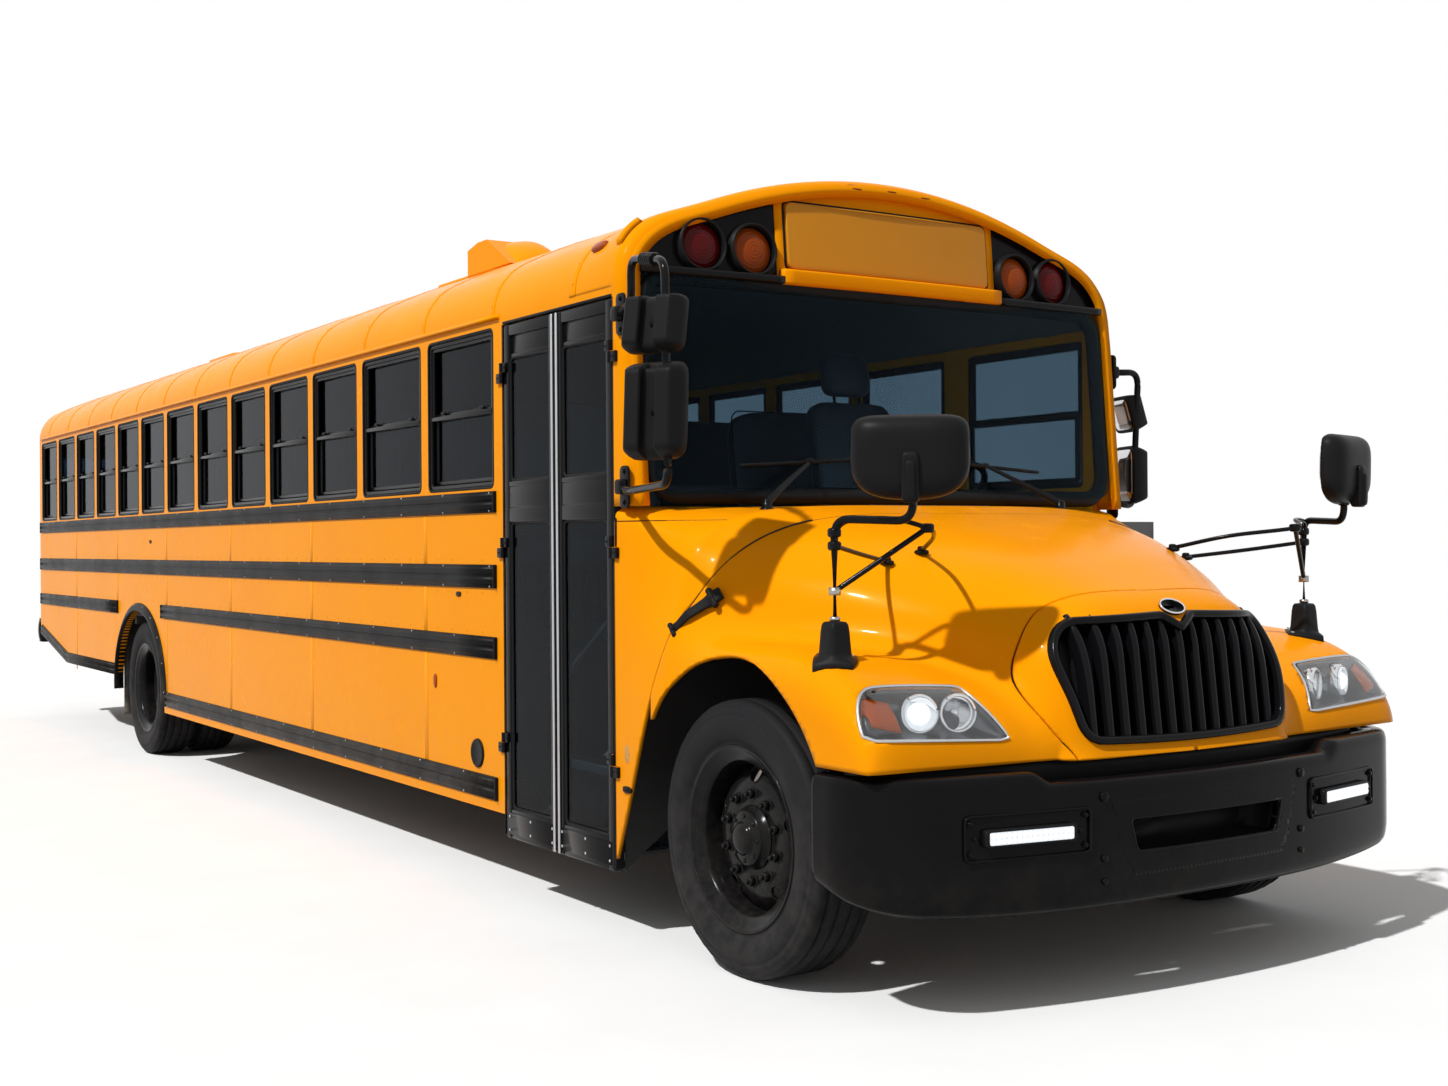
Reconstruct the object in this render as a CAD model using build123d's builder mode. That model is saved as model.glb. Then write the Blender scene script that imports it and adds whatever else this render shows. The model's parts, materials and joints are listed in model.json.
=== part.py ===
from build123d import *
import os
from math import cos, sin, sqrt, radians, atan2, degrees

# A conventional school bus: bonnet ahead of the cab, thirteen side windows behind the entrance door.
# X points forward, Y to the left of the bus, Z up. The ground is z = 0.
# The origin lies on the ground below the middle of the bus.

# Running gear
wheelbase = 7300
front_axle_x = 4920
rear_axle_x = front_axle_x - wheelbase
tyre_radius = 452
tyre_width = 255
tyre_shoulder = 38
bead_radius = 286
front_tyre_face = 1174
rear_tyre_face = 1195
dual_gap = 37
kingpin_y = 872
kingpin_radius = 24
hub_radius = 105
spindle_radius = 38
running_gap = 0.3

# Body shell
body_width = 2438
half_width = body_width / 2
wall = 40
eave_z = 2330
shoulder_radius = 260
crown_z = 2825
roof_wall = 45
body_rear_x = front_axle_x - 10640
rear_cap_depth = 140
skirt_z = 330
rear_skirt_z = 500
rear_skirt_end_z = 690
rear_rise_x = front_axle_x - 9545
floor_top_z = 990
floor_thickness = 50
crossbar_height = 60
frame_height = 240
frame_top_z = floor_top_z - floor_thickness - crossbar_height
frame_y = 430
frame_flange = 80
frame_web = 12

# Doorway in the right wall
door_rear_x = front_axle_x - 1590
door_front_x = front_axle_x - 700
door_bottom_z = 240
door_top_z = 2296
door_gap = 5
leaf_thickness = 38

# Cab front
cap_rear_x = front_axle_x - 1000
cab_front_x = front_axle_x - 590
cab_front_slope = 0.08
cowl_top_z = 1545
windshield_bottom_z = 1590
windshield_top_z = 2380
windshield_half = 1128
windshield_corner = 70
glass_thickness = 6

# Bonnet
hood_rear_x = front_axle_x - 300
hood_front_x = front_axle_x + 890
hood_bottom_z = 750
hood_wall = 25
hood_gap = 4
front_arch_rx = 560
front_arch_rz = 597
front_arch_x = front_axle_x + 20
rear_arch_rx = 620
rear_arch_rz = 532
cowl_bottom_z = 250

# Side windows
window_sill_z = 1645
window_top_z = 2290
window_post = 84
first_post_x = front_axle_x - 1640
window_pitches = [740, 780] + 5 * [690] + 6 * [650]
sash_bar = 26
sash_depth = 24
sash_mid_z = 1962

# Rear windows: distance from the middle, lower edge, upper edge, width
rear_window = (830, 1640, 2200, 520)

# Rub rails: name, lower edge, upper edge
rail_heights = [("sill", 1543, 1630), ("seat", 1235, 1331), ("floor", 947, 1037)]
skirt_rail_z = (374, 469)
rail_depth = 16
rail_front_x = front_axle_x - 1660
arch_trim = 50

os.makedirs("parts", exist_ok=True)


def finish(piece, label):
    piece.part.label = label
    export_step(piece.part, "parts/" + label + ".step")


def block(x_range, y_range, z_range, mode=Mode.ADD):
    spans = [sorted(span) for span in (x_range, y_range, z_range)]
    middle = [(low + high) / 2 for low, high in spans]
    size = [high - low for low, high in spans]
    with Locations(tuple(middle)):
        Box(*size, mode=mode)


def rod(x, y_range, z, radius, mode=Mode.ADD):
    low, high = sorted(y_range)
    with Locations(Location((x, (low + high) / 2, z), (90, 0, 0))):
        Cylinder(radius, high - low, mode=mode)


def post(x, y, z_range, radius, mode=Mode.ADD):
    low, high = sorted(z_range)
    with Locations((x, y, (low + high) / 2)):
        Cylinder(radius, high - low, mode=mode)


def tube(points, radius, bends):
    with BuildPart() as run:
        with BuildLine() as path:
            FilletPolyline(*points, radius=bends)
        with BuildSketch(Plane(origin=path.line @ 0, z_dir=path.line % 0)):
            Circle(radius)
        sweep()
    return run.part


# Roof section: a crown arc that meets a small shoulder arc on each side
shoulder_y = half_width - shoulder_radius
crown_rise = crown_z - eave_z
crown_radius = (shoulder_y ** 2 + crown_rise ** 2 - shoulder_radius ** 2) / (2 * (crown_rise - shoulder_radius))
crown_centre_z = crown_z - crown_radius
shoulder_angle = atan2(eave_z - crown_centre_z, shoulder_y)


def crown_height(y):
    return crown_centre_z + sqrt(crown_radius ** 2 - y ** 2)


def body_section(inset, base_z):
    side_y = half_width - inset
    shoulder = shoulder_radius - inset
    crown = crown_radius - inset
    half_turn = shoulder_angle / 2
    joint = (crown * cos(shoulder_angle), crown_centre_z + crown * sin(shoulder_angle))
    middle = (shoulder_y + shoulder * cos(half_turn), eave_z + shoulder * sin(half_turn))
    with BuildSketch() as section:
        with BuildLine():
            if base_z < eave_z:
                Polyline((-side_y, eave_z), (-side_y, base_z), (side_y, base_z), (side_y, eave_z))
            else:
                Line((-side_y, eave_z), (side_y, eave_z))
            ThreePointArc((side_y, eave_z), middle, joint)
            ThreePointArc(joint, (0, crown_centre_z + crown), (-joint[0], joint[1]))
            ThreePointArc((-joint[0], joint[1]), (-middle[0], middle[1]), (-side_y, eave_z))
        make_face()
    return section.sketch


# Side windows as a table of centre and width, front to rear
windows = []
post_x = first_post_x
for pitch in window_pitches:
    windows.append((post_x - pitch / 2, pitch - window_post))
    post_x -= pitch
driver_window = ((door_rear_x + door_front_x) / 2, door_front_x - door_rear_x - 130)
window_middle_z = (window_sill_z + window_top_z) / 2
window_height = window_top_z - window_sill_z


def side_plane(side, depth):
    # depth is the distance of the plane's start inside the outer face of the wall
    return Plane.XZ.offset(-side * (half_width - depth))


def side_extrude(side, thickness, mode=Mode.ADD):
    # pushes a side sketch outward, away from the middle of the bus
    extrude(amount=-side * thickness, mode=mode)


# Ladder frame: two channels joined by cross members
frame_rear_x = body_rear_x + 80
frame_front_x = front_axle_x + 760
frame_low_z = frame_top_z - frame_height
cross_count = 10
last_cross_x = front_axle_x - 1450
tow_eye_radius = 22
tow_plate = 30
tow_eye_x = frame_front_x - 130
tow_eye_y = frame_y + 80
tow_eye_width = 100
tow_eye_z = frame_low_z + 35
with BuildPart() as frame_rails:
    for side in (-1, 1):
        outer = side * (frame_y + frame_web / 2)
        inner = side * (frame_y - frame_web / 2)
        lip = side * (frame_y - frame_flange)
        block((frame_rear_x, frame_front_x), (inner, outer), (frame_low_z, frame_top_z))
        block((frame_rear_x, frame_front_x), (lip, outer), (frame_top_z - frame_web, frame_top_z))
        block((frame_rear_x, frame_front_x), (lip, outer), (frame_low_z, frame_low_z + frame_web))
    for i in range(cross_count):
        x = frame_rear_x + 60 + i * (last_cross_x - frame_rear_x - 60) / (cross_count - 1)
        block((x - 35, x + 35), (-frame_y, frame_y), (frame_low_z + 60, frame_low_z + 150))
    block((frame_front_x - 60, frame_front_x), (-frame_y, frame_y), (frame_low_z, frame_top_z - 60))
finish(frame_rails, "frame_rails")

# Tow eyes: plates bolted to the outer faces of the frame rails, each with an upright hole
with BuildPart() as tow_eyes:
    plate_z = (tow_eye_z - tow_plate / 2, tow_eye_z + tow_plate / 2)
    for side in (-1, 1):
        block((tow_eye_x - tow_eye_width / 2, tow_eye_x + tow_eye_width / 2),
              (side * (frame_y + frame_web / 2), side * tow_eye_y), plate_z)
        post(tow_eye_x, side * tow_eye_y, plate_z, tow_eye_width / 2)
        post(tow_eye_x, side * tow_eye_y, plate_z, tow_eye_radius, mode=Mode.SUBTRACT)
finish(tow_eyes, "tow_eyes")

# Front axle: dropped beam, kingpin eyes and leaf springs
beam_z = tyre_radius - 30
spring_y = frame_y
spring_width = 76
front_spring_reach = 640
with BuildPart() as front_axle:
    block((front_axle_x - 55, front_axle_x + 55), (-700, 700), (beam_z - 60, beam_z + 40))
    for side in (-1, 1):
        block((front_axle_x - 45, front_axle_x + 45), (side * 700, side * (kingpin_y - 10)),
              (beam_z - 40, beam_z + 70))
        post(front_axle_x, side * kingpin_y, (beam_z - 40, beam_z + 70), 62)
        post(front_axle_x, side * kingpin_y, (beam_z - 40, beam_z + 70), kingpin_radius + running_gap,
             mode=Mode.SUBTRACT)
        with BuildSketch(Plane.XZ.offset(-side * spring_y + spring_width / 2)):
            with BuildLine():
                ThreePointArc((front_axle_x - front_spring_reach, frame_low_z - 20),
                              (front_axle_x, beam_z + 50),
                              (front_axle_x + front_spring_reach, frame_low_z - 20))
                Line((front_axle_x + front_spring_reach, frame_low_z - 20),
                     (front_axle_x + front_spring_reach, frame_low_z))
                ThreePointArc((front_axle_x + front_spring_reach, frame_low_z),
                              (front_axle_x, beam_z + 110),
                              (front_axle_x - front_spring_reach, frame_low_z))
                Line((front_axle_x - front_spring_reach, frame_low_z),
                     (front_axle_x - front_spring_reach, frame_low_z - 20))
            make_face()
        extrude(amount=-spring_width)
        block((front_axle_x - 60, front_axle_x + 60), (side * (spring_y - 45), side * (spring_y + 45)),
              (beam_z + 30, beam_z + 55))
finish(front_axle, "front_axle")

# Rear axle: tube, differential, spring packs; the tube ends carry the twin wheels
rear_tube_end = 1040
rear_spring_reach = 720
rear_hub_bore = 60
with BuildPart() as rear_axle:
    rod(rear_axle_x, (-560, 560), tyre_radius, 75)
    rod(rear_axle_x, (-rear_tube_end, rear_tube_end), tyre_radius, rear_hub_bore - running_gap)
    with Locations((rear_axle_x, 0, tyre_radius)):
        Sphere(190)
    with Locations(Location((rear_axle_x + 200, 0, tyre_radius), (0, 90, 0))):
        Cylinder(70, 140)
    for side in (-1, 1):
        with BuildSketch(Plane.XZ.offset(-side * spring_y + spring_width / 2)):
            with BuildLine():
                ThreePointArc((rear_axle_x - rear_spring_reach, frame_low_z - 20),
                              (rear_axle_x, tyre_radius + 70),
                              (rear_axle_x + rear_spring_reach, frame_low_z - 20))
                Line((rear_axle_x + rear_spring_reach, frame_low_z - 20),
                     (rear_axle_x + rear_spring_reach, frame_low_z))
                ThreePointArc((rear_axle_x + rear_spring_reach, frame_low_z),
                              (rear_axle_x, tyre_radius + 150),
                              (rear_axle_x - rear_spring_reach, frame_low_z))
                Line((rear_axle_x - rear_spring_reach, frame_low_z),
                     (rear_axle_x - rear_spring_reach, frame_low_z - 20))
            make_face()
        extrude(amount=-spring_width)
finish(rear_axle, "rear_axle")

# Engine and gearbox as plain blocks, with the propeller shaft to the rear axle
engine_front_x = front_axle_x + 560
engine_rear_x = front_axle_x - 295
gearbox_rear_x = front_axle_x - 1300
shaft_radius = 50
engine_half = frame_y - frame_flange - 10
gearbox_half = 230
engine_mounts = [(front_axle_x + 200, engine_half), (front_axle_x - 900, gearbox_half)]
shaft_start = Vector(gearbox_rear_x + 5, 0, frame_low_z)
shaft_end = Vector(rear_axle_x + 290, 0, tyre_radius + 8)
shaft_run = shaft_end - shaft_start
with BuildPart() as drivetrain:
    block((engine_rear_x, engine_front_x), (-engine_half, engine_half), (frame_low_z + 10, 1150))
    block((gearbox_rear_x, engine_rear_x), (-gearbox_half, gearbox_half), (frame_low_z - 60, frame_top_z - 40))
    for side in (-1, 1):
        for x, half in engine_mounts:
            block((x - 50, x + 50), (side * (half - 10), side * (frame_y - frame_web / 2)),
                  (frame_low_z + 40, frame_low_z + 140))
    with BuildSketch(Plane(origin=shaft_start, z_dir=shaft_run)):
        Circle(shaft_radius)
    extrude(amount=shaft_run.length)
finish(drivetrain, "drivetrain")

# Fuel tank between the rails and exhaust on the left
tank_front_x = rear_axle_x + 3100
with BuildPart() as fuel_tank:
    with BuildSketch(Plane.YZ.offset(tank_front_x - 1100)):
        with Locations((-(frame_y + 360), 585)):
            RectangleRounded(620, 420, 90)
    extrude(amount=1100)
    for x in (tank_front_x - 900, tank_front_x - 200):
        block((x - 25, x + 25), (-(frame_y + frame_web / 2), -(frame_y + 60)), (660, 700))
finish(fuel_tank, "fuel_tank")

exhaust_y = frame_y + 190
exhaust_z = 520
muffler_front_x = front_axle_x - 2100
with BuildPart() as exhaust:
    with Locations(Location((muffler_front_x - 550, exhaust_y, exhaust_z), (0, 90, 0))):
        Cylinder(150, 1100)
    with Locations(Location(((engine_rear_x - 20 + muffler_front_x) / 2, exhaust_y, exhaust_z), (0, 90, 0))):
        Cylinder(50, engine_rear_x - 20 - muffler_front_x)
    for x in (muffler_front_x - 900, muffler_front_x - 200):
        block((x - 20, x + 20), (frame_y + frame_web / 2, exhaust_y), (exhaust_z + 120, exhaust_z + 170))
        block((x - 20, x + 20), (exhaust_y - 30, exhaust_y + 30), (exhaust_z + 100, exhaust_z + 170))
finish(exhaust, "exhaust")

# Floor with cross bars that rest on the frame, open over the step well
cabin_half = half_width - wall
step_depth = 225
step_sheet = 12
step_outer_y = -half_width + wall + 3
step_inner_y = step_outer_y + 3 * step_depth + step_sheet
floor_front_x = front_axle_x - 640
floor_rear_x = body_rear_x + wall
floor_low_z = floor_top_z - floor_thickness
crossbar_count = 16
with BuildPart() as floor:
    block((floor_rear_x, floor_front_x), (-cabin_half, cabin_half), (floor_low_z, floor_top_z))
    block((door_rear_x, floor_front_x + 1), (-cabin_half - 1, step_inner_y), (floor_low_z - 1, floor_top_z + 1),
          mode=Mode.SUBTRACT)
    for i in range(crossbar_count):
        x = floor_rear_x + 100 + i * (door_rear_x - 100 - floor_rear_x - 100) / (crossbar_count - 1)
        block((x - 25, x + 25), (-cabin_half, cabin_half), (frame_top_z, floor_low_z))
finish(floor, "floor")


def wall_outline(front_x, front_low_z):
    rear_x = body_rear_x + rear_cap_depth
    with BuildSketch() as outline:
        with BuildLine():
            Polyline((rear_x, rear_skirt_end_z), (rear_x, eave_z), (front_x, eave_z), (front_x, front_low_z),
                     (rear_axle_x, front_low_z), (rear_axle_x, rear_skirt_z), (rear_rise_x, rear_skirt_z),
                     close=True)
        make_face()
    return outline.sketch


def arch_cut(x, rx, rz, mode=Mode.SUBTRACT):
    with Locations((x, tyre_radius)):
        Ellipse(rx, rz, mode=mode)
    with Locations((x, tyre_radius / 2 - 50)):
        Rectangle(2 * rx, tyre_radius + 100, mode=mode)


# Side walls, each as one panel with its windows and wheel arch cut
for side, label, front_x in ((-1, "side_wall_right", door_rear_x), (1, "side_wall_left", door_front_x)):
    with BuildPart() as side_wall:
        with BuildSketch(side_plane(side, wall)):
            add(wall_outline(front_x, skirt_z))
            arch_cut(rear_axle_x, rear_arch_rx, rear_arch_rz)
            for x, width in windows:
                with Locations((x, window_middle_z)):
                    RectangleRounded(width, window_height, 25, mode=Mode.SUBTRACT)
            if side > 0:
                with Locations((driver_window[0], window_middle_z)):
                    RectangleRounded(driver_window[1], window_height, 25, mode=Mode.SUBTRACT)
        side_extrude(side, wall)
    finish(side_wall, label)

# Sashes: a black ring and middle bar in each opening, with the pane behind it
side_openings = [(side, x, width) for side in (-1, 1) for x, width in windows] + [(1, *driver_window)]
with BuildPart() as window_sashes:
    for side, x, width in side_openings:
        with BuildSketch(side_plane(side, sash_depth + 6)):
            with Locations((x, window_middle_z)):
                RectangleRounded(width - 0.6, window_height - 0.6, 24.7)
                Rectangle(width - 2 * sash_bar, window_height - 2 * sash_bar, mode=Mode.SUBTRACT)
            with Locations((x, sash_mid_z)):
                Rectangle(width - sash_bar, sash_bar)
        side_extrude(side, sash_depth)
finish(window_sashes, "window_sashes")

with BuildPart() as window_glass:
    for side, x, width in side_openings:
        with BuildSketch(side_plane(side, sash_depth + 6 + glass_thickness)):
            with Locations((x, window_middle_z)):
                Rectangle(width - 20, window_height - 20)
        side_extrude(side, glass_thickness)
    for side in (-1, 1):
        with BuildSketch(Plane.YZ.offset(body_rear_x + 16)):
            with Locations((side * rear_window[0], (rear_window[1] + rear_window[2]) / 2)):
                RectangleRounded(rear_window[3] - 0.6, rear_window[2] - rear_window[1] - 0.6, 39.7)
        extrude(amount=glass_thickness)
finish(window_glass, "window_glass")

# Roof shell with two hatch frames and a scoop vent
hatch_size = 600
hatch_frame = 40
hatch_top_z = crown_z + 25
hatch_positions = [("front", front_axle_x - 3900), ("rear", front_axle_x - 8300)]
roof_front_x = cap_rear_x
roof_rear_x = body_rear_x + rear_cap_depth
hatch_pin_reach = hatch_size / 2 + hatch_frame + 26
hatch_pin_z = hatch_top_z + 12
hatch_pin_radius = 5
hatch_barrel_radius = 9
hatch_barrels = (130, 170)
vent_x = front_axle_x - 2920
vent_y = -500
vent_length = 480
vent_width = 300
vent_height = 130
hatch_bay_half = 460
# the roof skin is sheets laid end to end, with joints on both sides of each hatch
roof_joints = sorted([roof_rear_x, roof_front_x] + [x + way * hatch_bay_half for name, x in hatch_positions
                                                    for way in (-1, 1)])
with BuildPart() as roof:
    for low, high in zip(roof_joints, roof_joints[1:]):
        with BuildSketch(Plane.YZ.offset(low)):
            add(body_section(0, eave_z))
        extrude(amount=high - low - (0 if high == roof_front_x else running_gap))
    for name, x in hatch_positions:
        reach = hatch_size / 2 + hatch_frame
        block((x - reach, x + reach), (-reach, reach), (crown_z - 200, hatch_top_z))
    with BuildSketch(Plane.YZ.offset(roof_rear_x)):
        add(body_section(roof_wall, eave_z - 1))
    extrude(amount=roof_front_x - roof_rear_x, mode=Mode.SUBTRACT)
    for name, x in hatch_positions:
        reach = hatch_size / 2
        block((x - reach, x + reach), (-reach, reach), (crown_z - 200, hatch_top_z + 1), mode=Mode.SUBTRACT)
        for side in (-1, 1):
            lug = (side * (hatch_barrels[1] + 6), side * (hatch_barrels[1] + 20))
            block((x + hatch_pin_reach - hatch_barrel_radius, x + hatch_pin_reach + hatch_barrel_radius), lug,
                  (crown_z - 30, hatch_pin_z))
            rod(x + hatch_pin_reach, lug, hatch_pin_z, hatch_barrel_radius)
            rod(x + hatch_pin_reach, (side * (hatch_barrels[0] - 4), lug[1]), hatch_pin_z, hatch_pin_radius)
    with BuildSketch(Plane.XZ.offset(-(vent_y - vent_width / 2))):
        with BuildLine():
            vent_base = crown_height(vent_y) - 20
            vent_top = crown_height(vent_y) + vent_height
            Polyline((vent_x + vent_length / 2, vent_base), (vent_x - vent_length / 2, vent_base),
                     (vent_x - vent_length / 2, vent_top - 25), (vent_x - vent_length / 2 + 120, vent_top),
                     (vent_x - 20, vent_top), (vent_x + vent_length / 2, vent_base), close=True)
        make_face()
    extrude(amount=-vent_width)
finish(roof, "roof")

# Hatch lids, hinged on their front edge
lid_thickness = 24
lid_overhang = 12
for name, x in hatch_positions:
    with BuildPart() as hatch_lid:
        reach = hatch_size / 2 + hatch_frame + lid_overhang
        block((x - reach, x + reach), (-reach, reach), (hatch_top_z + running_gap, hatch_top_z + lid_thickness))
        fillet(hatch_lid.edges().filter_by(Axis.Z), 60)
        fillet(hatch_lid.faces().sort_by(Axis.Z)[-1].edges(), 12)
        for side in (-1, 1):
            barrel = (side * hatch_barrels[0], side * hatch_barrels[1])
            block((x + reach - 4, x + hatch_pin_reach), barrel, (hatch_pin_z - hatch_barrel_radius, hatch_pin_z + 4))
            rod(x + hatch_pin_reach, barrel, hatch_pin_z, hatch_barrel_radius)
            rod(x + hatch_pin_reach, (barrel[0] - side, barrel[1] + side), hatch_pin_z,
                hatch_pin_radius + running_gap, mode=Mode.SUBTRACT)
    finish(hatch_lid, "roof_hatch_" + name)

# Front cap: roof nose, lamp header and windscreen pillars in one moulding
header_low_z = windshield_top_z
with BuildPart() as front_cap:
    with BuildSketch(Plane.YZ.offset(cap_rear_x)):
        add(body_section(0, eave_z))
    extrude(amount=cab_front_x - cap_rear_x + 20)
    block((door_front_x, cab_front_x + 90), (-half_width, half_width), (cowl_top_z, eave_z))
    slope_top_z = crown_z + 100
    with BuildSketch(Plane.XZ.offset(half_width + 10)):
        with BuildLine():
            Polyline((cab_front_x - (slope_top_z - header_low_z) * cab_front_slope, slope_top_z),
                     (cab_front_x + (header_low_z - cowl_top_z) * cab_front_slope, cowl_top_z),
                     (cab_front_x + 300, cowl_top_z), (cab_front_x + 300, slope_top_z), close=True)
        make_face()
    extrude(amount=-2 * (half_width + 10), mode=Mode.SUBTRACT)
    fillet(front_cap.faces().sort_by(Axis.X)[-1].edges().filter_by(Axis.Y, reverse=True), 70)
    block((cap_rear_x - 1, door_front_x), (-cabin_half, cabin_half), (eave_z - 1, eave_z + 20),
          mode=Mode.SUBTRACT)
    with BuildSketch(Plane.YZ.offset(cap_rear_x)):
        add(body_section(roof_wall, eave_z - 1))
    extrude(amount=cab_front_x - 110 - cap_rear_x, mode=Mode.SUBTRACT)
    block((door_front_x - 1, cab_front_x - 60), (-cabin_half, cabin_half), (cowl_top_z - 1, eave_z + 1),
          mode=Mode.SUBTRACT)
    with BuildSketch(Plane.YZ.offset(door_front_x)):
        with Locations((0, (windshield_bottom_z + windshield_top_z) / 2)):
            RectangleRounded(2 * windshield_half, windshield_top_z - windshield_bottom_z, windshield_corner)
    extrude(amount=400, mode=Mode.SUBTRACT)
finish(front_cap, "front_cap")

# Windscreen, leaning with the cab front
slope_angle = degrees(atan2(cab_front_slope, 1))
screen_middle_z = (windshield_bottom_z + windshield_top_z) / 2
screen_x = cab_front_x + (header_low_z - screen_middle_z) * cab_front_slope - 30
with BuildPart() as windshield:
    with BuildSketch(Plane(origin=(screen_x, 0, screen_middle_z), x_dir=(0, 1, 0),
                           z_dir=(cos(radians(slope_angle)), 0, sin(radians(slope_angle))))):
        RectangleRounded(2 * windshield_half - 1, windshield_top_z - windshield_bottom_z - 1,
                         windshield_corner)
    extrude(amount=glass_thickness)
finish(windshield, "windshield")

# Lamp header: black panels, two lamps on each side, blank sign board between
lamp_table = [("amber", 655), ("red", 875)]
lamp_z = 2513
lamp_radius = 88


def header_plane(lift):
    x = cab_front_x - (lamp_z - header_low_z) * cab_front_slope + lift
    return Plane(origin=(x, 0, lamp_z), x_dir=(0, 1, 0),
                 z_dir=(cos(radians(slope_angle)), 0, sin(radians(slope_angle))))


with BuildPart() as lamp_panels:
    for side in (-1, 1):
        with BuildSketch(header_plane(0)):
            with BuildLine():
                Polyline((side * 530, -108), (side * 1110, -108), (side * 1110, -68), (side * 1050, 0),
                         (side * 960, 52), (side * 530, 196), close=True)
            make_face()
            fillet(vertices(), 20)
        extrude(amount=8)
        for name, y in lamp_table:
            with BuildSketch(header_plane(8)):
                with Locations((side * y, 0)):
                    Circle(lamp_radius + 14)
                    Circle(lamp_radius, mode=Mode.SUBTRACT)
            extrude(amount=40)
finish(lamp_panels, "lamp_panels")

with BuildPart() as sign_board:
    with BuildSketch(header_plane(0)):
        with Locations((0, 58)):
            RectangleRounded(1010, 266, 18)
    extrude(amount=22)
finish(sign_board, "sign_board")

# Door hinges: a pin that stands in a lower half on the body, and a barrel on the leaf above it
hinge_offset = 9
hinge_radius = 9
hinge_pin = 5
hinge_length = 40
hinge_levels = [620, 1400, 2100]
hinge_y = -half_width - hinge_offset

# Rear cap: end wall, rounded to the roof and sides, open for the emergency door and two windows
rear_door_half = 430
rear_hinge_x = body_rear_x - 9
rear_hinge_y = -rear_door_half
rear_hinge_levels = [1150, 1600, 2050]
rear_door_low_z = 940
rear_door_high_z = 2250
rear_door_gap = 8
with BuildPart() as rear_wall:
    with BuildSketch(Plane.YZ.offset(body_rear_x)):
        add(body_section(0, rear_skirt_end_z))
    extrude(amount=rear_cap_depth)
    fillet(rear_wall.faces().sort_by(Axis.X)[0].edges().filter_by(Axis.Y, reverse=True), 80)
    with BuildSketch(Plane.YZ.offset(body_rear_x + wall)):
        add(body_section(wall, rear_skirt_end_z - 1))
    extrude(amount=rear_cap_depth, mode=Mode.SUBTRACT)
    block((body_rear_x - 1, body_rear_x + wall + 1), (-rear_door_half, rear_door_half),
          (rear_door_low_z, rear_door_high_z), mode=Mode.SUBTRACT)
    for side in (-1, 1):
        with BuildSketch(Plane.YZ.offset(body_rear_x - 1)):
            with Locations((side * rear_window[0], (rear_window[1] + rear_window[2]) / 2)):
                RectangleRounded(rear_window[3], rear_window[2] - rear_window[1], 40)
        extrude(amount=wall + 2, mode=Mode.SUBTRACT)
    for z in rear_hinge_levels:
        post(rear_hinge_x, rear_hinge_y, (z - hinge_length, z - running_gap), hinge_radius)
        post(rear_hinge_x, rear_hinge_y, (z - 1, z + hinge_length), hinge_pin)
        block((rear_hinge_x - 3, body_rear_x + 2), (rear_hinge_y - 40, rear_hinge_y),
              (z - hinge_length, z - running_gap))
finish(rear_wall, "rear_wall")

# Emergency door in the rear wall with an upper and a lower light
rear_lights = [(1700, 2160), (1080, 1480)]
with BuildPart() as rear_door:
    block((body_rear_x, body_rear_x + 34), (-rear_door_half + rear_door_gap, rear_door_half - rear_door_gap),
          (rear_door_low_z + rear_door_gap, rear_door_high_z - rear_door_gap))
    for low, high in rear_lights:
        with BuildSketch(Plane.YZ.offset(body_rear_x - 1)):
            with Locations((0, (low + high) / 2)):
                RectangleRounded(620, high - low, 40)
        extrude(amount=40, mode=Mode.SUBTRACT)
    block((body_rear_x - 30, body_rear_x), (250, 380), (1560, 1590))
    for z in rear_hinge_levels:
        post(rear_hinge_x, rear_hinge_y, (z, z + hinge_length), hinge_radius)
        block((rear_hinge_x - 3, body_rear_x + 4), (rear_hinge_y, rear_hinge_y + 34), (z, z + hinge_length))
        post(rear_hinge_x, rear_hinge_y, (z - 1, z + hinge_length + 1), hinge_pin + running_gap,
             mode=Mode.SUBTRACT)
finish(rear_door, "rear_door")

with BuildPart() as rear_door_glass:
    for low, high in rear_lights:
        with BuildSketch(Plane.YZ.offset(body_rear_x + 14)):
            with Locations((0, (low + high) / 2)):
                RectangleRounded(620 - 0.6, high - low - 0.6, 39.7)
        extrude(amount=glass_thickness)
finish(rear_door_glass, "rear_door_glass")

# Doorway frame: the header rail and the body halves of the leaf hinges
leaf_hinges = {"door_leaf_rear": (door_rear_x + 3, -1), "door_leaf_front": (door_front_x - 3, 1)}
with BuildPart() as door_frame:
    block((door_rear_x, door_front_x), (-half_width, -cabin_half), (door_top_z, eave_z))
    for x, way in leaf_hinges.values():
        for z in hinge_levels:
            post(x, hinge_y, (z - hinge_length, z - running_gap), hinge_radius)
            post(x, hinge_y, (z - 1, z + hinge_length), hinge_pin)
            block((x, x + way * 42), (hinge_y - 3, -half_width), (z - hinge_length, z - running_gap))
finish(door_frame, "door_frame")

# Rub rails: ribbed black bars along both sides, with the skirt rail and the arch trim
rib_count = 3


def rail_profile(side, low_z, high_z):
    base = side * half_width
    height = high_z - low_z
    step = height / (2 * rib_count + 1)
    points = [(base, low_z)]
    for i in range(2 * rib_count + 1):
        depth = rail_depth if i % 2 == 0 else rail_depth - 5
        points.append((base + side * depth, low_z + i * step + (3 if i else 0)))
        points.append((base + side * depth, low_z + (i + 1) * step - (3 if i < 2 * rib_count else 0)))
    points.append((base, high_z))
    with BuildSketch() as profile:
        with BuildLine():
            Polyline(*points, close=True)
        make_face()
    return profile.sketch


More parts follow.
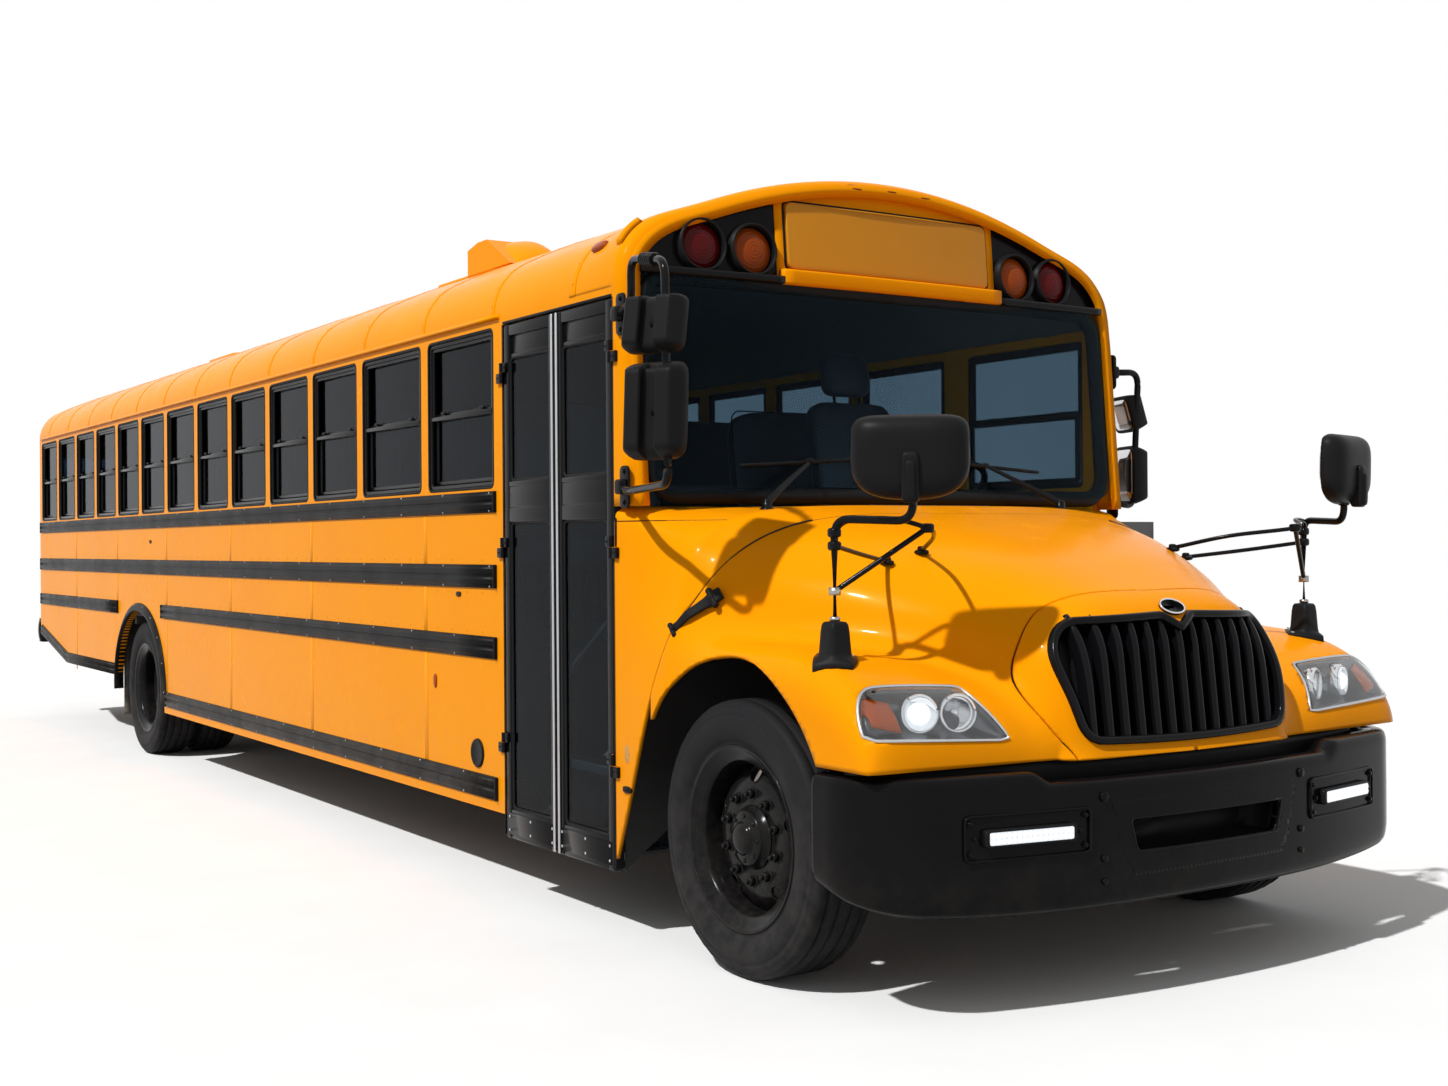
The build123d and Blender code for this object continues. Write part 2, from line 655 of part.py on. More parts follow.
rail_rear_x = body_rear_x + rear_cap_depth
arch_front_x = rear_axle_x + rear_arch_rx
arch_rear_x = rear_axle_x - rear_arch_rx
rail_runs = []
for name, low, high in rail_heights:
    if low < tyre_radius + rear_arch_rz + arch_trim:
        rail_runs.append((low, high, arch_front_x - 30, 0))
        rail_runs.append((low, high, rail_rear_x, arch_rear_x + 30))
    else:
        rail_runs.append((low, high, rail_rear_x, 0))
rail_runs.append((*skirt_rail_z, arch_front_x + arch_trim + 5, 0))
with BuildPart() as rub_rails:
    for side, front_x in ((-1, rail_front_x), (1, door_front_x - 60)):
        for low, high, rear_x, end_x in rail_runs:
            with BuildSketch(Plane.YZ.offset(rear_x)):
                add(rail_profile(side, low, high))
            extrude(amount=(end_x or front_x) - rear_x)
        with BuildSketch(side_plane(side, 0)):
            with BuildLine():
                Polyline((arch_rear_x - arch_trim - 5, rear_skirt_z), (rear_rise_x, rear_skirt_z),
                         (rail_rear_x, rear_skirt_end_z), (rail_rear_x, rear_skirt_end_z + 80),
                         (rear_rise_x, rear_skirt_z + 85), (arch_rear_x - arch_trim - 5, rear_skirt_z + 85),
                         close=True)
            make_face()
        side_extrude(side, rail_depth)
        with BuildSketch(side_plane(side, 0)):
            with Locations((rear_axle_x, tyre_radius)):
                Ellipse(rear_arch_rx + arch_trim, rear_arch_rz + arch_trim)
            arch_cut(rear_axle_x, rear_arch_rx, rear_arch_rz)
            with Locations((rear_axle_x, rear_skirt_z - 400)):
                Rectangle(3 * rear_arch_rx, 800, mode=Mode.SUBTRACT)
        side_extrude(side, rail_depth + 10)
finish(rub_rails, "rub_rails")

# Cowl: the cab's front bulkhead, its sides ahead of the door, and the shelf under the windscreen
cowl_front_x = hood_rear_x - hood_gap
with BuildPart() as cowl:
    with BuildSketch(Plane.YZ.offset(door_front_x)):
        with BuildLine():
            Polyline((-half_width, cowl_bottom_z), (half_width, cowl_bottom_z), (half_width, cowl_top_z),
                     (-half_width, cowl_top_z), close=True)
        make_face()
    extrude(amount=cowl_front_x - door_front_x)
    front_top = cowl.faces().sort_by(Axis.X)[-1].edges().sort_by(Axis.Z)[-1]
    fillet(front_top, 40)
    block((door_front_x - 1, cowl_front_x - wall), (-cabin_half, cabin_half), (cowl_bottom_z - 1, cowl_top_z - 45),
          mode=Mode.SUBTRACT)
    block((door_front_x - 1, cab_front_x - 40), (-cabin_half, cabin_half), (cowl_top_z - 50, cowl_top_z + 1),
          mode=Mode.SUBTRACT)
    block((cowl_front_x - wall - 1, cowl_front_x + 1), (-cabin_half, cabin_half), (cowl_bottom_z - 1, floor_low_z),
          mode=Mode.SUBTRACT)
    with BuildSketch(Plane.XZ.offset(-half_width - 1)):
        arch_cut(front_arch_x, front_arch_rx, front_arch_rz, mode=Mode.ADD)
    extrude(amount=2 * half_width + 2, mode=Mode.SUBTRACT)
finish(cowl, "cowl")

# Bonnet skin: a fender block whose front corners are round in plan, and a tapering centre dome
fender_top_z = 1085
corner_radius = 190
nose_radius = 3700
fender_round = 60
hood_pivot_x = front_axle_x + 866
hood_pivot_z = 730
hood_pin_radius = 9
nose_lean = 0.26
dome_table = [
    # x, half width at the base, half width at the top, crown height, side height
    (hood_rear_x, half_width - 12, half_width - 110, 1540, 1430),
    (front_axle_x + 150, 960, 700, 1440, 1300),
    (front_axle_x + 760, 640, 430, 1240, 1100),
]


def dome_section(base_half, top_half, crown, side_z, inset):
    base_half -= inset
    top_half -= inset
    crown -= inset
    side_z -= inset
    with BuildSketch() as section:
        with BuildLine():
            ThreePointArc((-top_half, side_z + 60), (0, crown), (top_half, side_z + 60))
            ThreePointArc((top_half, side_z + 60), ((top_half + base_half) / 2 + 20, side_z + 10),
                          (base_half, side_z - 130))
            Polyline((base_half, side_z - 130), (base_half, hood_bottom_z + 100),
                     (-base_half, hood_bottom_z + 100), (-base_half, side_z - 130))
            ThreePointArc((-base_half, side_z - 130), (-(top_half + base_half) / 2 - 20, side_z + 10),
                          (-top_half, side_z + 60))
        make_face()
    return section.sketch


nose_centre_x = hood_front_x - nose_radius
corner_centre_y = half_width - corner_radius
corner_centre_x = nose_centre_x + sqrt((nose_radius - corner_radius) ** 2 - corner_centre_y ** 2)
nose_angle = atan2(corner_centre_y, corner_centre_x - nose_centre_x)
nose_side_x = corner_centre_x + corner_radius


def fender_plan(inset):
    side = half_width - inset
    nose = nose_radius - inset
    corner = corner_radius - inset
    joint = (nose_centre_x + nose * cos(nose_angle), nose * sin(nose_angle))
    turn = (nose_angle + radians(90)) / 2
    middle = (corner_centre_x + corner * cos(turn), corner_centre_y + corner * sin(turn))
    with BuildSketch() as plan:
        with BuildLine():
            ThreePointArc((joint[0], -joint[1]), (nose_centre_x + nose, 0), joint)
            ThreePointArc(joint, middle, (corner_centre_x, side))
            Polyline((corner_centre_x, side), (hood_rear_x, side), (hood_rear_x, -side),
                     (corner_centre_x, -side))
            ThreePointArc((corner_centre_x, -side), (middle[0], -middle[1]), (joint[0], -joint[1]))
        make_face()
    return plan.sketch


def hood_form(inset):
    with BuildPart() as form:
        with BuildSketch(Plane.XY.offset(hood_bottom_z)):
            add(fender_plan(inset))
        extrude(amount=fender_top_z - hood_bottom_z - inset)
        if inset == 0:
            upper = form.faces().sort_by(Axis.Z)[-1].edges().filter_by(Axis.Y, reverse=True)
            fillet(upper, fender_round)
    with BuildPart() as dome:
        for x, base_half, top_half, crown, side_z in dome_table:
            with BuildSketch(Plane.YZ.offset(x)):
                add(dome_section(base_half, top_half, crown, side_z, inset))
        loft()
    lean_rise = 700
    low_x = hood_front_x - inset + 40
    with BuildPart() as trim:
        with BuildSketch(Plane.XZ.offset(half_width)):
            with BuildLine():
                Polyline((low_x, 820 - 200), (low_x, 820), (low_x - nose_lean * lean_rise, 820 + lean_rise),
                         (low_x + 500, 820 + lean_rise), (low_x + 500, 620), close=True)
            make_face()
        extrude(amount=-2 * half_width)
    return (form.part + dome.part) - trim.part


grille_half = 450
grille_low_z = 790
grille_high_z = 1155
lamp_inner_y = 700
lamp_low_z = 835
lamp_high_z = 985
with BuildPart() as hood:
    add(hood_form(0))
    add(hood_form(hood_wall), mode=Mode.SUBTRACT)
    block((hood_rear_x - 1, hood_rear_x + hood_wall + 1), (-half_width + hood_wall, half_width - hood_wall),
          (hood_bottom_z - 1, cowl_top_z - 140), mode=Mode.SUBTRACT)
    block((hood_rear_x - 1, nose_side_x - 60), (-half_width + hood_wall, half_width - hood_wall),
          (hood_bottom_z - 1, hood_bottom_z + 20), mode=Mode.SUBTRACT)
    with BuildSketch(Plane.XZ.offset(-half_width - 1)):
        arch_cut(front_arch_x, front_arch_rx, front_arch_rz, mode=Mode.ADD)
    extrude(amount=2 * half_width + 2, mode=Mode.SUBTRACT)
    with BuildSketch(Plane.YZ.offset(hood_front_x - 330)):
        with Locations((0, (grille_low_z + grille_high_z) / 2)):
            RectangleRounded(2 * grille_half, grille_high_z - grille_low_z, 50)
    extrude(amount=400, mode=Mode.SUBTRACT)
    for side in (-1, 1):
        block((nose_side_x - 140, nose_side_x + 200), (side * lamp_inner_y, side * (half_width + 10)),
              (lamp_low_z, lamp_high_z), mode=Mode.SUBTRACT)
        block((hood_pivot_x - 20, hood_pivot_x + 6), (side * 368, side * 384), (hood_pivot_z, hood_bottom_z + 30))
        rod(hood_pivot_x, (side * 368, side * 384), hood_pivot_z, hood_pin_radius + 9)
        rod(hood_pivot_x, (side * 360, side * 392), hood_pivot_z, hood_pin_radius + running_gap,
            mode=Mode.SUBTRACT)
finish(hood, "hood")

# Grille: a rim with upright slats that lean with the nose
slat_count = 13
grille_middle_z = (grille_low_z + grille_high_z) / 2
grille_x = hood_front_x - 45 - nose_lean * (grille_middle_z - 820)
grille_lean = degrees(atan2(nose_lean, 1))
grille_depth = 40
grille_drop = grille_depth * sin(radians(grille_lean)) / 2
grille_plane = Plane(origin=(grille_x - grille_depth, 0, grille_middle_z - grille_drop), x_dir=(0, 1, 0),
                     z_dir=(cos(radians(grille_lean)), 0, sin(radians(grille_lean))))
grille_height = (grille_high_z - grille_low_z - 2 * grille_drop - 1) / cos(radians(grille_lean))
with BuildPart() as grille:
    with BuildSketch(grille_plane):
        RectangleRounded(2 * grille_half - 0.6, grille_height, 55)
        RectangleRounded(2 * grille_half - 60, grille_height - 60, 24, mode=Mode.SUBTRACT)
    extrude(amount=grille_depth)
    pitch = (2 * grille_half - 60) / (slat_count + 1)
    with BuildSketch(grille_plane):
        for i in range(slat_count):
            with Locations(((i - (slat_count - 1) / 2) * pitch, 0)):
                Rectangle(24, grille_height - 40)
    extrude(amount=34)
finish(grille, "grille")

# Headlamps: one moulded block in each pocket of the bonnet
lamp_depth = 90
with BuildPart() as headlamps:
    with BuildSketch(Plane.XY.offset(lamp_low_z + running_gap)):
        add(fender_plan(6))
    extrude(amount=lamp_high_z - lamp_low_z - 2 * running_gap)
    with BuildSketch(Plane.XY.offset(lamp_low_z)):
        add(fender_plan(lamp_depth))
    extrude(amount=lamp_high_z - lamp_low_z, mode=Mode.SUBTRACT)
    block((hood_rear_x - 1, nose_side_x - 140 + running_gap), (-half_width, half_width),
          (lamp_low_z, lamp_high_z), mode=Mode.SUBTRACT)
    block((hood_rear_x, hood_front_x + 10), (-lamp_inner_y - running_gap, lamp_inner_y + running_gap),
          (lamp_low_z, lamp_high_z), mode=Mode.SUBTRACT)
finish(headlamps, "headlamps")

# Crossview mirrors: post on the fender, bent arm, and a head turned towards the driver
cross_post = (front_axle_x + 450, 1100)
cross_head = (front_axle_x + 690, 1000, 1660)
cross_post_top = 1482
driver_eye = (front_axle_x - 1100, 480, 1700)
arm_radius = 12
brace_foot = (front_axle_x + 330, 840, 1262)


def mirror_head(centre, aim, width, height, depth):
    plane = Plane(origin=centre, x_dir=Vector(-aim[1], aim[0], 0), z_dir=Vector(*aim))
    corner = 0.36 * min(width, height)
    with BuildPart() as head:
        with BuildSketch(plane):
            RectangleRounded(width, height, corner)
        with BuildSketch(plane.offset(-depth)):
            RectangleRounded(0.6 * width, 0.6 * height, 0.6 * corner)
        loft()
        with BuildSketch(plane):
            RectangleRounded(width, height, corner)
        extrude(amount=14)
    return head.part


def aim_at_driver(x, y, z):
    reach = (driver_eye[0] - x, driver_eye[1] - y, driver_eye[2] - z)
    size = sqrt(sum(part ** 2 for part in reach))
    return tuple(part / size for part in reach)


cross_pieces = []
for side in (-1, 1):
    post_y = side * cross_post[1]
    head_y = side * cross_head[1]
    head_x = cross_head[0]
    arm_points = [
        (cross_post[0], post_y, fender_top_z - 20),
        (cross_post[0], post_y, cross_post_top),
        (head_x + 10, head_y, cross_post_top - 8),
        (head_x + 10, head_y, cross_head[2] - 30),
    ]
    brace_points = [
        (cross_post[0] + 40, post_y * 0.985, cross_post_top - 4),
        (cross_post[0] - 20, side * 960, cross_post_top - 130),
        (brace_foot[0], side * brace_foot[1], brace_foot[2]),
    ]
    cross_pieces.append(tube(arm_points, arm_radius, 45))
    cross_pieces.append(tube(brace_points, 8, 40))
    aim = aim_at_driver(head_x, head_y, cross_head[2])
    cross_pieces.append(mirror_head((head_x, head_y, cross_head[2]), aim, 350, 245, 75))
with BuildPart() as cross_mirrors:
    for piece in cross_pieces:
        add(piece)
    for side in (-1, 1):
        post(cross_post[0], side * cross_post[1], (fender_top_z, fender_top_z + 70), 30)
        post(cross_post[0], side * cross_post[1], (fender_top_z, fender_top_z + 14), 62)
    add(hood.part, mode=Mode.SUBTRACT)
finish(cross_mirrors, "cross_mirrors")

# Front bumper: a hollow moulding that wraps round both corners, raised at its ends
bumper_low_z = 300
bumper_top_z = 692
bumper_end_top_z = 728
bumper_end_x = front_axle_x + 500
bumper_front_x = front_axle_x + 950
bumper_wall = 55
bumper_radius = 4200
bumper_corner = 260
bumper_opening = (340, 465, 565)


def bumper_plan(inset):
    side = half_width + 8 - inset
    nose = bumper_radius - inset
    corner = bumper_corner - inset
    centre_x = bumper_front_x - bumper_radius
    corner_y = half_width + 8 - bumper_corner
    corner_x = centre_x + sqrt((bumper_radius - bumper_corner) ** 2 - corner_y ** 2)
    angle = atan2(corner_y, corner_x - centre_x)
    joint = (centre_x + nose * cos(angle), nose * sin(angle))
    turn = (angle + radians(90)) / 2
    middle = (corner_x + corner * cos(turn), corner_y + corner * sin(turn))
    with BuildSketch() as plan:
        with BuildLine():
            ThreePointArc((joint[0], -joint[1]), (centre_x + nose, 0), joint)
            ThreePointArc(joint, middle, (corner_x, side))
            Polyline((corner_x, side), (bumper_end_x, side), (bumper_end_x, -side), (corner_x, -side))
            ThreePointArc((corner_x, -side), (middle[0], -middle[1]), (joint[0], -joint[1]))
        make_face()
    return plan.sketch


with BuildPart() as front_bumper:
    with BuildSketch(Plane.XY.offset(bumper_low_z)):
        add(bumper_plan(0))
    extrude(amount=bumper_end_top_z - bumper_low_z)
    with BuildSketch(Plane.YZ.offset(bumper_end_x)):
        with BuildLine():
            Polyline((-700, bumper_end_top_z + 1), (-640, bumper_top_z), (640, bumper_top_z),
                     (700, bumper_end_top_z + 1), close=True)
        make_face()
    extrude(amount=600, mode=Mode.SUBTRACT)
    with BuildSketch(Plane.XZ.offset(-half_width - 20)):
        with BuildLine():
            Polyline((bumper_end_x - 1, bumper_low_z - 1), (bumper_front_x + 1, bumper_low_z - 1),
                     (bumper_front_x - 60, bumper_low_z + 20), (bumper_end_x + 220, bumper_low_z + 40),
                     (bumper_end_x - 1, bumper_low_z + 170), close=True)
        make_face()
    extrude(amount=2 * half_width + 40, mode=Mode.SUBTRACT)
    with BuildSketch(Plane.XY.offset(bumper_low_z - 1)):
        add(bumper_plan(bumper_wall))
        with Locations((bumper_end_x, 0)):
            Rectangle(4, 2 * (half_width + 8 - bumper_wall))
    extrude(amount=500, mode=Mode.SUBTRACT)
    half, low, high = bumper_opening
    with BuildSketch(Plane.YZ.offset(bumper_front_x - 300)):
        with Locations((0, (low + high) / 2)):
            Trapezoid(2 * half, high - low, 75)
    extrude(amount=400, mode=Mode.SUBTRACT)
    for side in (-1, 1):
        block((frame_front_x, bumper_front_x - 40), (side * 345, side * 405), (frame_low_z, bumper_top_z - 6))
        block((hood_pivot_x - 12, hood_pivot_x + 12), (side * 352, side * 364), (bumper_top_z - 20, hood_pivot_z))
        rod(hood_pivot_x, (side * 352, side * 364), hood_pivot_z, 12)
        rod(hood_pivot_x, (side * 352, side * 388), hood_pivot_z, hood_pin_radius)
finish(front_bumper, "front_bumper")

# Work lamps in the bumper, white; marker lamps amber; stop and warning lamps red
light_bar = (725, 547, 290, 36)
bar_x = bumper_front_x - bumper_radius + sqrt(bumper_radius ** 2 - light_bar[0] ** 2)
bar_turn = degrees(atan2(light_bar[0], bumper_radius))


def facing(x, y, z, turn):
    return Plane(origin=(x, y, z), x_dir=(-sin(radians(turn)), cos(radians(turn)), 0),
                 z_dir=(cos(radians(turn)), sin(radians(turn)), 0))


with BuildPart() as lamps_white:
    for side in (-1, 1):
        with BuildSketch(facing(bar_x - 8, side * light_bar[0], light_bar[1], side * bar_turn * 1.1)):
            RectangleRounded(light_bar[2], light_bar[3], 8)
        extrude(amount=27)
    add(front_bumper.part, mode=Mode.SUBTRACT)
    for side in (-1, 1):
        block((bar_x - 60, bar_x - 12), (side * 500, side * 900), (500, 600), mode=Mode.SUBTRACT)
    for side in (-1, 1):
        with BuildSketch(Plane.YZ.offset(body_rear_x)):
            with Locations((side * 830, 1130)):
                Circle(48)
        extrude(amount=-18)
finish(lamps_white, "lamps_white")

marker_ys = (-175, 0, 175)
rear_lamp_z = 2420
rear_stop_z = 1330
rear_lamp_plane = Plane(origin=(body_rear_x, 0, rear_lamp_z), x_dir=(0, 1, 0), z_dir=(-1, 0, 0))
with BuildPart() as lamps_red:
    for side in (-1, 1):
        with BuildSketch(header_plane(8 + running_gap)):
            with Locations((side * lamp_table[1][1], 0)):
                Circle(lamp_radius - running_gap)
        extrude(amount=14)
        with BuildSketch(rear_lamp_plane):
            with Locations((side * 875, 0)):
                Circle(lamp_radius)
            with Locations((side * 830, rear_lamp_z - rear_stop_z)):
                Circle(88)
        extrude(amount=20)
finish(lamps_red, "lamps_red")

with BuildPart() as lamps_amber:
    for side in (-1, 1):
        with BuildSketch(header_plane(8 + running_gap)):
            with Locations((side * lamp_table[0][1], 0)):
                Circle(lamp_radius - running_gap)
        extrude(amount=14)
        with BuildSketch(rear_lamp_plane):
            with Locations((side * 655, 0)):
                Circle(lamp_radius)
        extrude(amount=20)
    for y in marker_ys:
        with Locations((cab_front_x - 60, y, crown_height(y) + 8)):
            Box(80, 70, 40)
    add(front_cap.part, mode=Mode.SUBTRACT)
    add(rear_wall.part, mode=Mode.SUBTRACT)
finish(lamps_amber, "lamps_amber")

# Rear bumper: a steel channel carried by the frame
rear_bumper_low_z = 620
rear_bumper_height = 200
rear_bumper_depth = 150
bumper_sheet = 24
bumper_cut = 150
with BuildPart() as rear_bumper:
    with BuildSketch(Plane.XY.offset(rear_bumper_low_z)):
        near_x = body_rear_x - 3
        far_x = body_rear_x - rear_bumper_depth
        for inset in (0, bumper_sheet):
            side = half_width - inset
            with BuildLine():
                Polyline((near_x, -side), (near_x - 40, -side), (far_x + inset, bumper_cut - side),
                         (far_x + inset, side - bumper_cut), (near_x - 40, side), (near_x, side), close=True)
            make_face(mode=Mode.SUBTRACT if inset else Mode.ADD)
    extrude(amount=rear_bumper_height)
    for side in (-1, 1):
        block((far_x + bumper_sheet / 2, frame_rear_x), (side * 380, side * 424),
              (rear_bumper_low_z, rear_skirt_end_z - 6))
finish(rear_bumper, "rear_bumper")

# Cabin: two rows of benches, driver's seat, dash and steering wheel
bench_count = 12
bench_width = 970
bench_pitch = 710
bench_first_x = door_rear_x - 350
bench_shape = [(40, 0), (40, 320), (340, 320), (355, 470), (-70, 450), (-150, 1050), (-235, 1050),
               (-160, 330), (-20, 320), (-20, 0)]
with BuildPart() as seats:
    for i in range(bench_count):
        x = bench_first_x - i * bench_pitch
        for side in (-1, 1):
            with BuildSketch(Plane.XZ.offset(-side * cabin_half + side * 8)):
                with BuildLine():
                    Polyline(*[(x + dx, floor_top_z + dz) for dx, dz in bench_shape], close=True)
                make_face()
            extrude(amount=side * bench_width)
finish(seats, "seats")

driver_seat_x = front_axle_x - 1230
with BuildPart() as driver_seat:
    block((driver_seat_x - 180, driver_seat_x + 180), (330, 630), (floor_top_z, floor_top_z + 60))
    block((driver_seat_x - 90, driver_seat_x + 90), (400, 560), (floor_top_z, floor_top_z + 330))
    block((driver_seat_x - 230, driver_seat_x + 250), (230, 730), (floor_top_z + 320, floor_top_z + 440))
    with BuildSketch(Plane.XZ.offset(-730)):
        with BuildLine():
            Polyline((driver_seat_x - 130, floor_top_z + 430), (driver_seat_x - 260, floor_top_z + 1080),
                     (driver_seat_x - 350, floor_top_z + 1080), (driver_seat_x - 260, floor_top_z + 380),
                     (driver_seat_x - 130, floor_top_z + 380), close=True)
        make_face()
    extrude(amount=500)
    with BuildSketch(Plane.XZ.offset(-620)):
        with BuildLine():
            Polyline((driver_seat_x - 265, floor_top_z + 1080), (driver_seat_x - 290, floor_top_z + 1290),
                     (driver_seat_x - 360, floor_top_z + 1290), (driver_seat_x - 345, floor_top_z + 1080),
                     close=True)
        make_face()
    extrude(amount=280)
finish(driver_seat, "driver_seat")

dash_rear_x = front_axle_x - 930
dash_top_z = 1500
wheel_centre = (front_axle_x - 930, 480, 1610)
wheel_tilt = 35
wheel_plane = Plane(origin=wheel_centre, x_dir=(0, 1, 0),
                    z_dir=(-sin(radians(wheel_tilt)), 0, cos(radians(wheel_tilt))))
with BuildPart() as dashboard:
    with BuildSketch(Plane.XZ.offset(-cabin_half + 5)):
        with BuildLine():
            Polyline((cowl_front_x - wall, floor_top_z + 220), (cowl_front_x - wall, dash_top_z - 10),
                     (dash_rear_x + 120, dash_top_z - 10), (dash_rear_x + 20, dash_top_z - 90),
                     (dash_rear_x + 60, floor_top_z + 260), (dash_rear_x + 160, floor_top_z + 220), close=True)
        make_face()
    extrude(amount=cabin_half - 5 + 330)
    with Locations(wheel_plane):
        Torus(220, 15)
        Box(420, 36, 12)
        with Locations((0, 0, -150)):
            Cylinder(32, 320)
finish(dashboard, "dashboard")

# Step well: three treads behind the entrance doors, open to the doorway
step_tops = [300, 530, 760]
step_rear_x = door_rear_x
step_front_x = floor_front_x - 62
with BuildPart() as step_well:
    points = [(step_outer_y, step_tops[0] - 60)]
    y = step_outer_y
    for top in step_tops:
        points.append((y, top))
        y += step_depth
        points.append((y, top))
    points.append((y, floor_top_z))
    with BuildSketch(Plane.YZ.offset(step_rear_x)):
        with BuildLine():
            Polyline(*points, (y + step_sheet, floor_top_z), (y + step_sheet, step_tops[2] - step_sheet),
                     (y - step_depth + step_sheet, step_tops[2] - step_sheet),
                     (y - step_depth + step_sheet, step_tops[1] - step_sheet),
                     (y - 2 * step_depth + step_sheet, step_tops[1] - step_sheet),
                     (y - 2 * step_depth + step_sheet, step_tops[0] - step_sheet),
                     (step_outer_y + step_sheet, step_tops[0] - step_sheet),
                     (step_outer_y + step_sheet, step_tops[0] - 60), close=True)
        make_face()
    extrude(amount=step_front_x - step_rear_x)
    for x in (step_rear_x, step_front_x - step_sheet):
        with BuildSketch(Plane.YZ.offset(x)):
            with BuildLine():
                Polyline((step_outer_y, step_tops[0] - 60), (step_outer_y, floor_top_z),
                         (y + step_sheet, floor_top_z), (y + step_sheet, step_tops[2] - step_sheet), close=True)
            make_face()
        extrude(amount=step_sheet)
finish(step_well, "step_well")

grab_runs = [
    tube([(step_rear_x + 70, step_outer_y + 140, step_tops[0]), (step_rear_x + 70, step_outer_y + 140, 820),
          (step_rear_x + 70, step_inner_y + 30, 1500), (step_rear_x + 70, step_inner_y + 30, floor_top_z)],
         16, 90),
    tube([(step_front_x - 70, step_outer_y + 100, step_tops[0]), (step_front_x - 70, step_outer_y + 100, 900),
          (step_front_x - 70, -520, 1440)], 16, 90),
]
with BuildPart() as handrails:
    for run in grab_runs:
        add(run)
finish(handrails, "handrails")

# Side mirrors: the right one reaches ahead of the doorway, the left one stands by the driver's window
mirror_y = 1400
right_arm = [
    (door_front_x + 60, -half_width, 2223),
    (door_front_x + 330, -half_width - 110, 2225),
    (door_front_x + 330, -half_width - 110, 2370),
    (front_axle_x - 30, -mirror_y, 2310),
    (front_axle_x - 20, -mirror_y, 1600),
    (door_front_x + 260, -half_width - 90, 1590),
    (door_front_x + 80, -half_width, 1612),
]
left_arm = [
    (door_front_x + 55, half_width, 2140),
    (door_front_x + 55, mirror_y, 2150),
    (door_front_x + 20, mirror_y, 1560),
    (door_front_x + 60, half_width, 1580),
]
head_table = [
    # x, y, z, width, height
    (front_axle_x - 60, -mirror_y - 10, 2110, 215, 185),
    (front_axle_x - 60, -mirror_y - 10, 1835, 215, 310),
    (door_front_x - 40, mirror_y + 5, 1970, 190, 165),
    (door_front_x - 40, mirror_y + 18.1, 1700, 200, 260),
]
with BuildPart() as mirror_arms:
    add(tube(right_arm, 14, 55))
    add(tube(left_arm, 14, 55))
    add(front_cap.part, mode=Mode.SUBTRACT)
finish(mirror_arms, "mirror_arms")

heads = [mirror_head((x, y, z), aim_at_driver(x, y, z), width, height, 70)
         for x, y, z, width, height in head_table]
with BuildPart() as mirror_heads:
    for head in heads:
        add(head)
    add(mirror_arms.part, mode=Mode.SUBTRACT)
finish(mirror_heads, "mirror_heads")

# Wipers on the cowl shelf, parked low across the glass
wiper_table = [(760, 380), (-680, -300)]
with BuildPart() as wipers:
    for y, tip_y in wiper_table:
        post(cab_front_x + 110, y, (cowl_top_z, cowl_top_z + 30), 16)
        add(tube([(cab_front_x + 110, y, cowl_top_z + 22), (cab_front_x + 80, (y + tip_y) / 2, cowl_top_z + 60),
                  (cab_front_x + 72, tip_y, cowl_top_z + 130)], 6, 60))
finish(wipers, "wipers")

# Mud flaps behind the rear wheels, hung from the floor
flap_x = arch_rear_x - 20
with BuildPart() as mud_flaps:
    for side in (-1, 1):
        block((flap_x - 8, flap_x), (side * 600, side * 1170), (210, floor_low_z))
finish(mud_flaps, "mud_flaps")

# Entrance door: two leaves hinged on their outer edges
leaf_gap = 14
door_middle_x = (door_rear_x + door_front_x) / 2
leaf_rails = 46
leaf_kick_z = 360
leaf_mid_z = 1640
door_leaves = {"door_leaf_rear": (door_rear_x + door_gap, door_middle_x - leaf_gap / 2),
               "door_leaf_front": (door_middle_x + leaf_gap / 2, door_front_x - door_gap)}
for label, (low_x, high_x) in door_leaves.items():
    with BuildPart() as leaf:
        with BuildSketch(side_plane(-1, leaf_thickness)):
            with Locations(((low_x + high_x) / 2, (door_bottom_z + door_top_z - door_gap) / 2)):
                Rectangle(high_x - low_x, door_top_z - door_gap - door_bottom_z)
            for low, high in ((leaf_kick_z, leaf_mid_z - 25), (leaf_mid_z + 25, door_top_z - door_gap - leaf_rails)):
                with Locations(((low_x + high_x) / 2, (low + high) / 2)):
                    Rectangle(high_x - low_x - 2 * leaf_rails, high - low, mode=Mode.SUBTRACT)
        extrude(amount=leaf_thickness)
        hinge_x, way = leaf_hinges[label]
        for z in hinge_levels:
            post(hinge_x, hinge_y, (z, z + hinge_length), hinge_radius)
            block((hinge_x, hinge_x - way * 30), (hinge_y - 3, -half_width + 4), (z, z + hinge_length))
            post(hinge_x, hinge_y, (z - 1, z + hinge_length + 1), hinge_pin + running_gap, mode=Mode.SUBTRACT)
    finish(leaf, label)
    with BuildPart() as leaf_glass:
        with BuildSketch(side_plane(-1, leaf_thickness / 2)):
            for low, high in ((leaf_kick_z, leaf_mid_z - 25), (leaf_mid_z + 25, door_top_z - door_gap - leaf_rails)):
                with Locations(((low_x + high_x) / 2, (low + high) / 2)):
                    Rectangle(high_x - low_x - 2 * leaf_rails, high - low)
        extrude(amount=glass_thickness)
    finish(leaf_glass, label + "_glass")

